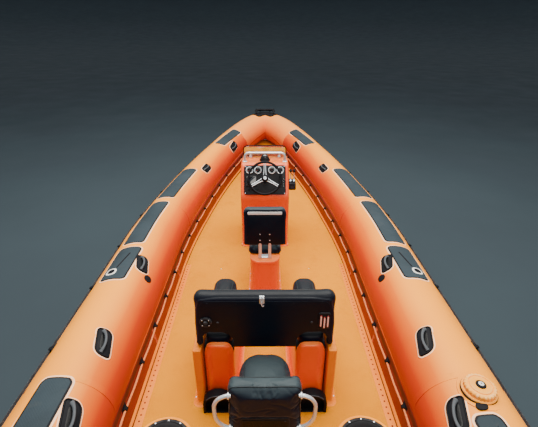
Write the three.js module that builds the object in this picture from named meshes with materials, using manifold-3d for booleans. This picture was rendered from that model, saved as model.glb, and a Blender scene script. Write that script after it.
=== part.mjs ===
// Inshore rescue boat: a rigid inflatable boat about 8.3 m long with a deep-V hull, an orange buoyancy
// collar, straddle seating for four and two outboard motors.
// Millimetres. +Y runs to the bow, +X to starboard, +Z up. The origin is amidships on the waterline.

import * as THREE from 'three';
import { mergeVertices } from 'three/addons/utils/BufferGeometryUtils.js';
import Module from 'manifold-3d';

const wasm = await Module();
wasm.setup();

// Driving dimensions
const FIT = 0.3;                 // clearance between pieces that rest on each other
const DECK = 120;                // deck height above the waterline
const TRANSOM_Y = -3550;         // aft face of the transom
const TRANSOM_TOP = 260;
const SIDES = [['port', -1], ['starboard', 1]];

// Buoyancy collar: straight from the stern to COLLAR_BEND_Y, then a superellipse round to the bow
const TUBE_RADIUS = 270;
const TUBE_BOW_RADIUS = 250;
const TUBE_HALF_SPAN = 1155;     // centreline to centreline of the boat
const TUBE_ABOVE_DECK = 250;
const COLLAR_BEND_Y = -90;
const COLLAR_BOW_Y = 3870;
const PLAN_POWER_X = 1.166;
const PLAN_POWER_Y = 1.21;
const SHEER_START_Y = -1000;
const SHEER_RISE = 324;
const TUBE_SEGMENTS = 24;
const FACET = Math.cos(Math.PI / TUBE_SEGMENTS);   // flat of the tube against its radius
const BOW_SEAM_ANGLE = 58;       // where the bow and side chambers join, degrees round the plan curve
const TUBE_SHOULDER_Y = -3720;   // the aft ends taper from here
const TUBE_TAIL = [              // aft of the shoulder, radius
  { aft: 0, radius: 270 },
  { aft: 180, radius: 245 },
  { aft: 340, radius: 180 },
  { aft: 430, radius: 95 },
];

// Seating, measured from the deck
const POD_X = 293;
const CREW_POD = { rear: -1672, front: -1040, top: 465, halfWidth: 97 };
const CREW_HEAD = { halfWidth: 84, thick: 34, top: 520 };   // end of the column, up inside the arch
const CREW_SILL = { width: 160, rear: -1672, front: -1090 };
const CREW_CUSHION = { rear: -1550, front: -1030, halfWidth: 88, thick: 135 };
const CUSHION_TONGUE = { rear: -1630, halfWidth: 72, thick: 95 };   // passes back under the arch
const CREW_BACKREST = { rear: -1650, thick: 90, halfWidth: 435, bottom: 475, top: 892, corner: 55 };
const ARCH = { half: 93, rise: 125, corner: 70 };
const AFT_BASE = { halfWidth: 190, rear: -2170, front: -1800, top: 300 };
const AFT_SEAT = { halfWidth: 140, front: -1680, top: 400 };
const AFT_CUSHION = { halfWidth: 155, front: -1665, thick: 92 };
const AFT_BACKREST = { rear: -2140, thick: 115, halfWidth: 183, top: 705, corner: 45 };
const HELM_POD = { rear: -600, front: 20, halfWidth: 130, top: 430 };
const HELM_CUSHION = { front: 30, halfWidth: 150, thick: 105 };
const HELM_BACKREST = { rear: -560, thick: 80, halfWidth: 190, bottom: 560, top: 930, corner: 60 };

// Console, measured from the deck
const CONSOLE = { halfWidth: 260, aft: 330, dashFoot: 640, dashHead: 960, dashRun: 190, fore: 900 };

// Outboard motors
const ENGINE_X = 380;
const TILT_Y = -3665;
const TILT_Z = 330;
const STEER_Y = -3735;
const PAN_Z = 410;               // underside of the engine pan
const PLATE_Z = -375;            // anti-ventilation plate
const PROP_Z = -550;
const PROP_Y = -4090;
const PROP_RADIUS = 162;

const COLOURS = {
  orange: [0xe8601f, 0.55, 0.0],
  hullOrange: [0xd9501a, 0.35, 0.0],
  black: [0x1c1d20, 0.6, 0.0],
  seat: [0x26292c, 0.7, 0.0],
  rope: [0xb23a3a, 0.9, 0.0],
  steel: [0xc9ccd0, 0.3, 1.0],
  engine: [0x3a3f46, 0.35, 0.3],
  white: [0xe6e6e2, 0.4, 0.0],
  clear: [0xbfd0d6, 0.1, 0.0],
};

const boat = new THREE.Group();

// Geometry to manifold solid and back
function solid(geometry) {
  const bare = geometry.index ? geometry.toNonIndexed() : geometry.clone();
  for (const name of Object.keys(bare.attributes)) {
    if (name !== 'position') bare.deleteAttribute(name);
  }
  const merged = mergeVertices(bare, 1e-3);
  return new wasm.Manifold(new wasm.Mesh({
    numProp: 3,
    vertProperties: new Float32Array(merged.attributes.position.array),
    triVerts: new Uint32Array(merged.index.array),
  }));
}

function geometryOf(body) {
  const mesh = body.getMesh();
  const geometry = new THREE.BufferGeometry();
  geometry.setAttribute('position', new THREE.BufferAttribute(new Float32Array(mesh.vertProperties), 3));
  geometry.setIndex(new THREE.BufferAttribute(new Uint32Array(mesh.triVerts), 1));
  geometry.computeVertexNormals();
  return geometry;
}

function join(...bodies) {
  return bodies.reduce((whole, body) => whole.add(body));
}

function add(name, shape, colour) {
  const [color, roughness, metalness] = COLOURS[colour];
  const material = new THREE.MeshStandardMaterial({ color, roughness, metalness });
  const mesh = new THREE.Mesh(geometryOf(shape), material);
  mesh.name = name;
  boat.add(mesh);
}

// A block between two corners
function block([x0, y0, z0], [x1, y1, z1]) {
  const box = new THREE.BoxGeometry(x1 - x0, y1 - y0, z1 - z0);
  return solid(box.translate((x0 + x1) / 2, (y0 + y1) / 2, (z0 + z1) / 2));
}

// A cylinder centred on a point, its axis along x, y or z
function rod(axis, length, radius, [x, y, z], segments = 20, endRadius = radius) {
  const cylinder = new THREE.CylinderGeometry(endRadius, radius, length, segments);
  if (axis === 'x') cylinder.rotateZ(-Math.PI / 2);
  if (axis === 'z') cylinder.rotateX(Math.PI / 2);
  return solid(cylinder.translate(x, y, z));
}

function raisedShape(shape, depth, curveSegments = 4) {
  return new THREE.ExtrudeGeometry(shape, { depth, bevelEnabled: false, curveSegments });
}

// A flat outline in x and y, rounded at its corners, raised from z0 to z1
function roundedPlan(x0, y0, x1, y1, radius, z0, z1, segments = 4) {
  const r = Math.min(radius, (x1 - x0) / 2, (y1 - y0) / 2);
  const outline = new THREE.Shape();
  outline.absarc(x1 - r, y1 - r, r, 0, Math.PI / 2);
  outline.absarc(x0 + r, y1 - r, r, Math.PI / 2, Math.PI);
  outline.absarc(x0 + r, y0 + r, r, Math.PI, 1.5 * Math.PI);
  outline.absarc(x1 - r, y0 + r, r, 1.5 * Math.PI, 2 * Math.PI);
  return solid(raisedShape(outline, z1 - z0, segments).translate(0, 0, z0));
}

// The same outline seen from astern, in x and z, running forward from y0 to y1
function fromAstern(shape, y0, y1, segments = 5) {
  return solid(raisedShape(shape, y1 - y0, segments).rotateX(Math.PI / 2).translate(0, y1, 0));
}

// An outline seen from starboard, as y and z points, running from x0 to x1
function fromSide(points, x0, x1) {
  const shape = new THREE.Shape(points.map(([y, z]) => new THREE.Vector2(y, z)));
  const toFrame = new THREE.Matrix4().set(0, 0, 1, x0, 1, 0, 0, 0, 0, 1, 0, 0, 0, 0, 0, 1);
  return solid(raisedShape(shape, x1 - x0).applyMatrix4(toFrame));
}

// A round bar bent along a list of points
function bar(points, radius, steps = 16, sides = 5) {
  const section = new THREE.Shape();
  section.absarc(0, 0, radius, 0, 2 * Math.PI);
  const stops = points.map((point) => new THREE.Vector3(...point));
  const path = new THREE.CatmullRomCurve3(stops, false, 'centripetal');
  return solid(new THREE.ExtrudeGeometry(section, { steps, extrudePath: path, curveSegments: sides }));
}

// A closed solid through rings of equal point counts, given in order along the object
function loft(sections) {
  const rings = facingAlong(sections);
  const count = rings[0].length;
  const positions = rings.flat().flatMap((point) => [point.x, point.y, point.z]);
  const triangles = [];
  for (let ring = 0; ring < rings.length - 1; ring++) {
    for (let i = 0; i < count; i++) {
      const next = (i + 1) % count;
      const a = ring * count + i;
      const b = ring * count + next;
      triangles.push(a, b, b + count, a, b + count, a + count);
    }
  }
  for (const [ring, flip] of [[0, true], [rings.length - 1, false]]) {
    const origin = rings[ring][0];
    const across = rings[ring][Math.floor(count / 3)].clone().sub(origin).normalize();
    const normal = ringNormal(rings[ring]);
    const up = normal.clone().cross(across).normalize();
    const side = up.clone().cross(normal).normalize();
    const flat = rings[ring].map((point) => {
      const offset = point.clone().sub(origin);
      return new THREE.Vector2(offset.dot(side), offset.dot(up));
    });
    for (const [a, b, c] of THREE.ShapeUtils.triangulateShape(flat, [])) {
      const base = ring * count;
      triangles.push(...(flip ? [base + a, base + c, base + b] : [base + a, base + b, base + c]));
    }
  }
  const geometry = new THREE.BufferGeometry();
  geometry.setAttribute('position', new THREE.BufferAttribute(new Float32Array(positions), 3));
  geometry.setIndex(triangles);
  return solid(geometry);
}

function ringNormal(ring) {
  const normal = new THREE.Vector3();
  ring.forEach((point, i) => {
    const next = ring[(i + 1) % ring.length];
    normal.add(point.clone().sub(ring[0]).cross(next.clone().sub(ring[0])));
  });
  return normal.normalize();
}

// Rings that turn the wrong way for outward faces are reversed
function facingAlong(rings) {
  const total = (ring) => ring.reduce((sum, point) => sum.add(point), new THREE.Vector3());
  const middle = (ring) => total(ring).divideScalar(ring.length);
  const along = middle(rings[rings.length - 1]).sub(middle(rings[0]));
  const first = middle(rings[1]).sub(middle(rings[0]));
  const turn = ringNormal(rings[0]).dot(first.lengthSq() > 0 ? first : along);
  return turn > 0 ? rings : rings.map((ring) => [...ring].reverse());
}

// Collar centreline. The plan angle runs from 0, where the curve starts, to 90 degrees at the bow.
function sheer(y) {
  return SHEER_RISE * Math.max(0, (y - SHEER_START_Y) / (COLLAR_BOW_Y - SHEER_START_Y)) ** 4;
}

function collarPoint(planAngle) {
  const angle = THREE.MathUtils.degToRad(planAngle);
  const x = TUBE_HALF_SPAN * Math.max(0, Math.cos(angle)) ** PLAN_POWER_X;
  const y = COLLAR_BEND_Y + (COLLAR_BOW_Y - COLLAR_BEND_Y) * Math.sin(angle) ** PLAN_POWER_Y;
  return new THREE.Vector3(x, y, DECK + TUBE_ABOVE_DECK + sheer(y));
}

function collarX(y) {
  const along = Math.min(1, Math.max(0, (y - COLLAR_BEND_Y) / (COLLAR_BOW_Y - COLLAR_BEND_Y)));
  return TUBE_HALF_SPAN * (1 - along ** (2 / PLAN_POWER_Y)) ** (PLAN_POWER_X / 2);
}

function tubeRadius(y) {
  const along = Math.max(0, (y - COLLAR_BEND_Y) / (COLLAR_BOW_Y - COLLAR_BEND_Y));
  return TUBE_RADIUS + (TUBE_BOW_RADIUS - TUBE_RADIUS) * along;
}

// Stations along the starboard half of the collar: where, which way it runs, which way is outboard
function collarStations(planAngles, straightYs = []) {
  const stations = straightYs.map((y) => ({
    centre: new THREE.Vector3(TUBE_HALF_SPAN, y, DECK + TUBE_ABOVE_DECK + sheer(y)),
    along: new THREE.Vector3(0, 1, 0),
    radius: TUBE_RADIUS,
  }));
  for (const angle of planAngles) {
    const centre = collarPoint(angle);
    const ahead = collarPoint(Math.min(90, angle + 0.5));
    const behind = collarPoint(Math.max(0, angle - 0.5));
    const along = angle >= 90 ? new THREE.Vector3(-1, 0, 0) : ahead.sub(behind).normalize();
    if (angle <= 0) along.set(0, 1, 0);
    stations.push({ centre, along, radius: tubeRadius(centre.y) });
  }
  for (const station of stations) {
    station.outboard = new THREE.Vector3(station.along.y, -station.along.x, 0).normalize();
    station.up = station.outboard.clone().cross(station.along).normalize();
  }
  return stations;
}

// A ring round the collar, or any section given as outboard and up offsets
function sectionRing(station, section) {
  return section.map(([out, up]) => station.centre.clone()
    .addScaledVector(station.outboard, out)
    .addScaledVector(station.up, up));
}

function circle(radius, segments = TUBE_SEGMENTS) {
  return Array.from({ length: segments }, (_, i) => {
    const angle = (2 * Math.PI * (i + 0.5)) / segments;
    return [radius * Math.cos(angle), -radius * Math.sin(angle)];
  });
}

function mirrored(body, side) {
  return side > 0 ? body : body.mirror([1, 0, 0]);
}

const SIDE_ANGLES = [0, 8, 16, 24, 32, 40, 49, BOW_SEAM_ANGLE];
const BOW_ANGLES = [BOW_SEAM_ANGLE, 66, 73, 79, 84, 87.5, 90];

// Side chamber from its tapered tail to the bow seam, grown outward by a clearance
function sideTube(grow = 0) {
  const tail = TUBE_TAIL.slice(1).reverse().map(({ aft, radius }) => {
    const [station] = collarStations([], [TUBE_SHOULDER_Y - aft]);
    return sectionRing(station, circle(radius + grow));
  });
  const stations = collarStations(SIDE_ANGLES, [TUBE_SHOULDER_Y, SHEER_START_Y]);
  const last = stations[stations.length - 1];
  last.centre.addScaledVector(last.along, -FIT / 2 + grow);
  return loft([...tail, ...stations.map((station) => sectionRing(station, circle(station.radius + grow)))]);
}

function bowTube(grow = 0) {
  const stations = collarStations(BOW_ANGLES);
  stations[0].centre.addScaledVector(stations[0].along, FIT / 2 - grow);
  const starboard = stations.map((station) => sectionRing(station, circle(station.radius + grow)));
  const port = starboard.slice(0, -1).reverse().map((ring) => ring.map((point) => {
    const other = point.clone();
    other.x = -other.x;
    return other;
  }));
  return loft([...starboard, ...port]);
}

const tubeCut = sideTube(FIT);
const bowCut = bowTube(FIT);

for (const [name, side] of SIDES) {
  add(`tube_${name}`, mirrored(sideTube(), side), 'orange');
}
add('tube_bow', bowTube(), 'orange');

// Hull: deep V with a hard chine, its deck and the transom board
const HULL_STATIONS = [          // station, keel height, chine half-beam, chine height
  { y: TRANSOM_Y, keel: -470, chine: 985, chineZ: -45 },
  { y: -2000, keel: -480, chine: 985, chineZ: -45 },
  { y: 0, keel: -480, chine: 975, chineZ: -35 },
  { y: 1100, keel: -470, chine: 900, chineZ: 5 },
  { y: 1900, keel: -435, chine: 770, chineZ: 60 },
  { y: 2600, keel: -345, chine: 590, chineZ: 130 },
  { y: 3150, keel: -200, chine: 400, chineZ: 215 },
  { y: 3550, keel: 10, chine: 225, chineZ: 300 },
  { y: 3830, keel: 290, chine: 60, chineZ: 390 },
];
const FLAT_DECK_END_Y = 1600;
const CHINE_FLAT = 38;
const SHEER_INBOARD = 30;
const GUNWALE_EDGE = { in: 25, up: 12 };

function deckHeight(y) {
  return DECK + (y > FLAT_DECK_END_Y ? sheer(y) : 0);
}

function hullShell() {
  const rings = HULL_STATIONS.map(({ y, keel, chine, chineZ }) => {
    const gunwaleX = Math.max(collarX(y) - SHEER_INBOARD, chine + CHINE_FLAT + 4);
    const gunwaleZ = deckHeight(y) - GUNWALE_EDGE.up;
    const half = [
      [chine, chineZ], [chine + CHINE_FLAT, chineZ + 6],
      [gunwaleX, gunwaleZ], [gunwaleX - GUNWALE_EDGE.in, gunwaleZ + GUNWALE_EDGE.up],
    ];
    const starboard = half.map(([x, z]) => new THREE.Vector3(x, y, z));
    const port = half.map(([x, z]) => new THREE.Vector3(-x, y, z)).reverse();
    return [new THREE.Vector3(0, y, keel), ...starboard, new THREE.Vector3(0, y, deckHeight(y)), ...port];
  });
  return loft(rings);
}

const TRANSOM_BOARD = { halfWidth: 760, thick: 60, corner: 70 };
const transomBoard = roundedPlan(
  -TRANSOM_BOARD.halfWidth, DECK - 300, TRANSOM_BOARD.halfWidth, TRANSOM_TOP,
  TRANSOM_BOARD.corner, 0, TRANSOM_BOARD.thick,
);
const hull = join(
  hullShell().subtract(tubeCut).subtract(mirrored(tubeCut, -1)).subtract(bowCut),
  transomBoard.rotate([90, 0, 0]).translate([0, TRANSOM_Y + TRANSOM_BOARD.thick, 0]),
);
add('hull', hull, 'hullOrange');

// Bands along the collar: section as outboard and up offsets from its centre
function band(section, planAngles, straightYs, endGap = FIT) {
  const stations = collarStations(planAngles, straightYs);
  const last = stations[stations.length - 1];
  last.centre.addScaledVector(last.along, -endGap);
  return loft(stations.map((station) => sectionRing(station, section(station))));
}

// Inner side trunking between deck and tube, in two lengths that butt beside the console
const TRUNKING = { foot: 300, top: 268, height: 215, joint: 520 };
function deckDrop({ centre }) {
  return centre.z - deckHeight(centre.y);
}

function trunkingSection(station, grow = 0) {
  const foot = -deckDrop(station);
  return [
    [-TRUNKING.foot - grow, foot - 20],
    [-TRUNKING.foot - grow, foot],
    [-TRUNKING.top - grow, foot + TRUNKING.height + grow],
    [-TRUNKING.top + 60, foot + TRUNKING.height + grow],
    [-60, foot - 20],
  ];
}

function trunkingBand(grow = 0) {
  return band((station) => trunkingSection(station, grow), SIDE_ANGLES, [TRANSOM_Y + 70, SHEER_START_Y]);
}
for (const [name, side] of SIDES) {
  const trunking = largest(trunkingBand()
    .subtract(tubeCut)
    .subtract(hull.translate([0, 0, FIT])));
  const aft = trunking.trimByPlane([0, -1, 0], -TRUNKING.joint);
  const fore = trunking.trimByPlane([0, 1, 0], TRUNKING.joint + FIT);
  add(`trunking_${name}`, mirrored(aft, side), 'orange');
  add(`trunking_fore_${name}`, mirrored(fore, side), 'orange');
}

function largest(body) {
  const pieces = body.decompose();
  return pieces.reduce((best, piece) => (piece.volume() > best.volume() ? piece : best));
}

// Rubbing strake round the outside of the collar
const STRAKE = { halfHeight: 42, thick: 26, edge: 12 };
function strakeSection({ radius }) {
  return [
    [radius * FACET + FIT, -STRAKE.halfHeight],
    [radius * FACET + FIT, STRAKE.halfHeight],
    [radius + STRAKE.thick, STRAKE.halfHeight - STRAKE.edge],
    [radius + STRAKE.thick, STRAKE.edge - STRAKE.halfHeight],
  ];
}
for (const [name, side] of SIDES) {
  const strakeAngles = [...SIDE_ANGLES, ...BOW_ANGLES.slice(1)];
  const strake = band(strakeSection, strakeAngles, [TUBE_SHOULDER_Y, SHEER_START_Y]);
  add(`rubbing_strake_${name}`, mirrored(strake, side), 'black');
}

// Where a rope's patches sit on a section, and the way they face as an angle from the top
function onTube(angle) {
  const turn = THREE.MathUtils.degToRad(angle);
  return ({ radius }) => ({ out: radius * Math.sin(turn), up: radius * Math.cos(turn), turn });
}

function onTrunking(height) {
  const lean = Math.atan2(TRUNKING.foot - TRUNKING.top, TRUNKING.height);
  return (station) => ({
    out: height * Math.tan(lean) - TRUNKING.foot,
    up: height - deckDrop(station),
    turn: lean - Math.PI / 2,
  });
}

// Ropes held by patches: lifeline outside on the tubes, grab line inside on the trunking
const ROPE = { radius: 7, standoff: 11, sides: 6 };
const PATCH = { half: 28, thick: 20 };
const LIFELINE = {
  seat: onTube(56), fromY: -3500, pitch: 640, count: 11, planAngles: [...SIDE_ANGLES, 66, 73],
};
const GRAB_LINE = { seat: onTrunking(145), fromY: -2550, pitch: 365, count: 15, planAngles: SIDE_ANGLES };

function heldRope({ seat, fromY, pitch, count, planAngles }) {
  const rope = band((station) => {
    const { out, up, turn } = seat(station);
    return circle(ROPE.radius, ROPE.sides).map(([across, rise]) => [
      out + across + ROPE.standoff * Math.sin(turn),
      up + rise + ROPE.standoff * Math.cos(turn),
    ]);
  }, planAngles, [fromY - 60, SHEER_START_Y]);
  const route = collarStations(planAngles, [fromY, SHEER_START_Y]);
  const patches = Array.from({ length: count }, (_, i) => ropePatch(stationAt(route, i * pitch), seat));
  return join(rope, ...patches);
}

// The station a given distance along a list of stations
function stationAt(route, distance) {
  let left = distance;
  let k = 0;
  while (left > route[k].centre.distanceTo(route[k + 1].centre)) {
    left -= route[k].centre.distanceTo(route[k + 1].centre);
    k += 1;
  }
  const [from, to] = [route[k], route[k + 1]];
  const share = left / from.centre.distanceTo(to.centre);
  const along = to.centre.clone().sub(from.centre).normalize();
  const outboard = new THREE.Vector3(along.y, -along.x, 0).normalize();
  return {
    centre: from.centre.clone().lerp(to.centre, share),
    along,
    outboard,
    up: outboard.clone().cross(along).normalize(),
    radius: Math.max(from.radius, to.radius),
  };
}

function ropePatch(station, seat) {
  const { out, up, turn } = seat(station);
  const outward = station.outboard.clone().multiplyScalar(Math.sin(turn))
    .addScaledVector(station.up, Math.cos(turn));
  const around = station.along.clone().cross(outward);
  const pad = new THREE.BoxGeometry(2 * PATCH.half, 2 * PATCH.half, PATCH.thick);
  const centre = station.centre.clone().addScaledVector(station.outboard, out)
    .addScaledVector(station.up, up).addScaledVector(outward, FIT + PATCH.thick / 2);
  const place = new THREE.Matrix4().makeBasis(around, station.along, outward).setPosition(centre);
  return solid(pad.applyMatrix4(place));
}

for (const [name, side] of SIDES) {
  add(`lifeline_${name}`, mirrored(heldRope(LIFELINE), side), 'black');
  const grabLine = heldRope(GRAB_LINE).subtract(trunkingBand(FIT));
  add(`grab_line_${name}`, mirrored(largest(grabLine), side), 'rope');
}

// Inflation valve covers on top of the tubes, the port one further aft
const VALVE = { y: { port: -2620, starboard: -2000 }, lean: 1, radius: 96, height: 34, knob: 30 };
for (const [name, side] of SIDES) {
  const middle = TUBE_RADIUS + VALVE.height / 2 - 10;
  const cover = join(
    rod('z', VALVE.height + 20, VALVE.radius, [0, 0, middle], 28, VALVE.radius - 10),
    rod('z', 22, VALVE.knob, [0, 0, TUBE_RADIUS + VALVE.height + 8], 16),
  ).rotate([0, VALVE.lean, 0]).translate([TUBE_HALF_SPAN, VALVE.y[name], DECK + TUBE_ABOVE_DECK]);
  add(`valve_${name}`, mirrored(cover.subtract(tubeCut), side), 'orange');
}

// Round bolted access plates in the deck
const ACCESS = { x: 620, y: -1960, radius: 168, thick: 14 };
for (const [name, side] of SIDES) {
  const plate = rod('z', ACCESS.thick, ACCESS.radius, [0, 0, ACCESS.thick / 2], 32, ACCESS.radius - 6);
  add(`access_plate_${name}`, plate.translate([side * ACCESS.x, ACCESS.y, DECK + FIT]), 'black');
}

// Bow fairlead over the top of the bow tube: a saddle, two cheeks and a pin with horns across them
const FAIRLEAD = { halfWidth: 130, halfLength: 120, corner: 50, sunk: 60, plate: 16, height: 46 };
const CHEEK = { x: 95, half: 12, halfLength: 70, foot: 8 };
const FAIRLEAD_PIN = { radius: 15, forward: 20, half: 200 };
{
  const top = DECK + TUBE_ABOVE_DECK + SHEER_RISE + TUBE_BOW_RADIUS;
  const saddle = roundedPlan(
    -FAIRLEAD.halfWidth, COLLAR_BOW_Y - FAIRLEAD.halfLength,
    FAIRLEAD.halfWidth, COLLAR_BOW_Y + FAIRLEAD.halfLength,
    FAIRLEAD.corner, top - FAIRLEAD.sunk, top + FAIRLEAD.plate,
  ).subtract(bowCut);
  const cheeks = [-1, 1].map((side) => block(
    [side * CHEEK.x - CHEEK.half, COLLAR_BOW_Y - CHEEK.halfLength, top + CHEEK.foot],
    [side * CHEEK.x + CHEEK.half, COLLAR_BOW_Y + CHEEK.halfLength, top + FAIRLEAD.height + FAIRLEAD.plate],
  ));
  const pinMiddle = [0, COLLAR_BOW_Y + FAIRLEAD_PIN.forward, top + FAIRLEAD.height];
  const pin = rod('x', 2 * FAIRLEAD_PIN.half, FAIRLEAD_PIN.radius, pinMiddle);
  add('bow_fairlead', join(largest(saddle), ...cheeks, pin), 'black');
}

// Anchor locker on the foredeck, hollow, with a hinged lid
const LOCKER = {
  aft: 2280, fore: 2960, aftHalf: 300, foreHalf: 170, base: 165, top: 440, wall: 12, lid: 26,
};
function lockerPlan(inset, z0, z1, grow = 0) {
  const outline = new THREE.Shape([
    new THREE.Vector2(-LOCKER.aftHalf + inset, LOCKER.aft + inset - grow),
    new THREE.Vector2(LOCKER.aftHalf - inset, LOCKER.aft + inset - grow),
    new THREE.Vector2(LOCKER.foreHalf - inset, LOCKER.fore - inset),
    new THREE.Vector2(-LOCKER.foreHalf + inset, LOCKER.fore - inset),
  ]);
  return solid(raisedShape(outline, z1 - z0).translate(0, 0, z0));
}
const lockerShell = lockerPlan(0, LOCKER.base - 60, LOCKER.top)
  .subtract(hull.translate([0, 0, FIT]))
  .subtract(lockerPlan(LOCKER.wall, LOCKER.base + 60, LOCKER.top + 10));
add('anchor_locker', largest(lockerShell), 'hullOrange');
const LID_HINGE = { y: LOCKER.fore + 22, z: LOCKER.top + 14, radius: 7, halfLength: 25, leaf: 5 };
const LID_LIP = { out: 6, aft: 20 };
{
  const panel = lockerPlan(-LID_LIP.out, LOCKER.top + FIT, LOCKER.top + LOCKER.lid, LID_LIP.aft);
  const knuckles = [-90, 90].map((x) => join(
    rod('x', 2 * LID_HINGE.halfLength, LID_HINGE.radius, [x, LID_HINGE.y, LID_HINGE.z]),
    block(
      [x - LID_HINGE.halfLength, LOCKER.fore - 20, LID_HINGE.z - LID_HINGE.leaf],
      [x + LID_HINGE.halfLength, LID_HINGE.y, LID_HINGE.z + LID_HINGE.leaf],
    ),
  ));
  add('locker_lid', join(panel, ...knuckles), 'hullOrange');
}

// Straddle pods for the two crew: a column rounded at the back and an outboard sill that carries the backrest
for (const [name, side] of SIDES) {
  const x = side * POD_X;
  const column = roundedPlan(
    x - CREW_POD.halfWidth, CREW_POD.rear, x + CREW_POD.halfWidth, CREW_POD.front,
    CREW_POD.halfWidth, DECK + FIT, DECK + CREW_POD.top, 6,
  );
  const sill = block(
    [Math.min(x, x + side * CREW_SILL.width), CREW_SILL.rear, DECK + FIT],
    [Math.max(x, x + side * CREW_SILL.width), CREW_SILL.front, DECK + CREW_BACKREST.bottom - FIT],
  );
  const head = roundedPlan(
    x - CREW_HEAD.halfWidth, CREW_POD.rear, x + CREW_HEAD.halfWidth, CREW_POD.rear + CREW_HEAD.thick,
    CREW_HEAD.thick / 2, DECK + CREW_POD.top - CREW_HEAD.thick, DECK + CREW_HEAD.top,
  );
  add(`seat_pod_${name}`, join(column, head, sill.subtract(crewSeat(x, 2))), 'orange');
  add(`seat_cushion_${name}`, crewSeat(x, 0), 'seat');
}

// Saddle cushion with a narrower tongue at the back, or the room it needs in its pod
function crewSeat(x, room) {
  const { rear, front, thick } = CREW_CUSHION;
  const half = CREW_CUSHION.halfWidth + room;
  const tongue = CUSHION_TONGUE.halfWidth + room;
  const foot = DECK + CREW_POD.top + FIT;
  return join(
    roundedPlan(x - half, rear, x + half, front, half, foot, foot + thick),
    roundedPlan(
      x - tongue, CUSHION_TONGUE.rear - room, x + tongue, rear + 200,
      tongue, foot, foot + CUSHION_TONGUE.thick,
    ),
  );
}

// Backrest outline seen from astern: round top corners, square foot
function backrestOutline({ halfWidth, top, corner }, bottom) {
  const outline = new THREE.Shape();
  outline.absarc(halfWidth - corner, DECK + top - corner, corner, 0, Math.PI / 2);
  outline.absarc(corner - halfWidth, DECK + top - corner, corner, Math.PI / 2, Math.PI);
  outline.lineTo(-halfWidth, DECK + bottom);
  return outline;
}

// Wide crew backrest, arched over the two seats
{
  const outline = backrestOutline(CREW_BACKREST, CREW_BACKREST.bottom);
  for (const side of [-1, 1]) {
    const crown = DECK + CREW_BACKREST.bottom + ARCH.rise - ARCH.corner;
    const shoulder = ARCH.half - ARCH.corner;
    outline.lineTo(side * POD_X - ARCH.half, DECK + CREW_BACKREST.bottom);
    outline.absarc(side * POD_X - shoulder, crown, ARCH.corner, Math.PI, Math.PI / 2, true);
    outline.absarc(side * POD_X + shoulder, crown, ARCH.corner, Math.PI / 2, 0, true);
    outline.lineTo(side * POD_X + ARCH.half, DECK + CREW_BACKREST.bottom);
  }
  outline.lineTo(CREW_BACKREST.halfWidth, DECK + CREW_BACKREST.bottom);
  const { rear, thick } = CREW_BACKREST;
  add('crew_backrest', fromAstern(outline, rear, rear + thick), 'seat');
}

// Foot cups on the deck behind the crew pods, round over the toes and open astern
const FOOT_CUP = { x: 305, half: 100, height: 168, rear: -1746, deep: 56, wall: 20, sole: 8 };
for (const [name, side] of SIDES) {
  const { half, height, rear, deep, wall, sole } = FOOT_CUP;
  const x = side * FOOT_CUP.x;
  const outer = toeOutline(x, half, DECK + FIT, DECK + height);
  const inner = toeOutline(x, half - wall, DECK + sole, DECK + height - wall);
  add(`foot_cup_${name}`, fromAstern(outer, rear, rear + deep)
    .subtract(fromAstern(inner, rear - wall, rear + deep - sole)), 'black');
}

function toeOutline(x, half, bottom, top) {
  const outline = new THREE.Shape();
  outline.moveTo(x - half, bottom);
  outline.lineTo(x + half, bottom);
  outline.absarc(x, top - half, half, 0, Math.PI);
  return outline;
}

// Aft seat: pod with a base, saddle cushion, backrest and two steel hand rails
{
  const face = AFT_BACKREST.rear + AFT_BACKREST.thick + FIT;
  const base = roundedPlan(
    -AFT_BASE.halfWidth, AFT_BASE.rear, AFT_BASE.halfWidth, AFT_BASE.front,
    60, DECK + FIT, DECK + AFT_BASE.top,
  );
  const column = roundedPlan(
    -AFT_SEAT.halfWidth, face, AFT_SEAT.halfWidth, AFT_SEAT.front, 110, DECK + FIT, DECK + AFT_SEAT.top, 6,
  );
  add('seat_pod_aft', join(base, column), 'orange');
  add('seat_cushion_aft', roundedPlan(
    -AFT_CUSHION.halfWidth, face, AFT_CUSHION.halfWidth, AFT_CUSHION.front,
    120, DECK + AFT_SEAT.top + FIT, DECK + AFT_SEAT.top + AFT_CUSHION.thick,
  ), 'seat');
  const outline = backrestOutline(AFT_BACKREST, AFT_BASE.top + FIT);
  outline.lineTo(AFT_BACKREST.halfWidth, DECK + AFT_BASE.top + FIT);
  const { rear, thick } = AFT_BACKREST;
  add('aft_backrest', fromAstern(outline, rear, rear + thick), 'seat');
}

// Hand rails beside the aft backrest: reach out from it, height, along the boat
const AFT_HANDLE = { radius: 12, head: 645, foot: 405, reach: 70, y: -2122 };
for (const [name, side] of SIDES) {
  const { head, foot, reach, y } = AFT_HANDLE;
  const root = AFT_BACKREST.halfWidth;
  const rail = bar([
    [root, y, head], [root + 0.65 * reach, y - 4, head - 18], [root + reach, y - 8, head - 75],
    [root + reach, y - 10, foot + 95], [root + 0.65 * reach, y - 8, foot + 32], [root, y - 4, foot],
  ].map(([x, along, up]) => [x, along, DECK + up]), AFT_HANDLE.radius, 16, 4);
  const board = block([-root - FIT, y - 200, DECK], [root + FIT, y + 200, DECK + 900]);
  add(`aft_handle_${name}`, mirrored(largest(rail.subtract(board)), side), 'steel');
}

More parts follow.
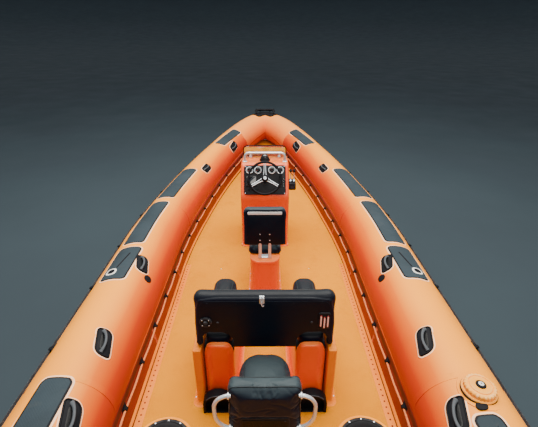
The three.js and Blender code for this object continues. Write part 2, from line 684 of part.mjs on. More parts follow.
// Helm seat
{
  const face = HELM_BACKREST.rear + HELM_BACKREST.thick + FIT;
  add('seat_pod_helm', roundedPlan(
    -HELM_POD.halfWidth, HELM_POD.rear, HELM_POD.halfWidth, HELM_POD.front,
    90, DECK + FIT, DECK + HELM_POD.top, 5,
  ), 'orange');
  add('seat_cushion_helm', roundedPlan(
    -HELM_CUSHION.halfWidth, face, HELM_CUSHION.halfWidth, HELM_CUSHION.front,
    100, DECK + HELM_POD.top + FIT, DECK + HELM_POD.top + HELM_CUSHION.thick,
  ), 'seat');
  const outline = backrestOutline(HELM_BACKREST, HELM_BACKREST.bottom);
  outline.lineTo(HELM_BACKREST.halfWidth, DECK + HELM_BACKREST.bottom);
  const stem = block(
    [-60, HELM_BACKREST.rear + 10, DECK + HELM_POD.top + FIT],
    [60, HELM_BACKREST.rear + HELM_BACKREST.thick - 10, DECK + HELM_BACKREST.bottom + 40],
  );
  const { rear, thick } = HELM_BACKREST;
  const board = fromAstern(outline, rear, rear + thick);
  add('helm_backrest', join(board, stem), 'seat');
}

// Console, with what stands on it placed from the middle of its sloping dash
const DASH_TILT = Math.atan2(CONSOLE.dashHead - CONSOLE.dashFoot, CONSOLE.dashRun);
const DASH_MIDDLE = [0, CONSOLE.aft + CONSOLE.dashRun / 2, DECK + (CONSOLE.dashFoot + CONSOLE.dashHead) / 2];
const SHOULDER = { y: 760, z: 960 };

// From a frame whose z points straight out of the dash
function onDash(body) {
  return body.rotate([THREE.MathUtils.radToDeg(DASH_TILT), 0, 0]).translate(DASH_MIDDLE);
}
add('console', fromSide([
  [CONSOLE.aft + 60, DECK + FIT],
  [CONSOLE.fore + 40, DECK + FIT],
  [CONSOLE.fore, DECK + 640],
  [SHOULDER.y, DECK + SHOULDER.z],
  [CONSOLE.aft + CONSOLE.dashRun, DECK + CONSOLE.dashHead],
  [CONSOLE.aft, DECK + CONSOLE.dashFoot],
], -CONSOLE.halfWidth, CONSOLE.halfWidth), 'orange');
const DASH_PANEL = { halfWidth: 225, halfHeight: 160, thick: 12 };
const COLUMN_HOLE = 34;
add('dash_panel', onDash(roundedPlan(
  -DASH_PANEL.halfWidth, -DASH_PANEL.halfHeight, DASH_PANEL.halfWidth, DASH_PANEL.halfHeight,
  30, FIT, DASH_PANEL.thick,
).subtract(rod('z', 60, COLUMN_HOLE, [0, 0, 0]))), 'black');
const SCREEN = { halfWidth: 235, height: 150, rake: 70, thick: 8, aft: 20 };
add('spray_screen', fromSide([
  [SHOULDER.y - SCREEN.aft, DECK + SHOULDER.z + FIT],
  [SHOULDER.y - SCREEN.aft + SCREEN.thick, DECK + SHOULDER.z + FIT],
  [SHOULDER.y - SCREEN.aft + SCREEN.thick - SCREEN.rake, DECK + SHOULDER.z + SCREEN.height],
  [SHOULDER.y - SCREEN.aft - SCREEN.rake, DECK + SHOULDER.z + SCREEN.height],
], -SCREEN.halfWidth, SCREEN.halfWidth), 'clear');
const CONSOLE_RAIL = { half: 215, radius: 13, y: 572, rise: 92 };
{
  const { half, radius, y, rise } = CONSOLE_RAIL;
  const leg = [[half, y, 1], [half, y, rise - 37], [half - 20, y + 2, rise - 8], [half - 65, y + 3, rise]];
  const route = [...leg.map(([x, along, up]) => [-x, along, up]), ...leg.reverse()]
    .map(([x, along, up]) => [x, along, DECK + SHOULDER.z + up]);
  add('console_rail', bar(route, radius, 20, 4), 'steel');
}
const THROTTLE = {
  y: 470, foot: 690, top: 770, halfLength: 70, width: 75, lever: 110, leverHalf: 6, disc: 22, knob: 15,
};
{
  const side = CONSOLE.halfWidth + FIT;
  const { y, foot, top, halfLength, width, lever, leverHalf, disc, knob } = THROTTLE;
  const base = block([side, y - halfLength, DECK + foot], [side + width, y + halfLength, DECK + top]);
  const levers = [side + width / 4, side + 3 * width / 4].map((x) => join(
    rod('x', 16, disc, [x, y, DECK + top]),
    block([x - leverHalf, y - 8, DECK + top + 5], [x + leverHalf, y + 8, DECK + top + lever]),
    rod('y', 50, knob, [x, y, DECK + top + lever + 8], 12),
  ));
  add('throttle_control', join(base, ...levers), 'black');
}

// Steering wheel on its column
const WHEEL = { radius: 170, grip: 13, standoff: 120, hub: 38, column: 22, spokeHalf: 14, spokeThick: 10 };
{
  const grip = new THREE.Path().absarc(WHEEL.radius, 0, WHEEL.grip, 0, 2 * Math.PI).getPoints(4);
  const rim = new THREE.LatheGeometry(grip.reverse(), 24)
    .rotateX(Math.PI / 2)
    .translate(0, 0, WHEEL.standoff);
  const spokes = [90, 210, 330].map((turn) => block(
    [0, -WHEEL.spokeHalf, WHEEL.standoff - WHEEL.spokeThick / 2],
    [WHEEL.radius, WHEEL.spokeHalf, WHEEL.standoff + WHEEL.spokeThick / 2],
  ).rotate([0, 0, turn]));
  const hub = rod('z', 26, WHEEL.hub, [0, 0, WHEEL.standoff]);
  const length = WHEEL.standoff - FIT;
  const column = rod('z', length, WHEEL.column, [0, 0, FIT + length / 2]);
  add('steering_wheel', onDash(join(outward(rim), ...spokes, hub, column)), 'black');
}

function outward(geometry) {
  const body = solid(geometry);
  if (body.volume() > 0) return body;
  const flipped = geometry.toNonIndexed();
  const place = flipped.attributes.position;
  for (let i = 0; i < place.count; i += 3) {
    const a = new THREE.Vector3().fromBufferAttribute(place, i);
    const b = new THREE.Vector3().fromBufferAttribute(place, i + 1);
    place.setXYZ(i, b.x, b.y, b.z);
    place.setXYZ(i + 1, a.x, a.y, a.z);
  }
  return solid(flipped);
}

// Roll frame aft: a raked hoop with forward braces, standing on foot plates
const FRAME = {
  x: 795, footY: -3390, topY: -3500, height: 1850, tube: 30, braceTube: 24, braceFoot: -3130, topHalf: 520,
};
const FOOT_PLATE = { halfWidth: 33, halfLength: 55, thick: 12 };
const HOOP = [                   // x from the foot's, share of the rake, height below the top
  { in: 0, rake: 0, below: FRAME.height - 6 },
  { in: 0, rake: 0.35, below: 1250 },
  { in: 15, rake: 0.7, below: 600 },
  { in: 90, rake: 0.9, below: 220 },
  { in: FRAME.x - FRAME.topHalf - 60, rake: 1, below: 35 },
  { in: FRAME.x - FRAME.topHalf + 60, rake: 1, below: 0 },
  { in: FRAME.x - 300, rake: 1, below: 0 },
];
{
  const half = HOOP.map(({ in: inset, rake, below }) => [
    FRAME.x - inset, FRAME.footY + rake * (FRAME.topY - FRAME.footY), DECK + FRAME.height - below,
  ]);
  const hoop = bar([...half.map(([x, y, z]) => [-x, y, z]), ...[...half].reverse()], FRAME.tube, 32, 4);
  const braces = [-1, 1].map((side) => bar([
    [side * FRAME.x, FRAME.braceFoot, DECK + 6],
    [side * FRAME.x, FRAME.braceFoot - 90, DECK + 560],
    [side * (FRAME.x - 12), FRAME.footY - 75, DECK + FRAME.height - 640],
  ], FRAME.braceTube, 6, 4));
  const { halfWidth, halfLength, thick } = FOOT_PLATE;
  const feet = [-1, 1].flatMap((side) => [FRAME.footY, FRAME.braceFoot].map((y) => block(
    [side * FRAME.x - halfWidth, y - halfLength, DECK + FIT],
    [side * FRAME.x + halfWidth, y + halfLength, DECK + thick],
  )));
  add('roll_frame', join(hoop, ...braces, ...feet), 'black');
}

// Righting bag rolled on top of the hoop, a stern light mast and two whip aerials
const BAG = { halfLength: 400, radius: 140, sunk: 22, hoopRoom: 20 };
const HOOP_TOP = DECK + FRAME.height + FRAME.tube;
const BEHIND_HOOP = FRAME.topY - 2 * FRAME.tube;
{
  const bag = rod('x', 2 * BAG.halfLength, BAG.radius, [0, FRAME.topY, HOOP_TOP + BAG.radius - BAG.sunk], 20);
  const hoopRoom = block(
    [-2 * BAG.halfLength, FRAME.topY - FRAME.tube - BAG.hoopRoom, HOOP_TOP - BAG.radius],
    [2 * BAG.halfLength, FRAME.topY + FRAME.tube + BAG.hoopRoom, HOOP_TOP + FIT],
  );
  add('righting_bag', bag.subtract(hoopRoom), 'orange');
}
const MAST = { x: -470, radius: 14, height: 420, lamp: 34, lampHeight: 60, lug: 16 };
{
  const foot = HOOP_TOP + FIT - FRAME.tube;
  add('light_mast', join(
    rod('z', MAST.height, MAST.radius, [MAST.x, BEHIND_HOOP, foot + MAST.height / 2], 12),
    rod('z', MAST.lampHeight, MAST.lamp, [MAST.x, BEHIND_HOOP, foot + MAST.height + 20], 16),
    block(
      [MAST.x - MAST.lug, BEHIND_HOOP - 2, foot - 10],
      [MAST.x + MAST.lug, FRAME.topY - FRAME.tube - FIT, foot + 10],
    ),
  ), 'white');
}
const AERIAL = {
  x: 560, below: 120, radius: 8, tip: 3, height: 1300, socket: 16, socketHeight: 160, lug: 14, lugReach: 7.6,
};
for (const [name, side] of SIDES) {
  const x = side * AERIAL.x;
  const foot = DECK + FRAME.height - AERIAL.below;
  const { height, radius, tip, socket, socketHeight, lug, lugReach } = AERIAL;
  add(`aerial_${name}`, join(
    rod('z', height, radius, [x, BEHIND_HOOP, foot + height / 2], 10, tip),
    rod('z', socketHeight, socket, [x, BEHIND_HOOP, foot + socketHeight / 4], 12),
    block([x - lug, BEHIND_HOOP, foot + 20], [x + lug, FRAME.topY - FRAME.tube + lugReach, foot + 60]),
  ), 'white');
}

// Outboard motors. Each is built about its own centreline, then moved to its side of the transom.
function roundedRing(z, halfWidth, aft, fore, radius, segments = 3) {
  const outline = new THREE.Shape();
  outline.absarc(halfWidth - radius, fore - radius, radius, 0, Math.PI / 2);
  outline.absarc(radius - halfWidth, fore - radius, radius, Math.PI / 2, Math.PI);
  outline.absarc(radius - halfWidth, aft + radius, radius, Math.PI, 1.5 * Math.PI);
  outline.absarc(halfWidth - radius, aft + radius, radius, 1.5 * Math.PI, 2 * Math.PI);
  return outline.getPoints(segments).slice(0, -1).map((point) => new THREE.Vector3(point.x, point.y, z));
}

const COWL = { halfWidth: 190, aft: -4130, fore: -3595, corner: 150, foot: 470, top: 880, wall: 8 };
const COWL_SECTIONS = [          // height, how far the side comes in
  { z: COWL.foot, inset: 0 },
  { z: 620, inset: -4 },
  { z: 770, inset: 8 },
  { z: 845, inset: 36 },
  { z: COWL.top, inset: 84 },
];

function cowlRing(z, inset) {
  return roundedRing(z, COWL.halfWidth - inset, COWL.aft + inset, COWL.fore - inset, COWL.corner - inset);
}

function cowl() {
  const outer = loft(COWL_SECTIONS.map(({ z, inset }) => cowlRing(z + FIT, inset)));
  const inner = loft(COWL_SECTIONS.map(({ z, inset }) => cowlRing(z - COWL.wall, inset + COWL.wall)));
  return outer.subtract(inner);
}

const POWERHEAD = { halfWidth: 125, aft: -3990, fore: -3660, height: 300 };
function powerhead() {
  return block(
    [-POWERHEAD.halfWidth, POWERHEAD.aft, COWL.foot + FIT],
    [POWERHEAD.halfWidth, POWERHEAD.fore, COWL.foot + POWERHEAD.height],
  );
}

const SWIVEL = {
  sleeve: 34, halfWidth: 80, boss: 36, top: 375, bottom: -100, web: 30, tiltPin: 15, steerPin: 20,
};
const CLAMP = { inner: 88, thick: 20, hookReach: 190, hookThick: 35, foot: -390, tieThick: 14 };
const PIN_ROOM = { tilt: 0.7, steer: 0.9 };

function clampBracket() {
  const aftFace = TRANSOM_Y - FIT - TILT_Y;
  const hook = TRANSOM_TOP + FIT - TILT_Z;
  const profile = [
    [-38, 45], [30, 45], [50, 20], [62, -80], [100, hook + 12],
    [CLAMP.hookReach, hook + CLAMP.hookThick], [CLAMP.hookReach, hook],
    [aftFace, hook], [aftFace, CLAMP.foot], [60, CLAMP.foot], [-38, -60],
  ].map(([y, z]) => [TILT_Y + y, TILT_Z + z]);
  const outer = CLAMP.inner + CLAMP.thick;
  const plates = [-outer, CLAMP.inner].map((x) => fromSide(profile, x, x + CLAMP.thick));
  const hole = rod('x', 3 * outer, SWIVEL.tiltPin + PIN_ROOM.tilt, [0, TILT_Y, TILT_Z], 16);
  const tie = block(
    [-outer, TRANSOM_Y + 10, TRANSOM_TOP + FIT],
    [outer, TRANSOM_Y + TRANSOM_BOARD.thick + 10, TRANSOM_TOP + CLAMP.tieThick],
  );
  return join(...plates, tie).subtract(hole);
}

function swivelBracket() {
  const sleeve = rod('x', 2 * SWIVEL.halfWidth, SWIVEL.sleeve, [0, TILT_Y, TILT_Z]);
  const pin = rod('x', 2 * (CLAMP.inner + CLAMP.thick), SWIVEL.tiltPin, [0, TILT_Y, TILT_Z], 16);
  const web = block([-SWIVEL.web, STEER_Y, TILT_Z - 5 * SWIVEL.web], [SWIVEL.web, TILT_Y, TILT_Z + 20]);
  const height = SWIVEL.top - SWIVEL.bottom;
  const boss = rod('z', height, SWIVEL.boss, [0, STEER_Y, SWIVEL.bottom + height / 2]);
  const boreRadius = SWIVEL.steerPin + PIN_ROOM.steer;
  const bore = rod('z', 2 * height, boreRadius, [0, STEER_Y, SWIVEL.bottom + height / 2], 16);
  return join(sleeve, pin, web, boss).subtract(bore);
}

const LEG_SECTIONS = [           // height, half-width, aft edge, fore edge
  { z: PAN_Z, half: 95, aft: -4010, fore: -3778 },
  { z: 250, half: 66, aft: -3960, fore: -3780 },
  { z: -150, half: 56, aft: -3945, fore: -3780 },
  { z: PLATE_Z, half: 50, aft: -3975, fore: -3760 },
];
const STRUT_SECTIONS = [         // gearcase strut and skeg, from the plate down
  { z: PLATE_Z, half: 46, aft: -3985, fore: -3725, corner: 40 },
  { z: PROP_Z, half: 24, aft: -3990, fore: -3690, corner: 22 },
  { z: PROP_Z - 120, half: 7, aft: -3970, fore: -3790, corner: 6 },
  { z: PROP_Z - 225, half: 5, aft: -3950, fore: -3830, corner: 4 },
];
const PLATE = { halfWidth: 100, aft: -4110, fore: -3720, corner: 80, thick: 10 };
const GEARCASE = { nose: -3650, tail: -4030, radius: 60 };
const GEARCASE_PROFILE = [
  { radius: 0, y: GEARCASE.nose },
  { radius: 30, y: GEARCASE.nose - 18 },
  { radius: 52, y: GEARCASE.nose - 60 },
  { radius: GEARCASE.radius, y: GEARCASE.nose - 130 },
  { radius: GEARCASE.radius, y: GEARCASE.tail + 90 },
  { radius: 48, y: GEARCASE.tail },
  { radius: 0, y: GEARCASE.tail },
];
const PROP_SHAFT = { radius: 14, length: 150 };
const MOUNTS = [                 // rubber-mount blocks that hold the leg to its steering pin
  { half: 45, fore: STEER_Y + 30, bottom: SWIVEL.bottom - 40, top: SWIVEL.bottom - 6 },
  { half: 60, fore: STEER_Y + 34, bottom: SWIVEL.top + 6, top: PAN_Z + 5 },
];
const MOUNT_AFT = -3820;

function leg() {
  const pan = loft([
    cowlRing(PAN_Z, 40),
    cowlRing(PAN_Z + 25, 8),
    cowlRing(COWL.foot, 0),
  ]);
  const shaftHousing = loft(LEG_SECTIONS.map(
    ({ z, half, aft, fore }) => roundedRing(z, half, aft, fore, 0.7 * half),
  ));
  const plate = roundedPlan(
    -PLATE.halfWidth, PLATE.aft, PLATE.halfWidth, PLATE.fore,
    PLATE.corner, PLATE_Z - PLATE.thick / 2, PLATE_Z + PLATE.thick / 2,
  );
  const strut = loft(STRUT_SECTIONS.map(
    ({ z, half, aft, fore, corner }) => roundedRing(z, half, aft, fore, corner),
  ));
  const profile = GEARCASE_PROFILE.map(({ radius, y }) => new THREE.Vector2(radius, y));
  const torpedo = outward(new THREE.LatheGeometry(profile, 20)).translate([0, 0, PROP_Z]);
  const shaftMiddle = [0, GEARCASE.tail + 10 - PROP_SHAFT.length / 2, PROP_Z];
  const shaft = rod('y', PROP_SHAFT.length, PROP_SHAFT.radius, shaftMiddle, 16);
  const pinFoot = SWIVEL.bottom - 25;
  const pinHead = PAN_Z + 10;
  const steerPin = rod('z', pinHead - pinFoot, SWIVEL.steerPin, [0, STEER_Y, (pinHead + pinFoot) / 2], 16);
  const mounts = MOUNTS.map(
    ({ half, fore, bottom, top }) => block([-half, MOUNT_AFT, bottom], [half, fore, top]),
  );
  return join(pan, shaftHousing, plate, strut, torpedo, shaft, steerPin, ...mounts);
}

const BLADE = { count: 3, pitch: 28, chord: 62, thick: 8, root: 40 };
const HUB = { length: 110, radius: 46, tail: 40 };
function propeller() {
  const middle = (PROP_RADIUS + BLADE.root) / 2 - 3;
  const outline = new THREE.Shape();
  outline.absellipse(0, middle, BLADE.chord, PROP_RADIUS - middle, 0, 2 * Math.PI);
  const flat = solid(raisedShape(outline, BLADE.thick, 8));
  const hub = rod('y', HUB.length, HUB.radius, [0, 0, 0], 24, HUB.tail);
  const blades = Array.from({ length: BLADE.count }, (_, i) => flat
    .translate([0, 0, -BLADE.thick / 2])
    .rotate([90, 0, 0])
    .rotate([0, 0, BLADE.pitch])
    .rotate([0, (360 * i) / BLADE.count, 0]));
  const bore = rod('y', 2 * HUB.length, PROP_SHAFT.radius + 0.8, [0, 0, 0], 16);
  const whole = join(hub, ...blades).subtract(bore);
  return whole.intersect(rod('y', 3 * HUB.length, PROP_RADIUS, [0, 0, 0], 48)).translate([0, PROP_Y, PROP_Z]);
}

for (const [name, side] of SIDES) {
  const pieces = {
    clamp_bracket: [clampBracket(), 'engine'],
    swivel_bracket: [swivelBracket(), 'engine'],
    engine_leg: [leg(), 'engine'],
    engine_cowl: [cowl(), 'engine'],
    powerhead: [powerhead(), 'engine'],
    propeller: [propeller(), 'steel'],
  };
  for (const [piece, [body, colour]] of Object.entries(pieces)) {
    add(`${name}_${piece}`, body.translate([side * ENGINE_X, 0, 0]), colour);
  }
}

export default boat;
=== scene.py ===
# Inshore rescue boat, dressed over its CAD frame. Metres, +Y to the bow, +X to starboard, +Z up.
import math

import bmesh
import bpy
import numpy as np
from mathutils import Euler, Matrix, Vector, noise
from mathutils.bvhtree import BVHTree


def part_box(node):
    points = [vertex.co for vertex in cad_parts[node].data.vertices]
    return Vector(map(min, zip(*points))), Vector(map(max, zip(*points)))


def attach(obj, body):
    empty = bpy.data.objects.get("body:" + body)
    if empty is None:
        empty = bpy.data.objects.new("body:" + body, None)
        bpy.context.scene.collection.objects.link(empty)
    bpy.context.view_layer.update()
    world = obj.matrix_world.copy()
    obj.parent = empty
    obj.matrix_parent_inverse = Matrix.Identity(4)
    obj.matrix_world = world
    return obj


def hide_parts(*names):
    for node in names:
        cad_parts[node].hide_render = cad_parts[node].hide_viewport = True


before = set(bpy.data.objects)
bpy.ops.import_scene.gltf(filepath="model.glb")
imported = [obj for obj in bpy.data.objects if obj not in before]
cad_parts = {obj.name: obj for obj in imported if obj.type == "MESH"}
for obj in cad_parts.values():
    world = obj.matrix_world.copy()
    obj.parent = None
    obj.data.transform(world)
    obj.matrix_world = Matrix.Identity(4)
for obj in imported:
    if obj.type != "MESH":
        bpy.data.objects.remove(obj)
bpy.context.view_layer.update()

SIDES = (("port", -1), ("starboard", 1))
DECK = 0.12
TRANSOM_Y = -3.55
TRANSOM_TOP = 0.26

# Collar: where its centreline runs and how thick it is
TUBE_HALF_SPAN = 1.155
TUBE_Z = DECK + 0.25
COLLAR_BEND_Y = -0.09
COLLAR_BOW_Y = 3.87
PLAN_POWER_X = 1.166
PLAN_POWER_Y = 1.21
SHEER_START_Y = -1.0
SHEER_RISE = 0.324
TUBE_RADIUS = 0.27
TUBE_BOW_RADIUS = 0.25
TUBE_SHOULDER_Y = -3.72
TAIL_END_Y = -4.15
TAIL_TAPER_SQUARE = 0.144
TAIL_TAPER_CUBE = 1.866
BOW_SEAM_ANGLE = 58.0
TUBE_SIDES = 72
PATCH_SUNK = 0.0015


# Mesh forms

class Shape:
    """Points and faces gathered from several forms, each face with the number of its finish."""

    def __init__(self):
        self.points = []
        self.faces = []
        self.finish = []

    def add(self, form, finish=0):
        points, faces = form
        start = len(self.points)
        self.points.extend(map(tuple, np.asarray(points, float).reshape(-1, 3)))
        self.faces.extend([[start + i for i in face] for face in faces])
        self.finish.extend([finish] * len(faces))
        return self

    def placed(self, offset=(0, 0, 0), side=1):
        """All of it shifted, then mirrored where the side is port's -1."""
        points = (np.array(self.points) + np.array(offset)) * np.array([side, 1, 1])
        self.points = [tuple(point) for point in points]
        return self


def rotation(degrees, axis):
    return Matrix.Rotation(math.radians(degrees), 3, axis)


def full_turn(count):
    """Angles once round, without the last."""
    return np.linspace(0, 2 * math.pi, count, endpoint=False)


def moved(form, offset=(0, 0, 0), turn=None, mirror=False):
    """A form turned by a matrix, then shifted, then mirrored to port."""
    points, faces = form
    points = np.asarray(points, float)
    if turn is not None:
        points = points @ np.array(turn.to_3x3()).T
    points = points + np.array(offset)
    if mirror:
        points = points * np.array([-1, 1, 1])
        faces = [face[::-1] for face in faces]
    return points, faces


def piece(name, shape, finishes, body="hull", replaces=(), sharp=35):
    """An object of the shape, with its finishes, body and the nodes it stands for."""
    mesh = bpy.data.meshes.new(name)
    mesh.from_pydata(shape.points, [], shape.faces)
    for finish in finishes:
        mesh.materials.append(finish)
    mesh.polygons.foreach_set("material_index", shape.finish)
    work = bmesh.new()
    work.from_mesh(mesh)
    bmesh.ops.recalc_face_normals(work, faces=work.faces)
    work.to_mesh(mesh)
    work.free()
    mesh.shade_smooth()
    mesh.set_sharp_from_angle(angle=math.radians(sharp))
    made = bpy.data.objects.new(name, mesh)
    bpy.context.scene.collection.objects.link(made)
    if replaces:
        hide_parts(*replaces)
    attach(made, body)
    return made


def skin_faces(rows, columns, closed_columns=False, closed_rows=False):
    faces = []
    for row in range(rows if closed_rows else rows - 1):
        below = row * columns
        above = ((row + 1) % rows) * columns
        for column in range(columns if closed_columns else columns - 1):
            after = (column + 1) % columns
            faces.append([below + column, below + after, above + after, above + column])
    return faces


def loft(rings, caps=True):
    """A form through closed rings with the same number of points."""
    rings = np.asarray(rings, float)
    rows, columns = rings.shape[:2]
    faces = skin_faces(rows, columns, closed_columns=True)
    if caps:
        faces.append(list(range(columns))[::-1])
        faces.append([(rows - 1) * columns + i for i in range(columns)])
    return rings.reshape(-1, 3), faces


def sheet_form(rows):
    """An open skin through rows of points."""
    rows = np.asarray(rows, float)
    return rows.reshape(-1, 3), skin_faces(*rows.shape[:2])


def frames_along(path, closed=False):
    """Two unit directions across a path at each point, which don't spin."""
    path = np.asarray(path, float)
    if closed:
        along = np.roll(path, -1, axis=0) - np.roll(path, 1, axis=0)
    else:
        along = np.gradient(path, axis=0)
    along /= np.linalg.norm(along, axis=1)[:, None]
    seed = np.array([0, 0, 1.0]) if abs(along[0][2]) < 0.9 else np.array([1.0, 0, 0])
    across = np.empty_like(along)
    side = np.cross(along[0], seed)
    for i, direction in enumerate(along):
        side = side - direction * side.dot(direction)
        side /= np.linalg.norm(side)
        across[i] = side
    return across, np.cross(along, across)


def sweep(path, radius, sides=12, closed=False, flat=1.0, lobes=0, twist=0.0):
    """A round bar along a path. Lobes and twist, in turns a metre, make it a laid rope."""
    path = np.asarray(path, float)
    across, above = frames_along(path, closed)
    steps = np.linalg.norm(np.diff(path, axis=0), axis=1)
    travel = np.concatenate([[0], np.cumsum(steps)])
    turn = full_turn(sides)
    phase = turn[None, :] + 2 * math.pi * twist * travel[:, None]
    size = np.broadcast_to(np.asarray(radius, float), (len(path),))[:, None]
    if lobes:
        size = size * (0.86 + 0.14 * np.abs(np.cos(lobes * turn / 2))[None, :])
    rings = path[:, None] + across[:, None] * (size * np.cos(phase))[..., None]
    rings = rings + above[:, None] * (size * flat * np.sin(phase))[..., None]
    if closed:
        return rings.reshape(-1, 3), skin_faces(len(path), sides, True, True)
    return loft(rings)


def smooth_path(points, step=0.02):
    """A centripetal Catmull-Rom curve through points, sampled at about one step."""
    points = np.asarray(points, float)
    padded = np.vstack([2 * points[0] - points[1], points, 2 * points[-1] - points[-2]])
    out = []
    for i in range(1, len(padded) - 2):
        a, b, c, d = padded[i - 1:i + 3]
        t1 = np.linalg.norm(b - a) ** 0.5
        t2 = t1 + np.linalg.norm(c - b) ** 0.5
        t3 = t2 + np.linalg.norm(d - c) ** 0.5
        count = max(2, int(np.linalg.norm(c - b) / step))
        t = np.linspace(t1, t2, count, endpoint=False)[:, None]
        ab = a + (b - a) * t / t1
        bc = b + (c - b) * (t - t1) / (t2 - t1)
        cd = c + (d - c) * (t - t2) / (t3 - t2)
        abc = ab + (bc - ab) * t / t2
        bcd = bc + (cd - bc) * (t - t1) / (t3 - t1)
        out.append(abc + (bcd - abc) * (t - t1) / (t2 - t1))
    return np.vstack(out + [points[-1:]])


def bent(points, radius, steps=6):
    """A polyline whose inner corners are rounded, for bars and profiles."""
    points = [np.asarray(point, float) for point in points]
    out = [points[0]]
    for before, corner, after in zip(points, points[1:], points[2:]):
        to_before = before - corner
        to_after = after - corner
        reach = min(radius, np.linalg.norm(to_before) * 0.49, np.linalg.norm(to_after) * 0.49)
        start = corner + to_before / np.linalg.norm(to_before) * reach
        end = corner + to_after / np.linalg.norm(to_after) * reach
        for t in np.linspace(0, 1, steps + 1):
            out.append((1 - t) ** 2 * start + 2 * t * (1 - t) * corner + t * t * end)
    out.append(points[-1])
    return np.array(out)


def resampled(path, step):
    path = np.asarray(path, float)
    travel = np.concatenate([[0], np.cumsum(np.linalg.norm(np.diff(path, axis=0), axis=1))])
    places = np.linspace(0, travel[-1], max(2, int(round(travel[-1] / step)) + 1))
    return np.stack([np.interp(places, travel, path[:, k]) for k in range(path.shape[1])], axis=1)


def even_ring(outline, step):
    """A closed outline sampled anew at about one step."""
    return resampled(np.vstack([outline, outline[:1]]), step)[:-1]


def lathe(profile, sides=32):
    """A turned form about +Z from (radius, height) pairs."""
    return loft([[(r * math.cos(a), r * math.sin(a), h) for a in full_turn(sides)] for r, h in profile])


def block(low, high, edge=0.004, steps=2):
    """A box between two corners with rounded edges."""
    low = np.asarray(low, float)
    high = np.asarray(high, float)
    work = bmesh.new()
    bmesh.ops.create_cube(work, size=1)
    bmesh.ops.scale(work, vec=Vector(high - low), verts=work.verts)
    bmesh.ops.translate(work, vec=Vector((high + low) / 2), verts=work.verts)
    reach = min(edge, 0.45 * float(min(high - low)))
    bmesh.ops.bevel(work, geom=work.edges, offset=reach, segments=steps, profile=0.5, affect="EDGES")
    form = ([tuple(v.co) for v in work.verts], [[v.index for v in f.verts] for f in work.faces])
    work.free()
    return form


def rounded_outline(x0, y0, x1, y1, radii, steps=6):
    """A rectangle with corner radii given from the top right, anticlockwise."""
    if not isinstance(radii, (tuple, list)):
        radii = (radii,) * 4
    corners = ((x1, y1, 1, 1, 0), (x0, y1, -1, 1, 90), (x0, y0, -1, -1, 180), (x1, y0, 1, -1, 270))
    out = []
    for (x, y, sx, sy, start), radius in zip(corners, radii):
        for a in np.linspace(math.radians(start), math.radians(start + 90), steps + 1):
            out.append((x - sx * radius + radius * math.cos(a), y - sy * radius + radius * math.sin(a)))
    return np.array(out)


def grown(outline, amount):
    """An anticlockwise outline moved outward by an amount."""
    outline = np.asarray(outline, float)
    edge = np.roll(outline, -1, axis=0) - outline
    length = np.linalg.norm(edge, axis=1)
    keep = length > 1e-9
    outline = outline[keep]
    edge = np.roll(outline, -1, axis=0) - outline
    normal = np.stack([edge[:, 1], -edge[:, 0]], axis=1)
    normal /= np.linalg.norm(normal, axis=1)[:, None]
    both = normal + np.roll(normal, 1, axis=0)
    both /= np.maximum(0.35, np.linalg.norm(both, axis=1) ** 2 / 2)[:, None]
    return outline + amount * both


def slab(outline, bottom, top, edge=0.003, steps=3, both=False):
    """A plate over an anticlockwise outline in x and y, its top edge rounded, and the lower one if both."""
    rows = []
    turns = np.linspace(0, math.pi / 2, steps + 1)
    if both:
        rows += [(-edge * (1 - math.sin(a)), bottom + edge * (1 - math.cos(a))) for a in turns]
    else:
        rows.append((0.0, bottom))
    rows += [(-edge * (1 - math.cos(a)), top - edge * (1 - math.sin(a))) for a in turns]
    outline = grown(outline, 0)
    rings = [np.column_stack([grown(outline, out), np.full(len(outline), z)]) for out, z in rows]
    return loft(rings)


def upright(form, y):
    """A form drawn in x and y stood up: its y becomes height and its z runs aft from y."""
    points, faces = form
    points = np.asarray(points, float)
    return np.column_stack([points[:, 0], y - points[:, 2], points[:, 1]]), faces


def screw_head(radius=0.006, height=0.003):
    profile = [(radius, -0.002), (radius, 0.0), (radius * 0.8, height * 0.75), (radius * 0.35, height)]
    return lathe(profile, 12)


def facing(normal):
    """A turn that takes +Z to a direction."""
    return Vector(normal).to_track_quat("Z", "Y").to_matrix()


# Finishes: node graphs from noise, height of the surface normal and fine relief

def linear(red, green, blue):
    def channel(value):
        value = value / 255
        return value / 12.92 if value <= 0.04045 else ((value + 0.055) / 1.055) ** 2.4
    return (channel(red), channel(green), channel(blue), 1.0)


# Places of a mix node's sockets for its share and its colours, and of its colour result
MIX_SHARE, MIX_FIRST_COLOUR, MIX_SECOND_COLOUR = 0, 6, 7
MIX_COLOUR = 2
# A wave texture's scale for bands a metre apart
WAVE_SCALE = 0.314


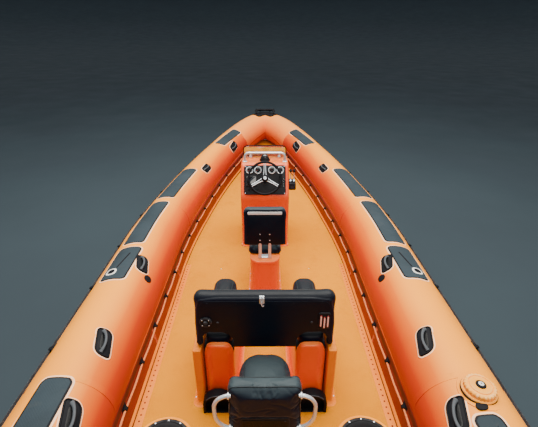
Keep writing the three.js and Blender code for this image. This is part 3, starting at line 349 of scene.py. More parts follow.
class Graph:
    """A new material with its principled shader and a few wiring helpers."""

    def __init__(self, name):
        self.material = bpy.data.materials.new(name)
        self.material.use_nodes = True
        self.nodes = self.material.node_tree.nodes
        self.links = self.material.node_tree.links
        self.shader = self.nodes["Principled BSDF"]

    def set(self, socket, value):
        if isinstance(value, bpy.types.NodeSocket):
            self.links.new(value, socket)
        elif value is not None:
            socket.default_value = value

    def node(self, kind, inputs=(), **settings):
        made = self.nodes.new("ShaderNode" + kind)
        for key, value in settings.items():
            setattr(made, key, value)
        for key, value in dict(inputs).items():
            self.set(made.inputs[key], value)
        return made

    def place(self):
        return self.node("TexCoord").outputs["Object"]

    def noise(self, size, detail=4.0, roughness=0.55, place=None, stretch=None):
        place = place or self.place()
        if stretch:
            place = self.node("Mapping", {"Vector": place, "Scale": stretch}).outputs["Vector"]
        return self.node("TexNoise", {
            "Vector": place, "Scale": 1 / size, "Detail": detail, "Roughness": roughness,
        }).outputs["Fac"]

    def spread(self, value, low, high, to_low=0.0, to_high=1.0):
        return self.node("MapRange", {
            "Value": value, "From Min": low, "From Max": high, "To Min": to_low, "To Max": to_high,
        }).outputs["Result"]

    def times(self, first, second, operation="MULTIPLY"):
        made = self.node("Math", operation=operation)
        self.set(made.inputs[0], first)
        self.set(made.inputs[1], second)
        return made.outputs[0]

    def mix(self, share, first, second):
        made = self.node("Mix", data_type="RGBA")
        self.set(made.inputs[MIX_SHARE], share)
        self.set(made.inputs[MIX_FIRST_COLOUR], first)
        self.set(made.inputs[MIX_SECOND_COLOUR], second)
        return made.outputs[MIX_COLOUR]

    def height(self):
        normal = self.node("NewGeometry").outputs["Normal"]
        return self.node("SeparateXYZ", {"Vector": normal}).outputs["Z"]

    def open_sky(self, lean):
        """How far the surface faces up, with more for faces turned away from the boat's middle."""
        normal = self.node("NewGeometry").outputs["Normal"]
        facing_x = self.node("SeparateXYZ", {"Vector": normal}).outputs["X"]
        place_x = self.node("SeparateXYZ", {"Vector": self.place()}).outputs["X"]
        outboard = self.times(facing_x, self.times(place_x, 0.0, "SIGN"))
        outboard = self.times(self.times(outboard, 0.0, "MAXIMUM"), lean)
        return self.times(self.height(), outboard, "ADD")

    def relief(self, height, strength, distance, under=None):
        inputs = {"Height": height, "Strength": strength, "Distance": distance}
        if under is not None:
            inputs["Normal"] = under
        return self.node("Bump", inputs).outputs["Normal"]


def grit(graph, size):
    """Small raised cells, as on a non-slip or pebbled surface."""
    cells = graph.node("TexVoronoi", {"Vector": graph.place(), "Scale": 1 / size}).outputs["Distance"]
    return graph.spread(cells, 0.1, 0.6, 1.0, 0.0)


def weave(graph, size):
    """Crossing threads one size apart."""
    waves = []
    for axis in ("X", "Y", "Z"):
        waves.append(graph.node("TexWave", {
            "Vector": graph.place(), "Scale": WAVE_SCALE / size, "Distortion": 0.6, "Detail": 1.0,
        }, bands_direction=axis).outputs["Fac"])
    return graph.times(graph.times(waves[0], waves[1]), waves[2], "MAXIMUM")


def diamonds(graph, size):
    """Ridges crossing on the slant, as on a tread."""
    waves = []
    for slope in (1.0, -1.0):
        turned = graph.node("Mapping", {
            "Vector": graph.place(), "Rotation": (0, 0, slope * math.pi / 4),
        }).outputs["Vector"]
        waves.append(graph.node("TexWave", {"Vector": turned, "Scale": WAVE_SCALE / size}).outputs["Fac"])
    return graph.times(waves[0], waves[1], "MAXIMUM")


GRAINS = {
    "noise": lambda graph, size: graph.noise(size, 3.0),
    "grit": grit,
    "weave": weave,
    "diamonds": diamonds,
}


# Upward slope at which the top tone is fully reached
TOP_TONE_FULL = 0.95


def surface(name, colour, rough, second=None, second_size=0.6, top_tone=None, top_tone_from=0.2,
            grime=None, grime_share=0.35, grime_size=0.25, worn=None, spread=0.07, grains=(), metallic=0.0,
            coat=0.0, sheen=0.0, specular=0.12, upward=(), outboard=0.0):
    """A finish of two tones in broad patches, a top tone on faces turned up, worn at edges, grimed and
    grained.

    Colours are 0 to 255 and sizes metres. Each upward row is painted light and shade: it has the slopes from
    and to which its tone comes in, and outboard leans those slopes away from the boat's middle.
    """
    graph = Graph(name)
    tone = linear(*colour)
    broad = graph.noise(second_size)
    if second:
        tone = graph.mix(graph.spread(broad, 0.35, 0.68), tone, linear(*second))
    if top_tone:
        patchy = graph.spread(graph.noise(second_size * 0.7), 0.2, 0.7, 0.8, 1.0)
        share = graph.times(graph.spread(graph.height(), top_tone_from, TOP_TONE_FULL), patchy)
        tone = graph.mix(share, tone, linear(*top_tone))
    # Painted light and shade: lighter tones on faces turned up and outboard, the base colour on faces turned
    # down and inboard
    for low, high, lit_tone in upward:
        lit_patchiness = graph.spread(graph.noise(second_size * 0.5), 0.25, 0.75, 0.86, 1.0)
        slope = graph.open_sky(outboard) if outboard else graph.height()
        share = graph.times(graph.spread(slope, low, high), lit_patchiness)
        tone = graph.mix(share, tone, linear(*lit_tone))
    if worn:
        edge = graph.spread(graph.node("NewGeometry").outputs["Pointiness"], 0.52, 0.6)
        edge = graph.times(edge, graph.spread(graph.noise(0.03), 0.4, 0.65))
        tone = graph.mix(edge, tone, linear(*worn))
    if grime:
        fine = graph.noise(grime_size, 7.0, 0.65)
        share = graph.spread(fine, 0.62 - 0.3 * grime_share, 0.95 - 0.3 * grime_share, 0.0, grime_share)
        tone = graph.mix(share, tone, linear(*grime))
    graph.set(graph.shader.inputs["Base Color"], tone)
    gloss = graph.spread(graph.noise(second_size * 0.35, 5.0), 0.3, 0.7, rough - spread, rough + spread)
    graph.set(graph.shader.inputs["Roughness"], gloss)
    under = None
    for kind, size, strength, distance in grains:
        under = graph.relief(GRAINS[kind](graph, size), strength, distance, under)
    if under is not None:
        graph.set(graph.shader.inputs["Normal"], under)
    graph.shader.inputs["Metallic"].default_value = metallic
    graph.shader.inputs["Coat Weight"].default_value = coat
    graph.shader.inputs["Coat Roughness"].default_value = 0.12
    graph.shader.inputs["Sheen Weight"].default_value = sheen
    graph.shader.inputs["Sheen Roughness"].default_value = 0.4
    graph.shader.inputs["Specular IOR Level"].default_value = specular
    return graph.material


# Painted sky light on the tube fabric, over a dark red base that is painted shade: from and to which upward
# slope each tone comes in, and the tone reached there
TUBE_PAINTED_LIGHT = ((0.1, 0.55, (200, 62, 8)), (0.45, 0.82, (226, 112, 14)), (0.78, 1.0, (250, 158, 34)))

tube_orange = surface(
    "tube_orange", (166, 38, 26), 0.42, second=(172, 44, 24), second_size=0.9, upward=TUBE_PAINTED_LIGHT,
    outboard=0.42, grime=(120, 60, 30), grime_share=0.12, grime_size=0.35,
    grains=(("weave", 0.0016, 0.05, 0.0004), ("noise", 0.05, 0.12, 0.002)),
)
# The bow tubes' copy of the fabric, with lighter painted light and shade than the side tubes
BOW_PAINTED_LIGHT = ((-0.5, 0.1, (218, 98, 36)), (0.0, 0.5, (234, 126, 50)), (0.55, 1.0, (246, 154, 62)))
bow_orange_lit = surface(
    "bow_orange_lit", (186, 54, 26), 0.42, second=(192, 60, 28), second_size=0.9, upward=BOW_PAINTED_LIGHT, outboard=0.3,
    grime=(120, 60, 30), grime_share=0.12, grime_size=0.35,
    grains=(("weave", 0.0016, 0.05, 0.0004), ("noise", 0.05, 0.12, 0.002)),
)
# Seam tape carries the same painted sky light and shade as the tubes
tape_orange = surface(
    "tape_orange", (172, 44, 24), 0.46, second=(180, 50, 24), second_size=0.4, upward=TUBE_PAINTED_LIGHT,
    outboard=0.42, grime=(110, 52, 28), grime_share=0.26, grime_size=0.08,
    grains=(("weave", 0.0016, 0.06, 0.0004), ("noise", 0.03, 0.15, 0.001)),
)
hull_orange = surface(
    "hull_orange", (200, 58, 10), 0.26, second=(206, 66, 14), second_size=1.2, grime=(110, 56, 30),
    grime_share=0.3, grime_size=0.5, coat=0.35, specular=0.4, grains=(("noise", 0.12, 0.05, 0.002),),
)
deck_orange = surface(
    "deck_orange", (204, 126, 0), 0.65, second=(212, 134, 0), second_size=0.5, grime=(150, 66, 4),
    grime_share=0.3, grime_size=0.16, specular=0.0,
    grains=(("grit", 0.0035, 0.35, 0.0012), ("noise", 0.02, 0.2, 0.001)),
)
deck_edge = surface(
    "deck_edge", (226, 120, 22), 0.5, second=(232, 130, 30), second_size=0.3, grime=(150, 60, 24),
    grime_share=0.3, grime_size=0.08, grains=(("noise", 0.003, 0.2, 0.0004),),
)
# Its upward tone is a painted highlight on the moulding's tops
pod_orange = surface(
    "pod_orange", (232, 74, 16), 0.33, second=(238, 86, 24), second_size=0.5, worn=(250, 176, 100),
    upward=((0.75, 1.0, (236, 116, 40)),), grime=(120, 44, 20), grime_share=0.26, grime_size=0.12, coat=0.12,
    specular=0.25,
    grains=(("noise", 0.004, 0.12, 0.0004), ("noise", 0.06, 0.08, 0.002)),
)
# Trunking face: its dark red base is painted shade on the face under the tube
trunk_painted_shade = surface(
    "trunk_painted_shade", (122, 32, 26), 0.42, second=(132, 38, 30), second_size=0.4, worn=(226, 120, 80),
    grime=(90, 34, 28), grime_share=0.4, grime_size=0.09, coat=0.1,
    grains=(("noise", 0.004, 0.1, 0.0004), ("noise", 0.05, 0.1, 0.002)),
)
# Brown for the upper trunking face: painted shadow of the tube, and dirt
trunk_shadow_and_grime = surface(
    "trunk_shadow_and_grime", (84, 28, 20), 0.5, second=(96, 34, 24), second_size=0.2, grime=(60, 28, 22),
    grime_share=0.4, grime_size=0.06, grains=(("noise", 0.004, 0.15, 0.0004),),
)
orange_plastic = surface(
    "orange_plastic", (244, 160, 48), 0.4, second=(250, 172, 62), second_size=0.1, worn=(255, 226, 180),
    grime=(120, 56, 26), grime_share=0.3, grime_size=0.03, grains=(("noise", 0.003, 0.2, 0.0003),),
)
black_plastic = surface(
    "black_plastic", (18, 19, 22), 0.5, second=(26, 27, 30), second_size=0.2, worn=(80, 82, 86),
    grime=(76, 72, 66), grime_share=0.18, grime_size=0.05, grains=(("noise", 0.0014, 0.35, 0.0003),),
)
black_rubber = surface(
    "black_rubber", (9, 9, 13), 0.6, second=(14, 14, 19), second_size=0.3,
    top_tone=(17, 17, 22), grime=(70, 60, 58), grime_share=0.14, grime_size=0.09,
    grains=(("noise", 0.002, 0.3, 0.0004), ("noise", 0.03, 0.15, 0.001)),
)
pad_grey = surface(
    "pad_grey", (42, 52, 58), 0.72, second=(50, 61, 68), second_size=0.35,
    grime=(92, 84, 76), grime_share=0.22, grime_size=0.07,
    grains=(("diamonds", 0.011, 0.5, 0.0014), ("noise", 0.0015, 0.3, 0.0003)),
)
black_rope = surface(
    "black_rope", (26, 26, 29), 0.82, second=(44, 44, 48), second_size=0.05, grime=(92, 88, 80),
    grime_share=0.3, grime_size=0.03, sheen=0.25, grains=(("noise", 0.0012, 0.6, 0.0006),),
)
red_rope = surface(
    "red_rope", (190, 74, 34), 0.8, second=(204, 94, 46), second_size=0.04, top_tone=(228, 132, 74),
    grime=(60, 22, 20), grime_share=0.3, grime_size=0.03, sheen=0.3, grains=(("noise", 0.0012, 0.6, 0.0006),),
)
# Black seat vinyl: its lighter top tone is a painted reflection of the sky on top faces, and its blue tint
# offsets the orange light bounced onto it
seat_black = surface(
    "seat_black", (3, 15, 32), 0.47, second=(6, 19, 36), second_size=0.16, top_tone=(55, 66, 70),
    top_tone_from=0.3, grime=(70, 74, 74), grime_share=0.16, grime_size=0.06, sheen=0.08,
    grains=(("grit", 0.0022, 0.22, 0.0004), ("noise", 0.03, 0.25, 0.0016)),
)
# A copy of the seat vinyl for the crew cushions and backrest, with a darker painted top reflection
crew_black = surface(
    "crew_black", (7, 13, 28), 0.45, second=(10, 16, 32), second_size=0.2, top_tone=(32, 35, 39), top_tone_from=0.3,
    grime=(70, 74, 74), grime_share=0.14, grime_size=0.06, sheen=0.06,
    grains=(("grit", 0.0022, 0.22, 0.0004), ("noise", 0.03, 0.25, 0.0016)),
)
seat_piping = surface(
    "seat_piping", (12, 13, 16), 0.42, second=(20, 22, 24), second_size=0.05, top_tone=(48, 54, 57),
    grains=(("noise", 0.0012, 0.3, 0.0002),),
)
# Seat shell: tinted blue to offset the orange light bounced onto it
seat_shell = surface(
    "seat_shell", (5, 15, 27), 0.42, second=(7, 18, 31), second_size=0.3, worn=(34, 38, 44),
    grime=(50, 48, 48), grime_share=0.12, grime_size=0.1, grains=(("noise", 0.0016, 0.3, 0.0003),),
)
stainless = surface(
    "stainless", (212, 220, 226), 0.24, second=(202, 210, 216), second_size=0.2, spread=0.05,
    grime=(150, 144, 136), grime_share=0.08, grime_size=0.05, metallic=0.5, specular=0.5,
    grains=(("noise", 0.0008, 0.1, 0.0001),),
)
black_paint = surface(
    "black_paint", (22, 23, 26), 0.34, second=(32, 33, 37), second_size=0.2, worn=(120, 124, 128),
    grime=(88, 86, 82), grime_share=0.25, grime_size=0.08, coat=0.15,
    grains=(("noise", 0.0025, 0.2, 0.0003),),
)
bag_fabric = surface(
    "bag_fabric", (214, 70, 22), 0.72, second=(196, 60, 20), second_size=0.25, top_tone=(240, 132, 76),
    grime=(96, 56, 40), grime_share=0.35, grime_size=0.08, sheen=0.25,
    grains=(("weave", 0.0022, 0.45, 0.0006), ("noise", 0.05, 0.4, 0.004)),
)
bag_strap = surface(
    "bag_strap", (28, 28, 31), 0.75, second=(44, 44, 48), second_size=0.03, top_tone=(70, 72, 76), sheen=0.3,
    grains=(("weave", 0.0018, 0.6, 0.0006),),
)
white_plastic = surface(
    "white_plastic", (222, 222, 216), 0.38, second=(206, 205, 198), second_size=0.1, grime=(128, 118, 104),
    grime_share=0.3, grime_size=0.05, grains=(("noise", 0.002, 0.12, 0.0002),),
)
engine_paint = surface(
    "engine_paint", (30, 34, 40), 0.27, second=(38, 42, 48), second_size=0.25, worn=(120, 124, 130),
    grime=(104, 106, 104), grime_share=0.25, grime_size=0.12, coat=0.5, specular=0.5,
    grains=(("noise", 0.0012, 0.08, 0.0002),),
)
bare_alloy = surface(
    "bare_alloy", (128, 132, 134), 0.46, second=(98, 100, 102), second_size=0.03, grime=(70, 66, 60),
    grime_share=0.4, grime_size=0.02, metallic=0.85, grains=(("noise", 0.003, 0.4, 0.0005),),
)
dark_red = surface(
    "dark_red", (96, 20, 18), 0.5, second=(112, 26, 22), second_size=0.05,
    grains=(("noise", 0.002, 0.2, 0.0003),),
)
# Pale edging: a painted highlight round the pads and handles
painted_pale_halo = surface(
    "painted_pale_halo", (255, 204, 164), 0.5, second=(252, 194, 150), second_size=0.1,
    grains=(("noise", 0.002, 0.2, 0.0003),),
)
lens_red = surface("lens_red", (150, 22, 20), 0.2, second=(120, 14, 14), second_size=0.01, coat=0.5,
                   specular=0.5)
lens_pale = surface("lens_pale", (255, 206, 188), 0.3, second=(250, 190, 170), second_size=0.01)
dial_black = surface("dial_black", (14, 15, 17), 0.3, second=(20, 21, 23), second_size=0.02)
dial_white = surface("dial_white", (226, 228, 226), 0.45, second=(212, 214, 212), second_size=0.02)
glass_dark = surface("glass_dark", (10, 14, 18), 0.07, second=(14, 20, 26), second_size=0.05, spread=0.03,
                     coat=1.0, specular=0.5)
bottom_paint = surface(
    "bottom_paint", (26, 30, 36), 0.6, second=(38, 42, 48), second_size=0.5, grime=(96, 100, 92),
    grime_share=0.4, grime_size=0.12, grains=(("noise", 0.004, 0.2, 0.0005),),
)


def clear_finish(name, tint, rough):
    graph = Graph(name)
    smear = graph.noise(0.09, 5.0)
    graph.set(graph.shader.inputs["Base Color"], graph.mix(graph.spread(smear, 0.4, 0.7), linear(*tint),
                                                           linear(236, 240, 240)))
    graph.set(graph.shader.inputs["Roughness"], graph.spread(smear, 0.45, 0.75, rough, rough + 0.12))
    graph.shader.inputs["Transmission Weight"].default_value = 0.92
    graph.shader.inputs["IOR"].default_value = 1.46
    return graph.material


clear_screen = clear_finish("clear_screen", (206, 222, 226), 0.03)


# Collar's centreline, sampled by distance from the starboard tail round the bow to the port one

def collar_line():
    plan = np.radians(np.linspace(0, 90, 1441))
    x = TUBE_HALF_SPAN * np.clip(np.cos(plan), 0, None) ** PLAN_POWER_X
    y = COLLAR_BEND_Y + (COLLAR_BOW_Y - COLLAR_BEND_Y) * np.sin(plan) ** PLAN_POWER_Y
    straight = np.arange(TAIL_END_Y, COLLAR_BEND_Y, 0.01)
    x = np.concatenate([np.full(len(straight), TUBE_HALF_SPAN), x])
    y = np.concatenate([straight, y])
    z = TUBE_Z + SHEER_RISE * np.clip((y - SHEER_START_Y) / (COLLAR_BOW_Y - SHEER_START_Y), 0, None) ** 4
    half = np.column_stack([x, y, z])
    return resampled(np.vstack([half, half[-2::-1] * np.array([-1, 1, 1])]), 0.01)


LINE = collar_line()
LINE_S = np.concatenate([[0], np.cumsum(np.linalg.norm(np.diff(LINE, axis=0), axis=1))])
BOW_S = LINE_S[-1] / 2
LINE_ALONG = np.gradient(LINE, axis=0)
LINE_ALONG /= np.linalg.norm(LINE_ALONG, axis=1)[:, None]
LINE_OUT = np.column_stack([LINE_ALONG[:, 1], -LINE_ALONG[:, 0], np.zeros(len(LINE))])
LINE_OUT /= np.linalg.norm(LINE_OUT, axis=1)[:, None]
LINE_UP = np.cross(LINE_OUT, LINE_ALONG)


def tube_radius(y):
    ahead = np.clip((y - COLLAR_BEND_Y) / (COLLAR_BOW_Y - COLLAR_BEND_Y), 0, 1)
    aft = np.clip(TUBE_SHOULDER_Y - y, 0, None)
    taper = TAIL_TAPER_SQUARE * aft ** 2 + TAIL_TAPER_CUBE * aft ** 3
    return TUBE_RADIUS + (TUBE_BOW_RADIUS - TUBE_RADIUS) * ahead - taper


def on_line(values, s):
    return np.stack([np.interp(s, LINE_S, values[:, k]) for k in range(3)], axis=-1)


def s_at(y):
    """Distance along the collar at a place along the starboard half."""
    half = len(LINE) // 2
    return np.interp(y, LINE[:half, 1], LINE_S[:half])


def plan_s(angle):
    """Distance along the collar at an angle of the bow's plan curve."""
    y = COLLAR_BEND_Y + (COLLAR_BOW_Y - COLLAR_BEND_Y) * math.sin(math.radians(angle)) ** PLAN_POWER_Y
    return s_at(y)


BOW_SEAM_S = plan_s(BOW_SEAM_ANGLE)


def skin(s, angle, lift=0.0, side=1):
    """Points at a distance along the collar and an angle from the tube's top, outboard positive."""
    s, angle, lift = np.broadcast_arrays(np.asarray(s, float), np.radians(angle), lift)
    centre = on_line(LINE, s)
    reach = (tube_radius(centre[..., 1]) + lift)[..., None]
    outboard = on_line(LINE_OUT, s)
    upward = on_line(LINE_UP, s)
    points = centre + reach * (np.sin(angle)[..., None] * outboard + np.cos(angle)[..., None] * upward)
    return points * np.array([side, 1, 1])


def tube_s_values(start, end, step):
    return np.linspace(start, end, max(3, int(round((end - start) / step)) + 1))


def tube_skin(s_values):
    """A tube with faint folds, fuller between its seams."""
    angle = np.linspace(-180, 180, TUBE_SIDES, endpoint=False)
    s, a = np.meshgrid(s_values, angle, indexing="ij")
    lift = 0.0012 * np.sin(3.1 * s + 0.05 * a) + 0.0008 * np.sin(7.7 * s - 0.09 * a)
    return skin(s, a, lift)


def tubes():
    for name, side in SIDES:
        shape = Shape()
        rings = tube_skin(tube_s_values(0.0, BOW_SEAM_S - 0.0005, 0.05))
        cap = [rings[0].mean(axis=0) + (rings[0] - rings[0].mean(axis=0)) * share - np.array([0, back, 0])
               for share, back in ((0.3, 0.03), (0.62, 0.025), (0.88, 0.013))]
        shape.add(moved(loft(np.vstack([cap, rings])), mirror=side < 0))
        piece(f"tube_{name}_skin", shape, [tube_orange], replaces=(f"tube_{name}",))
    shape = Shape()
    shape.add(loft(tube_skin(tube_s_values(BOW_SEAM_S + 0.0005, 2 * BOW_S - BOW_SEAM_S - 0.0005, 0.05))))
    piece("tube_bow_skin", shape, [bow_orange_lit], replaces=("tube_bow",))


tubes()


def patch(s0, s1, inner, outer, thick=0.003, corner=0.03, edge=0.003, side=1, step=0.03,
          notch=0.0, arc_step=0.03):
    """A patch glued on the tube between two distances. Inner and outer are angles, aft and forward.

    A notch cuts a V that deep into the aft end.
    """
    inner = np.broadcast_to(np.asarray(inner, float), (2,))
    outer = np.broadcast_to(np.asarray(outer, float), (2,))
    radius = float(tube_radius(on_line(LINE, np.array([(s0 + s1) / 2]))[0, 1]))
    corner = min(corner, (s1 - s0) / 2 - edge)
    arcs = corner * (1 - np.cos(np.linspace(0, math.pi / 2, 7)))
    ends = np.concatenate([s0 + arcs, s1 - arcs, [s0 + edge, s1 - edge]])
    middle = np.arange(s0 + corner, s1 - corner, step)
    s = np.unique(np.round(np.concatenate([ends, middle]), 5))
    share = (s - s0) / (s1 - s0)
    into = np.minimum(s - s0, s1 - s)
    cut = corner - np.sqrt(np.clip(corner ** 2 - np.clip(corner - into, 0, None) ** 2, 0, None))
    low = inner[0] + (inner[1] - inner[0]) * share + np.degrees(cut / radius)
    high = outer[0] + (outer[1] - outer[0]) * share - np.degrees(cut / radius)
    width = radius * math.radians(float(np.mean(outer - inner)))
    count = max(3, int(width / arc_step))
    across = np.concatenate([[0, 0.0001], np.linspace(0, 1, count + 1)[1:-1], [0.9999, 1]])
    rim = np.degrees(edge / radius)
    columns = low[:, None] + (high - low)[:, None] * across[None, :]
    columns[:, 1] = np.minimum(low + rim, (low + high) / 2)
    columns[:, -2] = np.maximum(high - rim, (low + high) / 2)
    lift = np.full(columns.shape, thick)
    lift[:, [0, -1]] = -PATCH_SUNK
    lift[[0, -1]] = -PATCH_SUNK
    places = np.repeat(s[:, None], columns.shape[1], axis=1)
    if notch:
        vee = notch * (1 - np.abs(2 * across - 1))
        places = places + vee[None, :] * (1 - share)[:, None] ** 3
    return sheet_form(skin(places, columns, lift, side))


SEAM_Y = -1.89


def tapes():
    for name, side in SIDES:
        shape = Shape()
        for middle, half in ((s_at(-3.72), 0.022), (s_at(SEAM_Y), 0.02), (s_at(0.5), 0.02),
                             (BOW_SEAM_S, 0.026)):
            shape.add(patch(middle - half, middle + half, -176, 176, 0.0012, 0.004, 0.002, side,
                            arc_step=0.02))
        shape.add(patch(s_at(-3.68), BOW_SEAM_S - 0.05, -104, -96, 0.0012, 0.02, 0.002, side, arc_step=0.01))
        shape.add(patch(s_at(-3.7), BOW_SEAM_S - 0.05, 56, 58.4, 0.0008, 0.004, 0.002, side, arc_step=0.01))
        piece(f"seam_tape_{name}", shape, [tape_orange])
    shape = Shape()
    shape.add(patch(BOW_SEAM_S + 0.05, 2 * BOW_S - BOW_SEAM_S - 0.05, -104, -96, 0.0012, 0.02, 0.002,
                    arc_step=0.01))
    piece("seam_tape_bow", shape, [tape_orange])


tapes()


# Step pads glued on the tube tops: aft and forward end, angles of the inboard and outboard edges
STEP_PADS = (
    dict(sides=(1,), y=(-3.20, -2.52), inner=(-14, -14), outer=(18, 18), notch=0.0),
    dict(sides=(-1,), y=(-3.30, -2.78), inner=(-17, -17), outer=(18, 18), notch=0.0),
    dict(sides=(1,), y=(-2.44, -2.150), inner=(-17, -20), outer=(14, 6), notch=0.235),
    dict(sides=(-1,), y=(-2.44, -1.905), inner=(-17, -17), outer=(18, 18), notch=0.17),
    dict(sides=(1, -1), y=(-0.965, -0.497), inner=(-10, -12), outer=(30, 30), notch=0.0),
    dict(sides=(1, -1), y=(-0.409, 0.485), inner=(-8.5, -10), outer=(30, 30), notch=0.0),
    dict(sides=(1, -1), y=(0.620, 1.540), inner=(-13, -13), outer=(30, 30), notch=0.0),
    dict(sides=(1, -1), y=(2.580, 3.190), inner=(-25, -33), outer=(10.5, 0), notch=0.0),
)


def step_pads():
    for name, side in SIDES:
        pads = Shape()
        borders = Shape()
        for row in STEP_PADS:
            if side not in row["sides"]:
                continue
            s0, s1 = s_at(row["y"][0]), s_at(row["y"][1])
            inner, outer = np.array(row["inner"]), np.array(row["outer"])
            pads.add(patch(s0, s1, inner, outer, 0.0046, 0.035, 0.003, side, notch=row["notch"]))
            # A black rim round each pad: partly its black rubber edge, partly painted edge shade
            pads.add(patch(s0 - 0.009, s1 + 0.009, inner - 2, outer + 2, 0.0036, 0.040, 0.002, side,
                           notch=row["notch"]), 2)
            # Pale border round each pad: a painted highlight along its edge
            borders.add(patch(s0 - 0.022, s1 + 0.022, inner - 4.6, outer + 4.6, 0.0016, 0.050, 0.002, side,
                              notch=row["notch"]))
        # Round eye with a dark centre and a diagonal groove on the pad beside the helm
        for radius, lift, finish in ((0.045, 0.006, 3), (0.030, 0.0075, 2)):
            eye = dict(y=-0.865, angle=17.5, half=radius, wide=radius, skew=0.0)
            pads.add(plate_on_skin(eye, 0.0, lift, 0.002, side), finish)
        groove = skin(s_at(np.linspace(-0.811, -0.596, 16)), np.linspace(11, 2.6, 16), 0.0046, side)
        pads.add(sweep(groove, 0.007, 6, flat=0.3), 2)
        piece(f"step_pads_{name}", pads, [pad_grey, painted_pale_halo, black_rubber, white_plastic])
        piece(f"pad_borders_{name}", borders, [painted_pale_halo])


# Moulded rubber grab handles, longer edges fore and aft and skewed across the tube: the middle, half
# the length, half the width and how far outboard they run a metre forward, angles as distances on the skin
HANDLES = (
    dict(y=-0.720, angle=-27, half=0.100, wide=0.051, skew=0.26),
    dict(y=-1.600, angle=-29, half=0.102, wide=0.052, skew=0.26),
    dict(y=-2.120, angle=-35, half=0.104, wide=0.053, skew=0.26),
    dict(y=1.700, angle=-34, half=0.110, wide=0.055, skew=0.0),
    dict(y=2.745, angle=-53, half=0.124, wide=0.064, skew=0.1),
)


def handle_ring(row, inset, corner):
    """Distances across and along from the middle, with two corners rounder than the others."""
    half, wide = row["half"] - inset, row["wide"] - inset
    most = min(half, wide) * 0.98
    tight = min(most, max(0.004, corner * 0.6 - inset))
    loose = min(most, max(0.006, corner * 1.25 - inset))
    ring = rounded_outline(-wide, -half, wide, half, (tight, loose, tight, loose), 8)
    return np.column_stack([ring[:, 0] + row["skew"] * ring[:, 1], ring[:, 1]])


def on_skin(row, ring, lift, side):
    s = s_at(row["y"]) + ring[:, 1]
    return skin(s, row["angle"] + np.degrees(ring[:, 0] / TUBE_RADIUS), lift, side)


def plate_on_skin(row, grow, lift, edge, side):
    """A thin plate with a rounded rim that follows the tube."""
    rows = [(-grow, -0.001), (-grow, lift - edge), (edge * 0.3 - grow, lift - edge * 0.3),
            (edge - grow, lift)]
    rings = [handle_ring(row, inset, 0.045) for inset, _ in rows]
    heights = [height for _, height in rows]
    for share in (0.75, 0.5, 0.25, 0.02):
        rings.append(rings[3] * share)
        heights.append(lift)
    return loft([on_skin(row, ring, height, side) for ring, height in zip(rings, heights)])


def handle(row, side):
    """A pale base that paints a highlight round it, a rubber plate with a raised rim, and a curved grip over
    a hollow, its grey a painted highlight.
    """
    forms = [(plate_on_skin(row, 0.009, 0.0018, 0.001, side), 1),
             (plate_on_skin(row, 0.0, 0.006, 0.003, side), 0)]
    outline = np.vstack([handle_ring(row, 0.007, 0.045)] * 2)[:37]
    rim = on_skin(row, resampled(outline, 0.006)[:-1], 0.0075, side)
    forms.append((sweep(rim, 0.0045, 8, closed=True), 0))
    hollow = dict(row, half=row["half"] * 0.62, wide=row["wide"] * 0.42)
    forms.append((plate_on_skin(hollow, 0.0, 0.0072, 0.001, side), 3))
    travel = np.linspace(-1, 1, 33)
    reach = row["half"] - 0.022
    bow = -0.016 * (1 - travel ** 2) + 0.010
    grip = np.column_stack([bow + row["skew"] * travel * reach, travel * reach])
    rise = 0.006 + 0.024 * np.clip(1 - np.abs(travel) ** 3.2, 0, None)
    width = 0.009 + 0.006 * np.abs(travel) ** 4
    forms.append((sweep(on_skin(row, grip, rise, side), width, 14, flat=0.7), 2))
    return forms


# Grey rubber: the stitches' and screws' own grey, and a painted highlight on the handle grips and foot cup
# rims
grey_trim_and_highlight = surface(
    "grey_trim_and_highlight", (44, 46, 50), 0.5, second=(54, 57, 61), second_size=0.06, top_tone=(78, 82, 87),
    grime=(50, 48, 46), grime_share=0.3, grime_size=0.03, grains=(("noise", 0.0016, 0.3, 0.0003),),
)


def handles():
    for name, side in SIDES:
        shape = Shape()
        for row in HANDLES:
            for form, finish in handle(row, side):
                shape.add(form, finish)
        dot = dict(y=-0.855, angle=-47, half=0.035, wide=0.033, skew=0.0)
        shape.add(plate_on_skin(dot, 0.0, 0.004, 0.002, side), 0)
        piece(f"grab_handles_{name}", shape, [black_rubber, painted_pale_halo, grey_trim_and_highlight, dial_black])


handles()
step_pads()


# Ropes held along the collar: the lifeline on the tubes, the grab line on the trunking's face
ROPE_RADIUS = 0.007
ROPE_STANDOFF = 0.011
LIFELINE = dict(node="lifeline", start=-3.5, pitch=0.64, last=73, tail=0.06)
GRAB_LINE = dict(node="grab_line", start=-2.55, pitch=0.365, last=57.7, tail=0.06)
LIFELINE_ANGLE = 56
GRAB_HEIGHT = 0.145


def on_tube(s, lift, slide, side):
    """Points beside the lifeline's place on the tube, slid outboard by a distance."""
    return skin(s, LIFELINE_ANGLE + np.degrees(slide / TUBE_RADIUS), lift, side)


def on_trunk(s, lift, slide, side):
    """Points on the trunking's face at the grab line's height, slid down by a distance."""
    s, lift, slide = np.broadcast_arrays(np.asarray(s, float), lift, slide)
    centre = on_line(LINE, s)
    lean = math.atan2(TRUNK["foot"] - TRUNK["top"], TRUNK["height"])
    height = GRAB_HEIGHT - slide * math.cos(lean)
    reach = (height * math.tan(lean) - TRUNK["foot"] - lift * math.cos(lean))[..., None]
    rise = (height - (centre[..., 2] - deck_height(centre[..., 1])) + lift * math.sin(lean))[..., None]
    points = centre + reach * on_line(LINE_OUT, s) + rise * on_line(LINE_UP, s)
    return points * np.array([side, 1, 1])


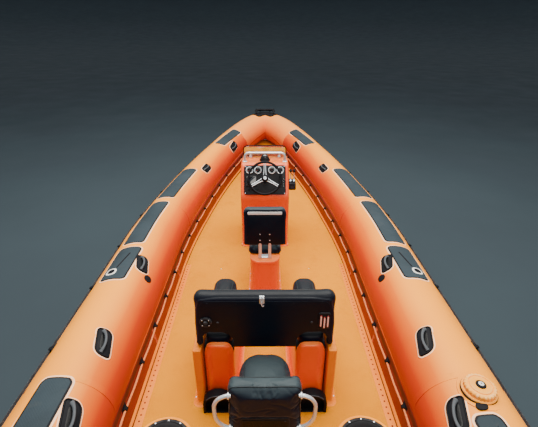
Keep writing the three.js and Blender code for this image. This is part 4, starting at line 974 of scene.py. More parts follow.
def raised(seat, s0, s1, low, high, thick, side, edge=0.002):
    """A low block with rounded edges on a rope's seat."""
    rows = []
    for s, inward, lift in ((s0, 0, -0.0015), (s0 + 0.0001, 0, thick - edge), (s0 + edge, edge, thick),
                            ((s0 + s1) / 2, edge, thick), (s1 - edge, edge, thick),
                            (s1 - 0.0001, 0, thick - edge), (s1, 0, -0.0015)):
        low_edge, high_edge = low + inward, high - inward
        slide = np.array([low, low + 0.0001, low_edge + 0.0002, (low + high) / 2, high_edge - 0.0002,
                          high - 0.0001, high])
        lifts = np.array([-0.0015, min(lift, thick - edge), lift, lift, lift, min(lift, thick - edge),
                          -0.0015])
        rows.append(seat(np.full(7, s), lifts, slide, side))
    return sheet_form(rows)


def held_rope(row, finish, sag, seat, base, saddle_half):
    """A laid rope held at a pitch by moulded clips, sagging a little between them, on both sides."""
    for name, side in SIDES:
        start = s_at(row["start"])
        end = plan_s(row["last"])
        count = int((end - start) / row["pitch"]) + 1
        s = np.arange(start - row["tail"], end, 0.009)
        between = np.clip((s - start) / row["pitch"], 0, count - 1) % 1
        slide = sag * np.sin(math.pi * between) ** 2
        shape = Shape()
        shape.add(sweep(seat(s, ROPE_STANDOFF, slide, side), ROPE_RADIUS * 1.08, 12, lobes=3, twist=13), 0)
        for k in range(count):
            middle = start + k * row["pitch"]
            shape.add(raised(seat, middle - base, middle + base, -base, base, 0.0035, side), 1)
            shape.add(raised(seat, middle - saddle_half, middle + saddle_half, -saddle_half, saddle_half,
                             0.0165, side, 0.005), 1)
            collar = seat(np.linspace(middle - 0.013, middle + 0.013, 5), ROPE_STANDOFF, 0.0, side)
            shape.add(sweep(collar, [0.010, 0.0125, 0.013, 0.0125, 0.010], 14), 1)
        for tail in (s[0] + 0.012, s[-1] - 0.012):
            knot = seat(np.linspace(tail - 0.012, tail + 0.012, 7), ROPE_STANDOFF + 0.004, 0.0, side)
            shape.add(sweep(knot, [0.006, 0.011, 0.0135, 0.011, 0.0135, 0.011, 0.006], 12), 0)
        piece(f"{row['node']}_{name}_laid", shape, [finish, black_rubber],
              replaces=(f"{row['node']}_{name}",))


held_rope(LIFELINE, black_rope, 0.010, on_tube, 0.034, 0.018)


# Rubbing strake: ribbed rubber section round the outside of the collar
def strakes():
    outline = bent([(-0.004, -0.042), (0.014, -0.041), (0.026, -0.030), (0.026, -0.014), (0.0195, -0.010),
                    (0.0195, 0.010), (0.026, 0.014), (0.026, 0.030), (0.014, 0.041), (-0.004, 0.042)],
                    0.006, 3)
    for name, side in SIDES:
        s = tube_s_values(s_at(TUBE_SHOULDER_Y), BOW_S - 0.0004, 0.05)
        out = on_line(LINE_OUT, s)
        up = on_line(LINE_UP, s)
        centre = on_line(LINE, s)
        radius = tube_radius(centre[:, 1])
        rings = []
        for k in range(len(s)):
            rings.append([centre[k] + out[k] * (radius[k] + a) + up[k] * b for a, b in outline])
        form = moved(loft(rings), mirror=side < 0)
        shape = Shape()
        shape.add(form)
        low = s_at(TUBE_SHOULDER_Y)
        shape.add(patch(low - 0.03, BOW_S - 0.001, 79, 101, 0.0018, 0.03, 0.002, side, arc_step=0.02), 1)
        piece(f"rubbing_strake_{name}_ribbed", shape, [black_rubber, tape_orange],
              replaces=(f"rubbing_strake_{name}",))


strakes()


# Inflation valve covers: a flange, a ribbed cap, ring grooves and a dark hub with a pale centre
VALVE = dict(starboard=-2.0, port=-2.62, lean=1.0, ribs=24)


def valves():
    turn = full_turn(144)
    ribbed = 1 - 0.045 * np.clip(np.cos(VALVE["ribs"] * turn), 0, None) ** 0.6
    base = TUBE_RADIUS - 0.012
    cap = ((0.0910, 0.0), (0.0910, 0.020), (0.0890, 0.0235), (0.0815, 0.0245), (0.0825, 0.027),
           (0.0825, 0.0455), (0.0790, 0.0505), (0.0730, 0.0530), (0.0640, 0.0535), (0.0620, 0.0500),
           (0.0580, 0.0500), (0.0560, 0.0545), (0.0420, 0.0555), (0.0260, 0.0555))
    for name, side in SIDES:
        shape = Shape()
        rings = []
        for r, h in cap:
            grip = ribbed if 0.0785 < r < 0.085 else np.ones_like(turn)
            rings.append([(r * g * math.cos(a), r * g * math.sin(a), h) for a, g in zip(turn, grip)])
        shape.add(moved(loft(rings), (0, 0, base)))
        # Black ring round the cap's foot: painted shadow in the gap between cap and tube
        shape.add(moved(lathe([(0.0935, 0.004), (0.0935, 0.014), (0.090, 0.0155)], 64), (0, 0, base)), 1)
        shape.add(moved(lathe([(0.0265, 0.050), (0.0265, 0.060), (0.0235, 0.063), (0.0150, 0.0635)], 40),
                        (0, 0, base)), 1)
        shape.add(moved(lathe([(0.0145, 0.060), (0.0145, 0.0650), (0.012, 0.0665), (0.005, 0.0668)], 28),
                        (0, 0, base)), 2)
        shape.add(moved(lathe([(0.0042, 0.066), (0.0042, 0.0676), (0.002, 0.068)], 16), (0, 0, base)), 1)
        shape.points = shape.points @ np.array(rotation(VALVE["lean"], "Y")).T
        shape.placed((TUBE_HALF_SPAN, VALVE[name], TUBE_Z), side)
        middle = s_at(VALVE[name])
        shape.add(patch(middle - 0.125, middle + 0.125, -22, 27, 0.0022, 0.12, 0.002, side, arc_step=0.02), 3)
        lug = dict(y=VALVE[name] - 0.098, angle=-6, half=0.022, wide=0.030, skew=0.0)
        shape.add(plate_on_skin(lug, 0.0, 0.010, 0.004, side), 1)
        piece(f"valve_{name}_cover", shape, [orange_plastic, black_rubber, white_plastic, tape_orange],
              replaces=(f"valve_{name}",), sharp=28)


valves()


# Hull: deep V with chine flats and spray rails, from stations joined by smooth lines
HULL_STATIONS = (
    # station, keel height, chine half-beam, chine height
    (-3.55, -0.470, 0.985, -0.045),
    (-2.00, -0.480, 0.985, -0.045),
    (0.00, -0.480, 0.975, -0.035),
    (1.10, -0.470, 0.900, 0.005),
    (1.90, -0.435, 0.770, 0.060),
    (2.60, -0.345, 0.590, 0.130),
    (3.15, -0.200, 0.400, 0.215),
    (3.55, 0.010, 0.225, 0.300),
    (3.83, 0.290, 0.060, 0.390),
)


def eased(x, table, column):
    """Monotone cubic through a table's column."""
    xs = np.array([row[0] for row in table])
    ys = np.array([row[column] for row in table])
    slope = np.diff(ys) / np.diff(xs)
    tangent = np.concatenate([[slope[0]], np.where(
        slope[:-1] * slope[1:] > 0, 2 * slope[:-1] * slope[1:] / (slope[:-1] + slope[1:] + 1e-12), 0),
        [slope[-1]]])
    k = np.clip(np.searchsorted(xs, x) - 1, 0, len(xs) - 2)
    h = xs[k + 1] - xs[k]
    t = (x - xs[k]) / h
    return ((2 * t ** 3 - 3 * t ** 2 + 1) * ys[k] + (t ** 3 - 2 * t ** 2 + t) * h * tangent[k]
            + (3 * t ** 2 - 2 * t ** 3) * ys[k + 1] + (t ** 3 - t ** 2) * h * tangent[k + 1])


DECK_TABLE = ((-3.55, 0.0), (1.1, 0.0), (1.9, 0.0407), (2.6, 0.0967), (3.15, 0.171), (3.55, 0.247),
              (3.83, 0.3135))


def deck_height(y):
    return DECK + np.interp(y, [row[0] for row in DECK_TABLE], [row[1] for row in DECK_TABLE])


def gunwale(y):
    half = len(LINE) // 2
    x = np.interp(y, LINE[:half, 1], LINE[:half, 0]) - 0.03
    return np.maximum(x, eased(y, HULL_STATIONS, 2) + 0.042)


def hull_ring(y):
    keel = float(eased(y, HULL_STATIONS, 1))
    chine = float(eased(y, HULL_STATIONS, 2))
    chine_z = float(eased(y, HULL_STATIONS, 3))
    edge = float(gunwale(y))
    top = float(deck_height(y))
    size = min(1.0, chine / 0.5)
    foot = np.array([0.0, keel])
    out = np.array([chine, chine_z])
    bottom = out - foot
    half = [foot + np.array([0.006, 0.0]), foot + np.array([0.022 * size, 0.004 * size])]
    across = np.array([bottom[1], -bottom[0]]) / np.linalg.norm(bottom)
    for share in (0.36, 0.66):
        base = foot + bottom * share
        along = bottom / np.linalg.norm(bottom)
        half += [base - along * 0.02 * size, base + (along * 0.012 + across * 0.014) * size,
                 base + (along * 0.016 + across * 0.008) * size, base + along * 0.02 * size]
    half += [out, out + np.array([0.03 * size, 0.002]), out + np.array([0.038 * size, 0.008]),
             out + np.array([0.036 * size, 0.02])]
    half += [np.array([edge - 0.02, top - 0.03]), np.array([edge, top - 0.012]),
             np.array([edge - 0.012, top - 0.002])]
    return half, edge, top


def hull():
    shape = Shape()
    stations = np.concatenate([np.linspace(-3.55, 1.1, 32), np.linspace(1.1, 3.55, 44)[1:],
                               np.linspace(3.55, 3.83, 9)[1:]])
    rings = []
    decks = []
    for y in stations:
        half, edge, top = hull_ring(y)
        starboard = [(x, y, z) for x, z in half]
        port = [(-x, y, z) for x, z in half][::-1]
        rings.append(starboard + port)
        decks.append([(edge * share, y, top) for share in np.linspace(-1, 1, 25)])
    rings = np.array(rings)
    points, faces = loft(rings, caps=False)
    columns = rings.shape[1]
    faces = [face for face in faces if not {columns // 2 - 1, columns // 2} == {i % columns for i in face}]
    shape.add((points, faces), 0)
    shape.add((rings[0], [list(range(columns))]), 0)
    shape.add((rings[-1], [list(range(columns))[::-1]]), 0)
    shape.add(sheet_form(decks), 1)
    below = [face for face in range(len(shape.faces)) if shape.finish[face] == 0
             and max(shape.points[i][2] for i in shape.faces[face]) < -0.02]
    for face in below:
        shape.finish[face] = 2
    shape.add(moved(upright(slab(rounded_outline(-0.76, -0.18, 0.76, TRANSOM_TOP, (0.07, 0.07, 0.02, 0.02)),
                                 0.0, 0.06, 0.006, 3, both=True), TRANSOM_Y + 0.06)), 0)
    piece("hull_moulding", shape, [hull_orange, deck_orange, bottom_paint], replaces=("hull",),
          sharp=24)


hull()


# Deck fasteners, edge strips, hull fittings
EDGE_SCREW_X = 0.812
EDGE_SCREW_PITCH = 0.045


def deck_fittings():
    strips = Shape()
    screws = Shape()
    for side in (-1, 1):
        head = screw_head(0.0065, 0.0024)
        for y in np.arange(-3.42, 0.02, EDGE_SCREW_PITCH):
            screws.add(moved(head, (side * EDGE_SCREW_X, y, DECK + 0.0014)), 1)
        low, high = sorted((side * (EDGE_SCREW_X - 0.026), side * (EDGE_SCREW_X + 0.03)))
        strips.add(block((low, -3.48, DECK - 0.004), (high, 0.0, DECK + 0.0016), 0.001), 0)
        for y in np.arange(-3.3, 0.0, 0.46):
            screws.add(moved(head, (side * 0.46, y, DECK)), 0)
    piece("deck_edge_strips", strips, [deck_edge])
    piece("deck_fasteners", screws, [stainless, dark_red])
    transom = Shape()
    cap = bent([(-0.762, TRANSOM_TOP - 0.25), (-0.762, TRANSOM_TOP + 0.002), (0.762, TRANSOM_TOP + 0.002),
                (0.762, TRANSOM_TOP - 0.25)], 0.07, 10)
    path = np.column_stack([cap[:, 0], np.full(len(cap), TRANSOM_Y + 0.03), cap[:, 1]])
    transom.add(sweep(path, 0.034, 12, flat=0.12), 0)
    for x in (-0.66, 0.66):
        transom.add(moved(lathe([(0.03, 0.0), (0.03, 0.006), (0.024, 0.010), (0.016, 0.010),
                                 (0.014, 0.004)], 24),
                          (x, TRANSOM_Y, -0.02), rotation(90, "X")), 1)
    for x in (-0.18, 0.18):
        ring = [(x + 0.028 * math.cos(a), TRANSOM_Y - 0.016, 0.02 + 0.034 * math.sin(a))
                for a in full_turn(24)]
        transom.add(sweep(ring, 0.006, 10, closed=True), 1)
        plate = block((x - 0.03, TRANSOM_Y - 0.006, -0.03), (x + 0.03, TRANSOM_Y + 0.001, 0.07), 0.004)
        transom.add(plate, 1)
    piece("transom_fittings", transom, [black_rubber, stainless])


deck_fittings()


# Side trunking between deck and tube: a rounded rail at its foot, a flat face in painted shade, and a brown
# band on its upper face painting the tube's shadow and dirt
TRUNK = dict(foot=0.300, top=0.268, height=0.215, band=0.166, rail=0.0125)


def trunkings():
    lean = (TRUNK["foot"] - TRUNK["top"]) / TRUNK["height"]
    for name, side in SIDES:
        s = tube_s_values(s_at(TRANSOM_Y + 0.07), BOW_SEAM_S - 0.0005, 0.06)
        centre = on_line(LINE, s)
        out = on_line(LINE_OUT, s)
        up = on_line(LINE_UP, s)
        drop = centre[:, 2] - deck_height(centre[:, 1])

        def along_face(reach, height):
            return centre + out * reach + up * (height - drop)[:, None]

        def face_line(height, proud):
            return along_face(lean * height - TRUNK["foot"] - proud, height)

        profile = bent([(-0.06, -0.01), (-TRUNK["foot"], -0.01), (-TRUNK["foot"], 0.002),
                        (-TRUNK["top"] - 0.002, TRUNK["height"] - 0.004),
                        (-TRUNK["top"] + 0.012, TRUNK["height"]), (-TRUNK["top"] + 0.055, TRUNK["height"])],
                        0.008, 4)
        rings = np.stack([along_face(a, b) for a, b in profile], axis=1)
        shape = Shape()
        shape.add(loft(rings), 0)
        shape.add(sweep(along_face(-TRUNK["foot"] - 0.001, 0.011), TRUNK["rail"], 10), 1)
        shape.add(sweep(along_face(-TRUNK["foot"] - 0.0145, 0.0008), 0.003, 6), 2)
        # Band on the upper face: painted shadow of the tube, and dirt
        band = bent([(TRUNK["band"], -0.002), (TRUNK["band"], 0.0022), (TRUNK["height"] - 0.010, 0.0022),
                     (TRUNK["height"] - 0.010, -0.002)], 0.0012, 2)
        shape.add(loft(np.stack([face_line(height, proud) for height, proud in band], axis=1)), 3)
        for y in np.arange(-3.0, 2.0, 0.92):
            k = int(np.argmin(np.abs(centre[:, 1] - y)))
            strip = [face_line(height, 0.0008)[k] for height in (0.026, TRUNK["band"] - 0.004)]
            shape.add(sweep([strip[0], (strip[0] + strip[1]) / 2, strip[1]], 0.016, 8, flat=0.18), 0)
        shape.placed(side=side)
        piece(f"trunking_{name}_panel", shape, [trunk_painted_shade, deck_edge, black_rubber, trunk_shadow_and_grime],
              replaces=(f"trunking_{name}", f"trunking_fore_{name}"))


trunkings()
held_rope(GRAB_LINE, red_rope, 0.008, on_trunk, 0.030, 0.017)


# Round bolted access plates with a recessed centre
ACCESS_PLATE_X = 0.62
ACCESS_PLATE_Y = -1.96


def access_plates():
    for name, side in SIDES:
        shape = Shape()
        shape.add(lathe([(0.190, -0.001), (0.190, 0.002), (0.184, 0.004), (0.170, 0.004)], 64), 1)
        shape.add(lathe([(0.170, 0.0), (0.170, 0.010), (0.166, 0.0135), (0.150, 0.014), (0.146, 0.011),
                         (0.120, 0.011), (0.116, 0.013), (0.04, 0.0138)], 64), 0)
        for a in full_turn(12):
            shape.add(moved(screw_head(0.0065, 0.003), (0.158 * math.cos(a), 0.158 * math.sin(a), 0.0135)), 2)
        for turn in (0, math.pi):
            shape.add(moved(block((0.055, -0.02, 0.009), (0.105, 0.02, 0.0145), 0.004),
                            turn=Matrix.Rotation(turn, 3, "Z")), 3)
        shape.placed((side * ACCESS_PLATE_X, ACCESS_PLATE_Y, DECK + 0.0003))
        piece(f"access_plate_{name}_cover", shape, [black_plastic, tape_orange, stainless, dial_black],
              replaces=(f"access_plate_{name}",), sharp=30)


access_plates()


# Soft pieces: a closed form is remeshed, swollen as sewn cloth, then given seams that follow its surface

def limits(node):
    """A node's lowest and highest corners."""
    low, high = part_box(node)
    return np.array(low), np.array(high)


def evaluated(made):
    graph = bpy.context.evaluated_depsgraph_get()
    return bpy.data.meshes.new_from_object(made.evaluated_get(graph))


def take_mesh(made, mesh, finishes):
    """Give an object another mesh in place of its own, without modifiers."""
    old = made.data
    made.modifiers.clear()
    made.data = mesh
    bpy.data.meshes.remove(old)
    mesh.materials.clear()
    for finish in finishes:
        mesh.materials.append(finish)
    mesh.shade_smooth()


def mesh_points(mesh):
    points = np.empty(len(mesh.vertices) * 3)
    mesh.vertices.foreach_get("co", points)
    return points.reshape(-1, 3)


def mesh_normals(mesh):
    normals = np.empty(len(mesh.vertices) * 3)
    mesh.vertex_normals.foreach_get("vector", normals)
    return normals.reshape(-1, 3)


def folds(points, normals, size, depth, seed, stretch):
    """Soft creases: narrow valleys where a noise field crosses zero."""
    scaled = points * np.array(stretch) / size + np.array([seed * 7.3, seed * 3.1, seed * 5.7])
    value = np.array([noise.noise(Vector(point)) for point in scaled])
    broad = np.array([noise.noise(Vector(point)) for point in scaled * 0.37 + 11.0])
    valley = np.exp(-(value / 0.09) ** 2) * np.clip(0.5 + 1.4 * broad, 0, 1)
    return points - normals * (depth * valley)[:, None]


# Cloth simulation of the soft pieces
CLOTH_PRESSURE = 4.6
CLOTH_FRAMES = 16
VOXEL = 0.007


def puff(made, finishes, held, cap, fold, seed, voxel=VOXEL, stretch=(1, 1, 1)):
    """Remesh, swell by at most a cap apart from the points that are held, crease and subdivide."""
    remesh = made.modifiers.new("remesh", "REMESH")
    remesh.mode = "VOXEL"
    remesh.voxel_size = voxel
    take_mesh(made, evaluated(made), finishes)
    start = mesh_points(made.data)
    fixed = held(start)
    group = made.vertex_groups.new(name="held")
    group.add([int(i) for i in np.nonzero(fixed)[0]], 1.0, "REPLACE")
    cloth = made.modifiers.new("cloth", "CLOTH")
    cloth.settings.vertex_group_mass = "held"
    cloth.settings.use_pressure = True
    cloth.settings.uniform_pressure_force = CLOTH_PRESSURE
    cloth.settings.effector_weights.gravity = 0.0
    cloth.settings.tension_stiffness = 12.0
    cloth.settings.compression_stiffness = 12.0
    cloth.settings.shear_stiffness = 6.0
    cloth.settings.bending_stiffness = 0.5
    cloth.settings.quality = 4
    cloth.point_cache.frame_start = 1
    cloth.point_cache.frame_end = CLOTH_FRAMES
    for number in range(1, CLOTH_FRAMES + 1):
        bpy.context.scene.frame_set(number)
    take_mesh(made, evaluated(made), finishes)
    bpy.context.scene.frame_set(1)
    made.vertex_groups.clear()
    moves = mesh_points(made.data) - start
    length = np.linalg.norm(moves, axis=1)
    keep = np.minimum(1.0, cap / np.maximum(length, 1e-9))
    points = start + moves * keep[:, None]
    creased = folds(points, mesh_normals(made.data), *fold, seed, stretch)
    points = np.where(fixed[:, None], points, creased)
    made.data.vertices.foreach_set("co", points.ravel())
    made.data.update()
    smooth = made.modifiers.new("smooth", "SUBSURF")
    smooth.levels = 1
    smooth.render_levels = 1
    take_mesh(made, evaluated(made), finishes)


def surface_path(made, path, lift):
    """A path laid on the nearest points of a piece's surface."""
    tree = BVHTree.FromObject(made, bpy.context.evaluated_depsgraph_get())
    out = []
    for point in path:
        found, normal, _, _ = tree.find_nearest(Vector(point))
        out.append(np.array(found + normal * lift))
    return np.array(out)


def relaxed(path, closed=True, times=3):
    """A path whose points are moved, a few times over, towards the middle of their neighbours."""
    path = np.array(path)
    for _ in range(times):
        near = (np.roll(path, 1, axis=0) + np.roll(path, -1, axis=0)) / 2
        near = path * 0.5 + near * 0.5
        if not closed:
            near[0], near[-1] = path[0], path[-1]
        path = near
    return path


def welt(made, path, radius):
    """Piping round a soft piece, laid on its surface."""
    return sweep(relaxed(surface_path(made, path, 0.0008)), radius, 8, closed=True)


def stitches(made, path, pitch, radius):
    """Short thread stitches along a path on a soft piece."""
    laid = resampled(surface_path(made, path, 0.0006), pitch / 2)
    forms = []
    for k in range(0, len(laid) - 1, 2):
        a, b = laid[k], laid[k + 1]
        forms.append(sweep([a, (a + b) / 2, b], [radius * 0.7, radius, radius * 0.7], 5))
    return forms


def pad_rows(outline, z0, z1, edge, crown, inner):
    """A cushion block: round top edge, crowned top, slightly tucked foot."""
    rows = [(-0.006, z0), (0.0, z0 + 0.012), (0.002, (z0 + z1) / 2)]
    for a in np.linspace(0, math.pi / 2, 6):
        rows.append((-edge * (1 - math.cos(a)), z1 - edge * (1 - math.sin(a))))
    for share in (0.35, 0.7, 0.95):
        rows.append((-edge - (inner - edge) * share, z1 + crown * (1 - (1 - share) ** 2)))
    outline = grown(outline, 0)
    rings = []
    for out, z in rows:
        ring = grown(outline, max(out, -edge))
        if out < -edge:
            centre = ring.mean(axis=0)
            ring = centre + (ring - centre) * (1 - (-out - edge) / inner)
        rings.append(np.column_stack([ring, np.full(len(ring), z)]))
    return loft(rings)


def outline_ring(outline, z):
    return np.column_stack([outline, np.full(len(outline), z)])


def upright_ring(outline, y):
    """An outline in x and height, at one place along the boat."""
    return np.column_stack([outline[:, 0], np.full(len(outline), y), outline[:, 1]])


def saddle(name, node, outline, edge, crown, body_seed, stitch_rows, extra=None):
    """A saddle cushion over its node, with piping at its foot and top edge and rows of stitches."""
    low, high = limits(node)
    thick = high[2] - low[2]
    shape = Shape()
    shape.add(pad_rows(grown(outline, -0.006), low[2], low[2] + thick - crown - 0.004, edge, crown, 0.07))
    if extra is not None:
        shape.add(extra)
    leather = crew_black if name.startswith("crew") else seat_black
    made = piece(f"{name}_pad", shape, [leather], replaces=(node,))

    def held(points):
        return points[:, 2] < low[2] + 0.014

    puff(made, [leather], held, 0.012, fold=(0.10, 0.0014), seed=body_seed)
    trim = Shape()
    dense = even_ring(outline, 0.01)
    trim.add(welt(made, outline_ring(dense, low[2] + 0.016), 0.0035), 0)
    top = grown(dense, -edge * 0.55)
    trim.add(welt(made, outline_ring(top, low[2] + thick), 0.0028), 0)
    for path in stitch_rows:
        for form in stitches(made, path, 0.008, 0.0008):
            trim.add(form, 1)
    piece(f"{name}_seams", trim, [seat_piping, grey_trim_and_highlight])


# Crew pods: a column with a half-round back, a valley and a flat flange outboard, coved to the deck
CREW_X = 0.293
POD_HEAD_FRONT = -1.638
POD_HEAD_HALF = 0.084
POD_HEAD_CORNER = 0.045


def pod_outline():
    inner = [(-0.059 + 0.038 * math.cos(a), -1.634 + 0.038 * math.sin(a))
             for a in np.radians(np.linspace(180, 270, 8))]
    outer = [(0.029 + 0.068 * math.cos(a), -1.604 + 0.068 * math.sin(a))
             for a in np.radians(np.linspace(270, 360, 12))]
    rest = [(0.097, -1.10), (0.094, -1.076), (0.082, -1.05), (0.066, -1.04), (-0.066, -1.04),
            (-0.088, -1.056), (-0.097, -1.08)]
    return np.array(inner + outer + rest)


def pod_rear(top):
    """The pod's rear wall, 1 mm proud of the column, carried up to an arched head."""
    wall = pod_outline()
    wall = grown(wall, 0.001)
    wall = wall[wall[:, 1] < POD_HEAD_FRONT]
    wall = np.vstack([[(-0.0975, POD_HEAD_FRONT)], wall, [(0.0885, POD_HEAD_FRONT)]])
    shoulder = top - POD_HEAD_CORNER
    rows = [(DECK + 0.033, 1.0), (DECK + 0.2, 1.0), (DECK + 0.42, 1.0), (DECK + 0.45, 0.97), (shoulder, 0.90)]
    for a in np.linspace(0.15, math.pi / 2, 9):
        half = POD_HEAD_HALF - POD_HEAD_CORNER * (1 - math.cos(a))
        rows.append((shoulder + POD_HEAD_CORNER * math.sin(a), half / 0.0975))
    rings = []
    for z, share in rows:
        ring = wall * np.array([share, 1])
        near_top = np.clip((z - top + 0.008) / 0.008, 0, 1)
        into = 0.008 * (1 - math.sqrt(1 - near_top ** 2))
        ring[:, 1] = np.minimum(ring[:, 1] + into, POD_HEAD_FRONT)
        rings.append(np.column_stack([ring, np.full(len(ring), z)]))
    return loft(rings)


def flared(outline, low, high, cove, lip, top_edge=0.008):
    """Walls coved out at the deck with a rolled lip at the top."""
    rows = [(cove, low - 0.001)]
    for a in np.linspace(0, math.pi / 2, 6):
        rows.append((cove * (1 - math.sin(a)), low + cove * (1 - math.cos(a))))
    rows += [(0, (low + high) / 2), (0, high - 0.026), (lip, high - 0.020), (lip, high - top_edge)]
    for a in np.linspace(0.3, math.pi / 2, 4):
        rows.append((lip - top_edge * (1 - math.cos(a)), high - top_edge * (1 - math.sin(a))))
    outline = grown(outline, 0)
    return loft([np.column_stack([grown(outline, out), np.full(len(outline), z)]) for out, z in rows])


def crew_pods():
    outline = even_ring(pod_outline(), 0.012)
    sill_top = limits("crew_backrest")[0][2] - 0.0006
    for name, side in SIDES:
        node = f"seat_pod_{name}"
        high = limits(node)[1]
        shape = Shape()
        shape.add(flared(outline, DECK, DECK + 0.425, cove=0.034, lip=0.0))
        sill = rounded_outline(0.106, -1.6712, 0.16, -1.09, (0.012, 0.012, 0.012, 0.012), 4)
        shape.add(flared(sill, DECK, sill_top, cove=0.03, lip=0.0, top_edge=0.006), 3)
        # Black plate on the pod's top forward of its head: painted shade where the backrest's arch is dark
        covered = grown(outline, -0.002)
        shape.add(slab(covered[covered[:, 1] > POD_HEAD_FRONT + 0.001], DECK + 0.42, DECK + 0.4662, 0.004), 4)
        shape.add(pod_rear(high[2]), 0)
        for y in (-1.25, -1.50):
            hatch = rounded_outline(-0.05, -0.05, 0.05, 0.05, 0.03, 5)
            hatch_form = slab(hatch, 0.0, 0.004, 0.002)
            shape.add(moved(hatch_form, (0.1595, y, DECK + 0.26), rotation(90, "Y")), 1)
        for y in np.linspace(-1.62, -1.14, 5):
            shape.add(moved(screw_head(0.006, 0.003), (0.179, y, DECK + 0.0008)), 2)
        shape.placed((CREW_X, 0, 0), side)
        piece(f"{node}_moulding", shape, [pod_orange, black_plastic, stainless, deck_edge, black_rubber],
              replaces=(node,), sharp=32)


# Foot cups behind the pods: a half-round shell with a rolled rim, a front wall and a sole; the black wall and
# sole paint the shade inside, the grey rim is a painted highlight and a dark red lip is painted reflected
# light
FOOT_CUP = dict(x=0.305, half=0.100, height=0.168, rear=-1.746, front=-1.690, wall=0.020, sole=0.008)


def foot_cups():
    half, wall = FOOT_CUP["half"], FOOT_CUP["wall"]
    rear, front = FOOT_CUP["rear"], FOOT_CUP["front"]
    centre_z = DECK + FOOT_CUP["height"] - half
    turns = np.radians(np.linspace(0, 180, 33))
    arch = [(half * math.cos(a), centre_z + half * math.sin(a), math.cos(a), math.sin(a)) for a in turns]
    foot = [(half, DECK + 0.0006, 1.0, 0.0), (half, DECK + 0.03, 1.0, 0.0)]
    arch = foot + arch + [(-x, z, -nx, nz) for x, z, nx, nz in foot[::-1]]
    section = bent([(0, front), (0, rear), (-wall, rear), (-wall, front), (0, front)], 0.0085, 5)[:-1]
    for name, side in SIDES:
        node = f"foot_cup_{name}"
        shape = Shape()
        shape.add(loft([[(x + nx * a, y, z + nz * a) for a, y in section] for x, z, nx, nz in arch]), 0)
        inside = [(x - nx * wall * 0.6, z - nz * wall * 0.6) for x, z, nx, nz in arch]
        # Black front wall and sole, painting the shade inside the cup
        shape.add(plate_upright(np.array(inside), front, front - 0.010, 0.002), 1)
        sole = rounded_outline(-half + 0.006, rear + 0.003, half - 0.006, front - 0.002, 0.004, 3)
        shape.add(slab(sole, DECK + 0.0006, DECK + FOOT_CUP["sole"], 0.002), 1)
        # Grey rim along the rear edge: a painted highlight
        rim = [(x - nx * 0.006, rear - 0.0004, z - nz * 0.006) for x, z, nx, nz in arch[9:-10]]
        shape.add(sweep(rim, 0.0034, 8), 2)
        # Dark red lip inside: painted orange light reflected into the dark cup
        lip = [(x - nx * (wall - 0.003), rear + 0.006, z - nz * (wall - 0.003))
               for x, z, nx, nz in arch[4:-4]]
        shape.add(sweep(lip, 0.0022, 6), 3)
        shape.placed((FOOT_CUP["x"], 0, 0), side)
        piece(f"{node}_shell", shape, [black_rubber, dial_black, grey_trim_and_highlight, dark_red],
              replaces=(node,))


crew_pods()


def crew_cushions():
    for name, side in SIDES:
        node = f"seat_cushion_{name}"
        low, high = limits(node)
        middle = side * CREW_X
        body = rounded_outline(middle - 0.088, -1.55, middle + 0.088, -1.03, (0.075, 0.075, 0.08, 0.08), 8)
        tongue = rounded_outline(middle - 0.086, low[1] + 0.006, middle + 0.086, -1.42, 0.06, 8)
        extra = pad_rows(tongue, low[2], low[2] + 0.082, 0.022, 0.006, 0.05)
        rows = []
        for y in (-1.34, -1.20):
            rows.append([(middle + x, y, high[2] + 0.01) for x in np.linspace(-0.07, 0.07, 24)])
        saddle(f"crew_cushion_{name}", node, body, 0.035, 0.014, 3 + side, rows, extra)


crew_cushions()


# Arch cut out of the crew backrest over each seat
ARCH_HALF = 0.093
ARCH_RISE = 0.125
ARCH_CORNER = 0.07


def arch_line(centre, bottom):
    """The arch over one seat, seen from astern, running to greater x."""
    out = [(centre - ARCH_HALF, bottom)]
    reach = ARCH_HALF - ARCH_CORNER
    for middle, start, end in ((centre - reach, 180, 90), (centre + reach, 90, 0)):
        for a in np.radians(np.linspace(start, end, 8)):
            out.append((middle + ARCH_CORNER * math.cos(a),
                        bottom + ARCH_RISE - ARCH_CORNER + ARCH_CORNER * math.sin(a)))
    out.append((centre + ARCH_HALF, bottom))
    return out


def backrest_face(half, bottom, top, corner, arches=False):
    """Anticlockwise outline seen with x to the right and height up."""
    foot = 0.014
    out = []
    for x, a0 in ((half - corner, 0), (corner - half, 90)):
        for a in np.radians(np.linspace(a0, a0 + 90, 9)):
            out.append((x + corner * math.cos(a), top - corner + corner * math.sin(a)))
    out += [(-half, bottom + foot), (-half + foot * 0.4, bottom + foot * 0.2), (-half + foot, bottom)]
    if arches:
        for centre in (-CREW_X, CREW_X):
            out += arch_line(centre, bottom)
    out += [(half - foot, bottom), (half - foot * 0.4, bottom + foot * 0.2), (half, bottom + foot)]
    return np.array(out)


def face_rows(outline, front, rear, front_edge, rear_edge):
    """A backrest body between its rear and front faces, both with rounded edges."""
    rows = []
    for a in np.linspace(0, math.pi / 2, 6):
        rows.append((-rear_edge * (1 - math.sin(a)), rear + rear_edge * (1 - math.cos(a))))
    for a in np.linspace(math.pi / 2, 0, 6):
        rows.append((-front_edge * (1 - math.sin(a)), front - front_edge * (1 - math.cos(a))))
    outline = grown(outline, 0)
    rings = []
    for out, y in rows:
        ring = grown(outline, out)
        rings.append(upright_ring(ring, y))
    return loft(rings)


def plate_upright(outline, y_front, y_rear, edge=0.003):
    """A flat plate seen from astern, its edge rounded on the side that faces astern."""
    return upright(slab(outline, 0.0, y_front - y_rear, edge), y_front)


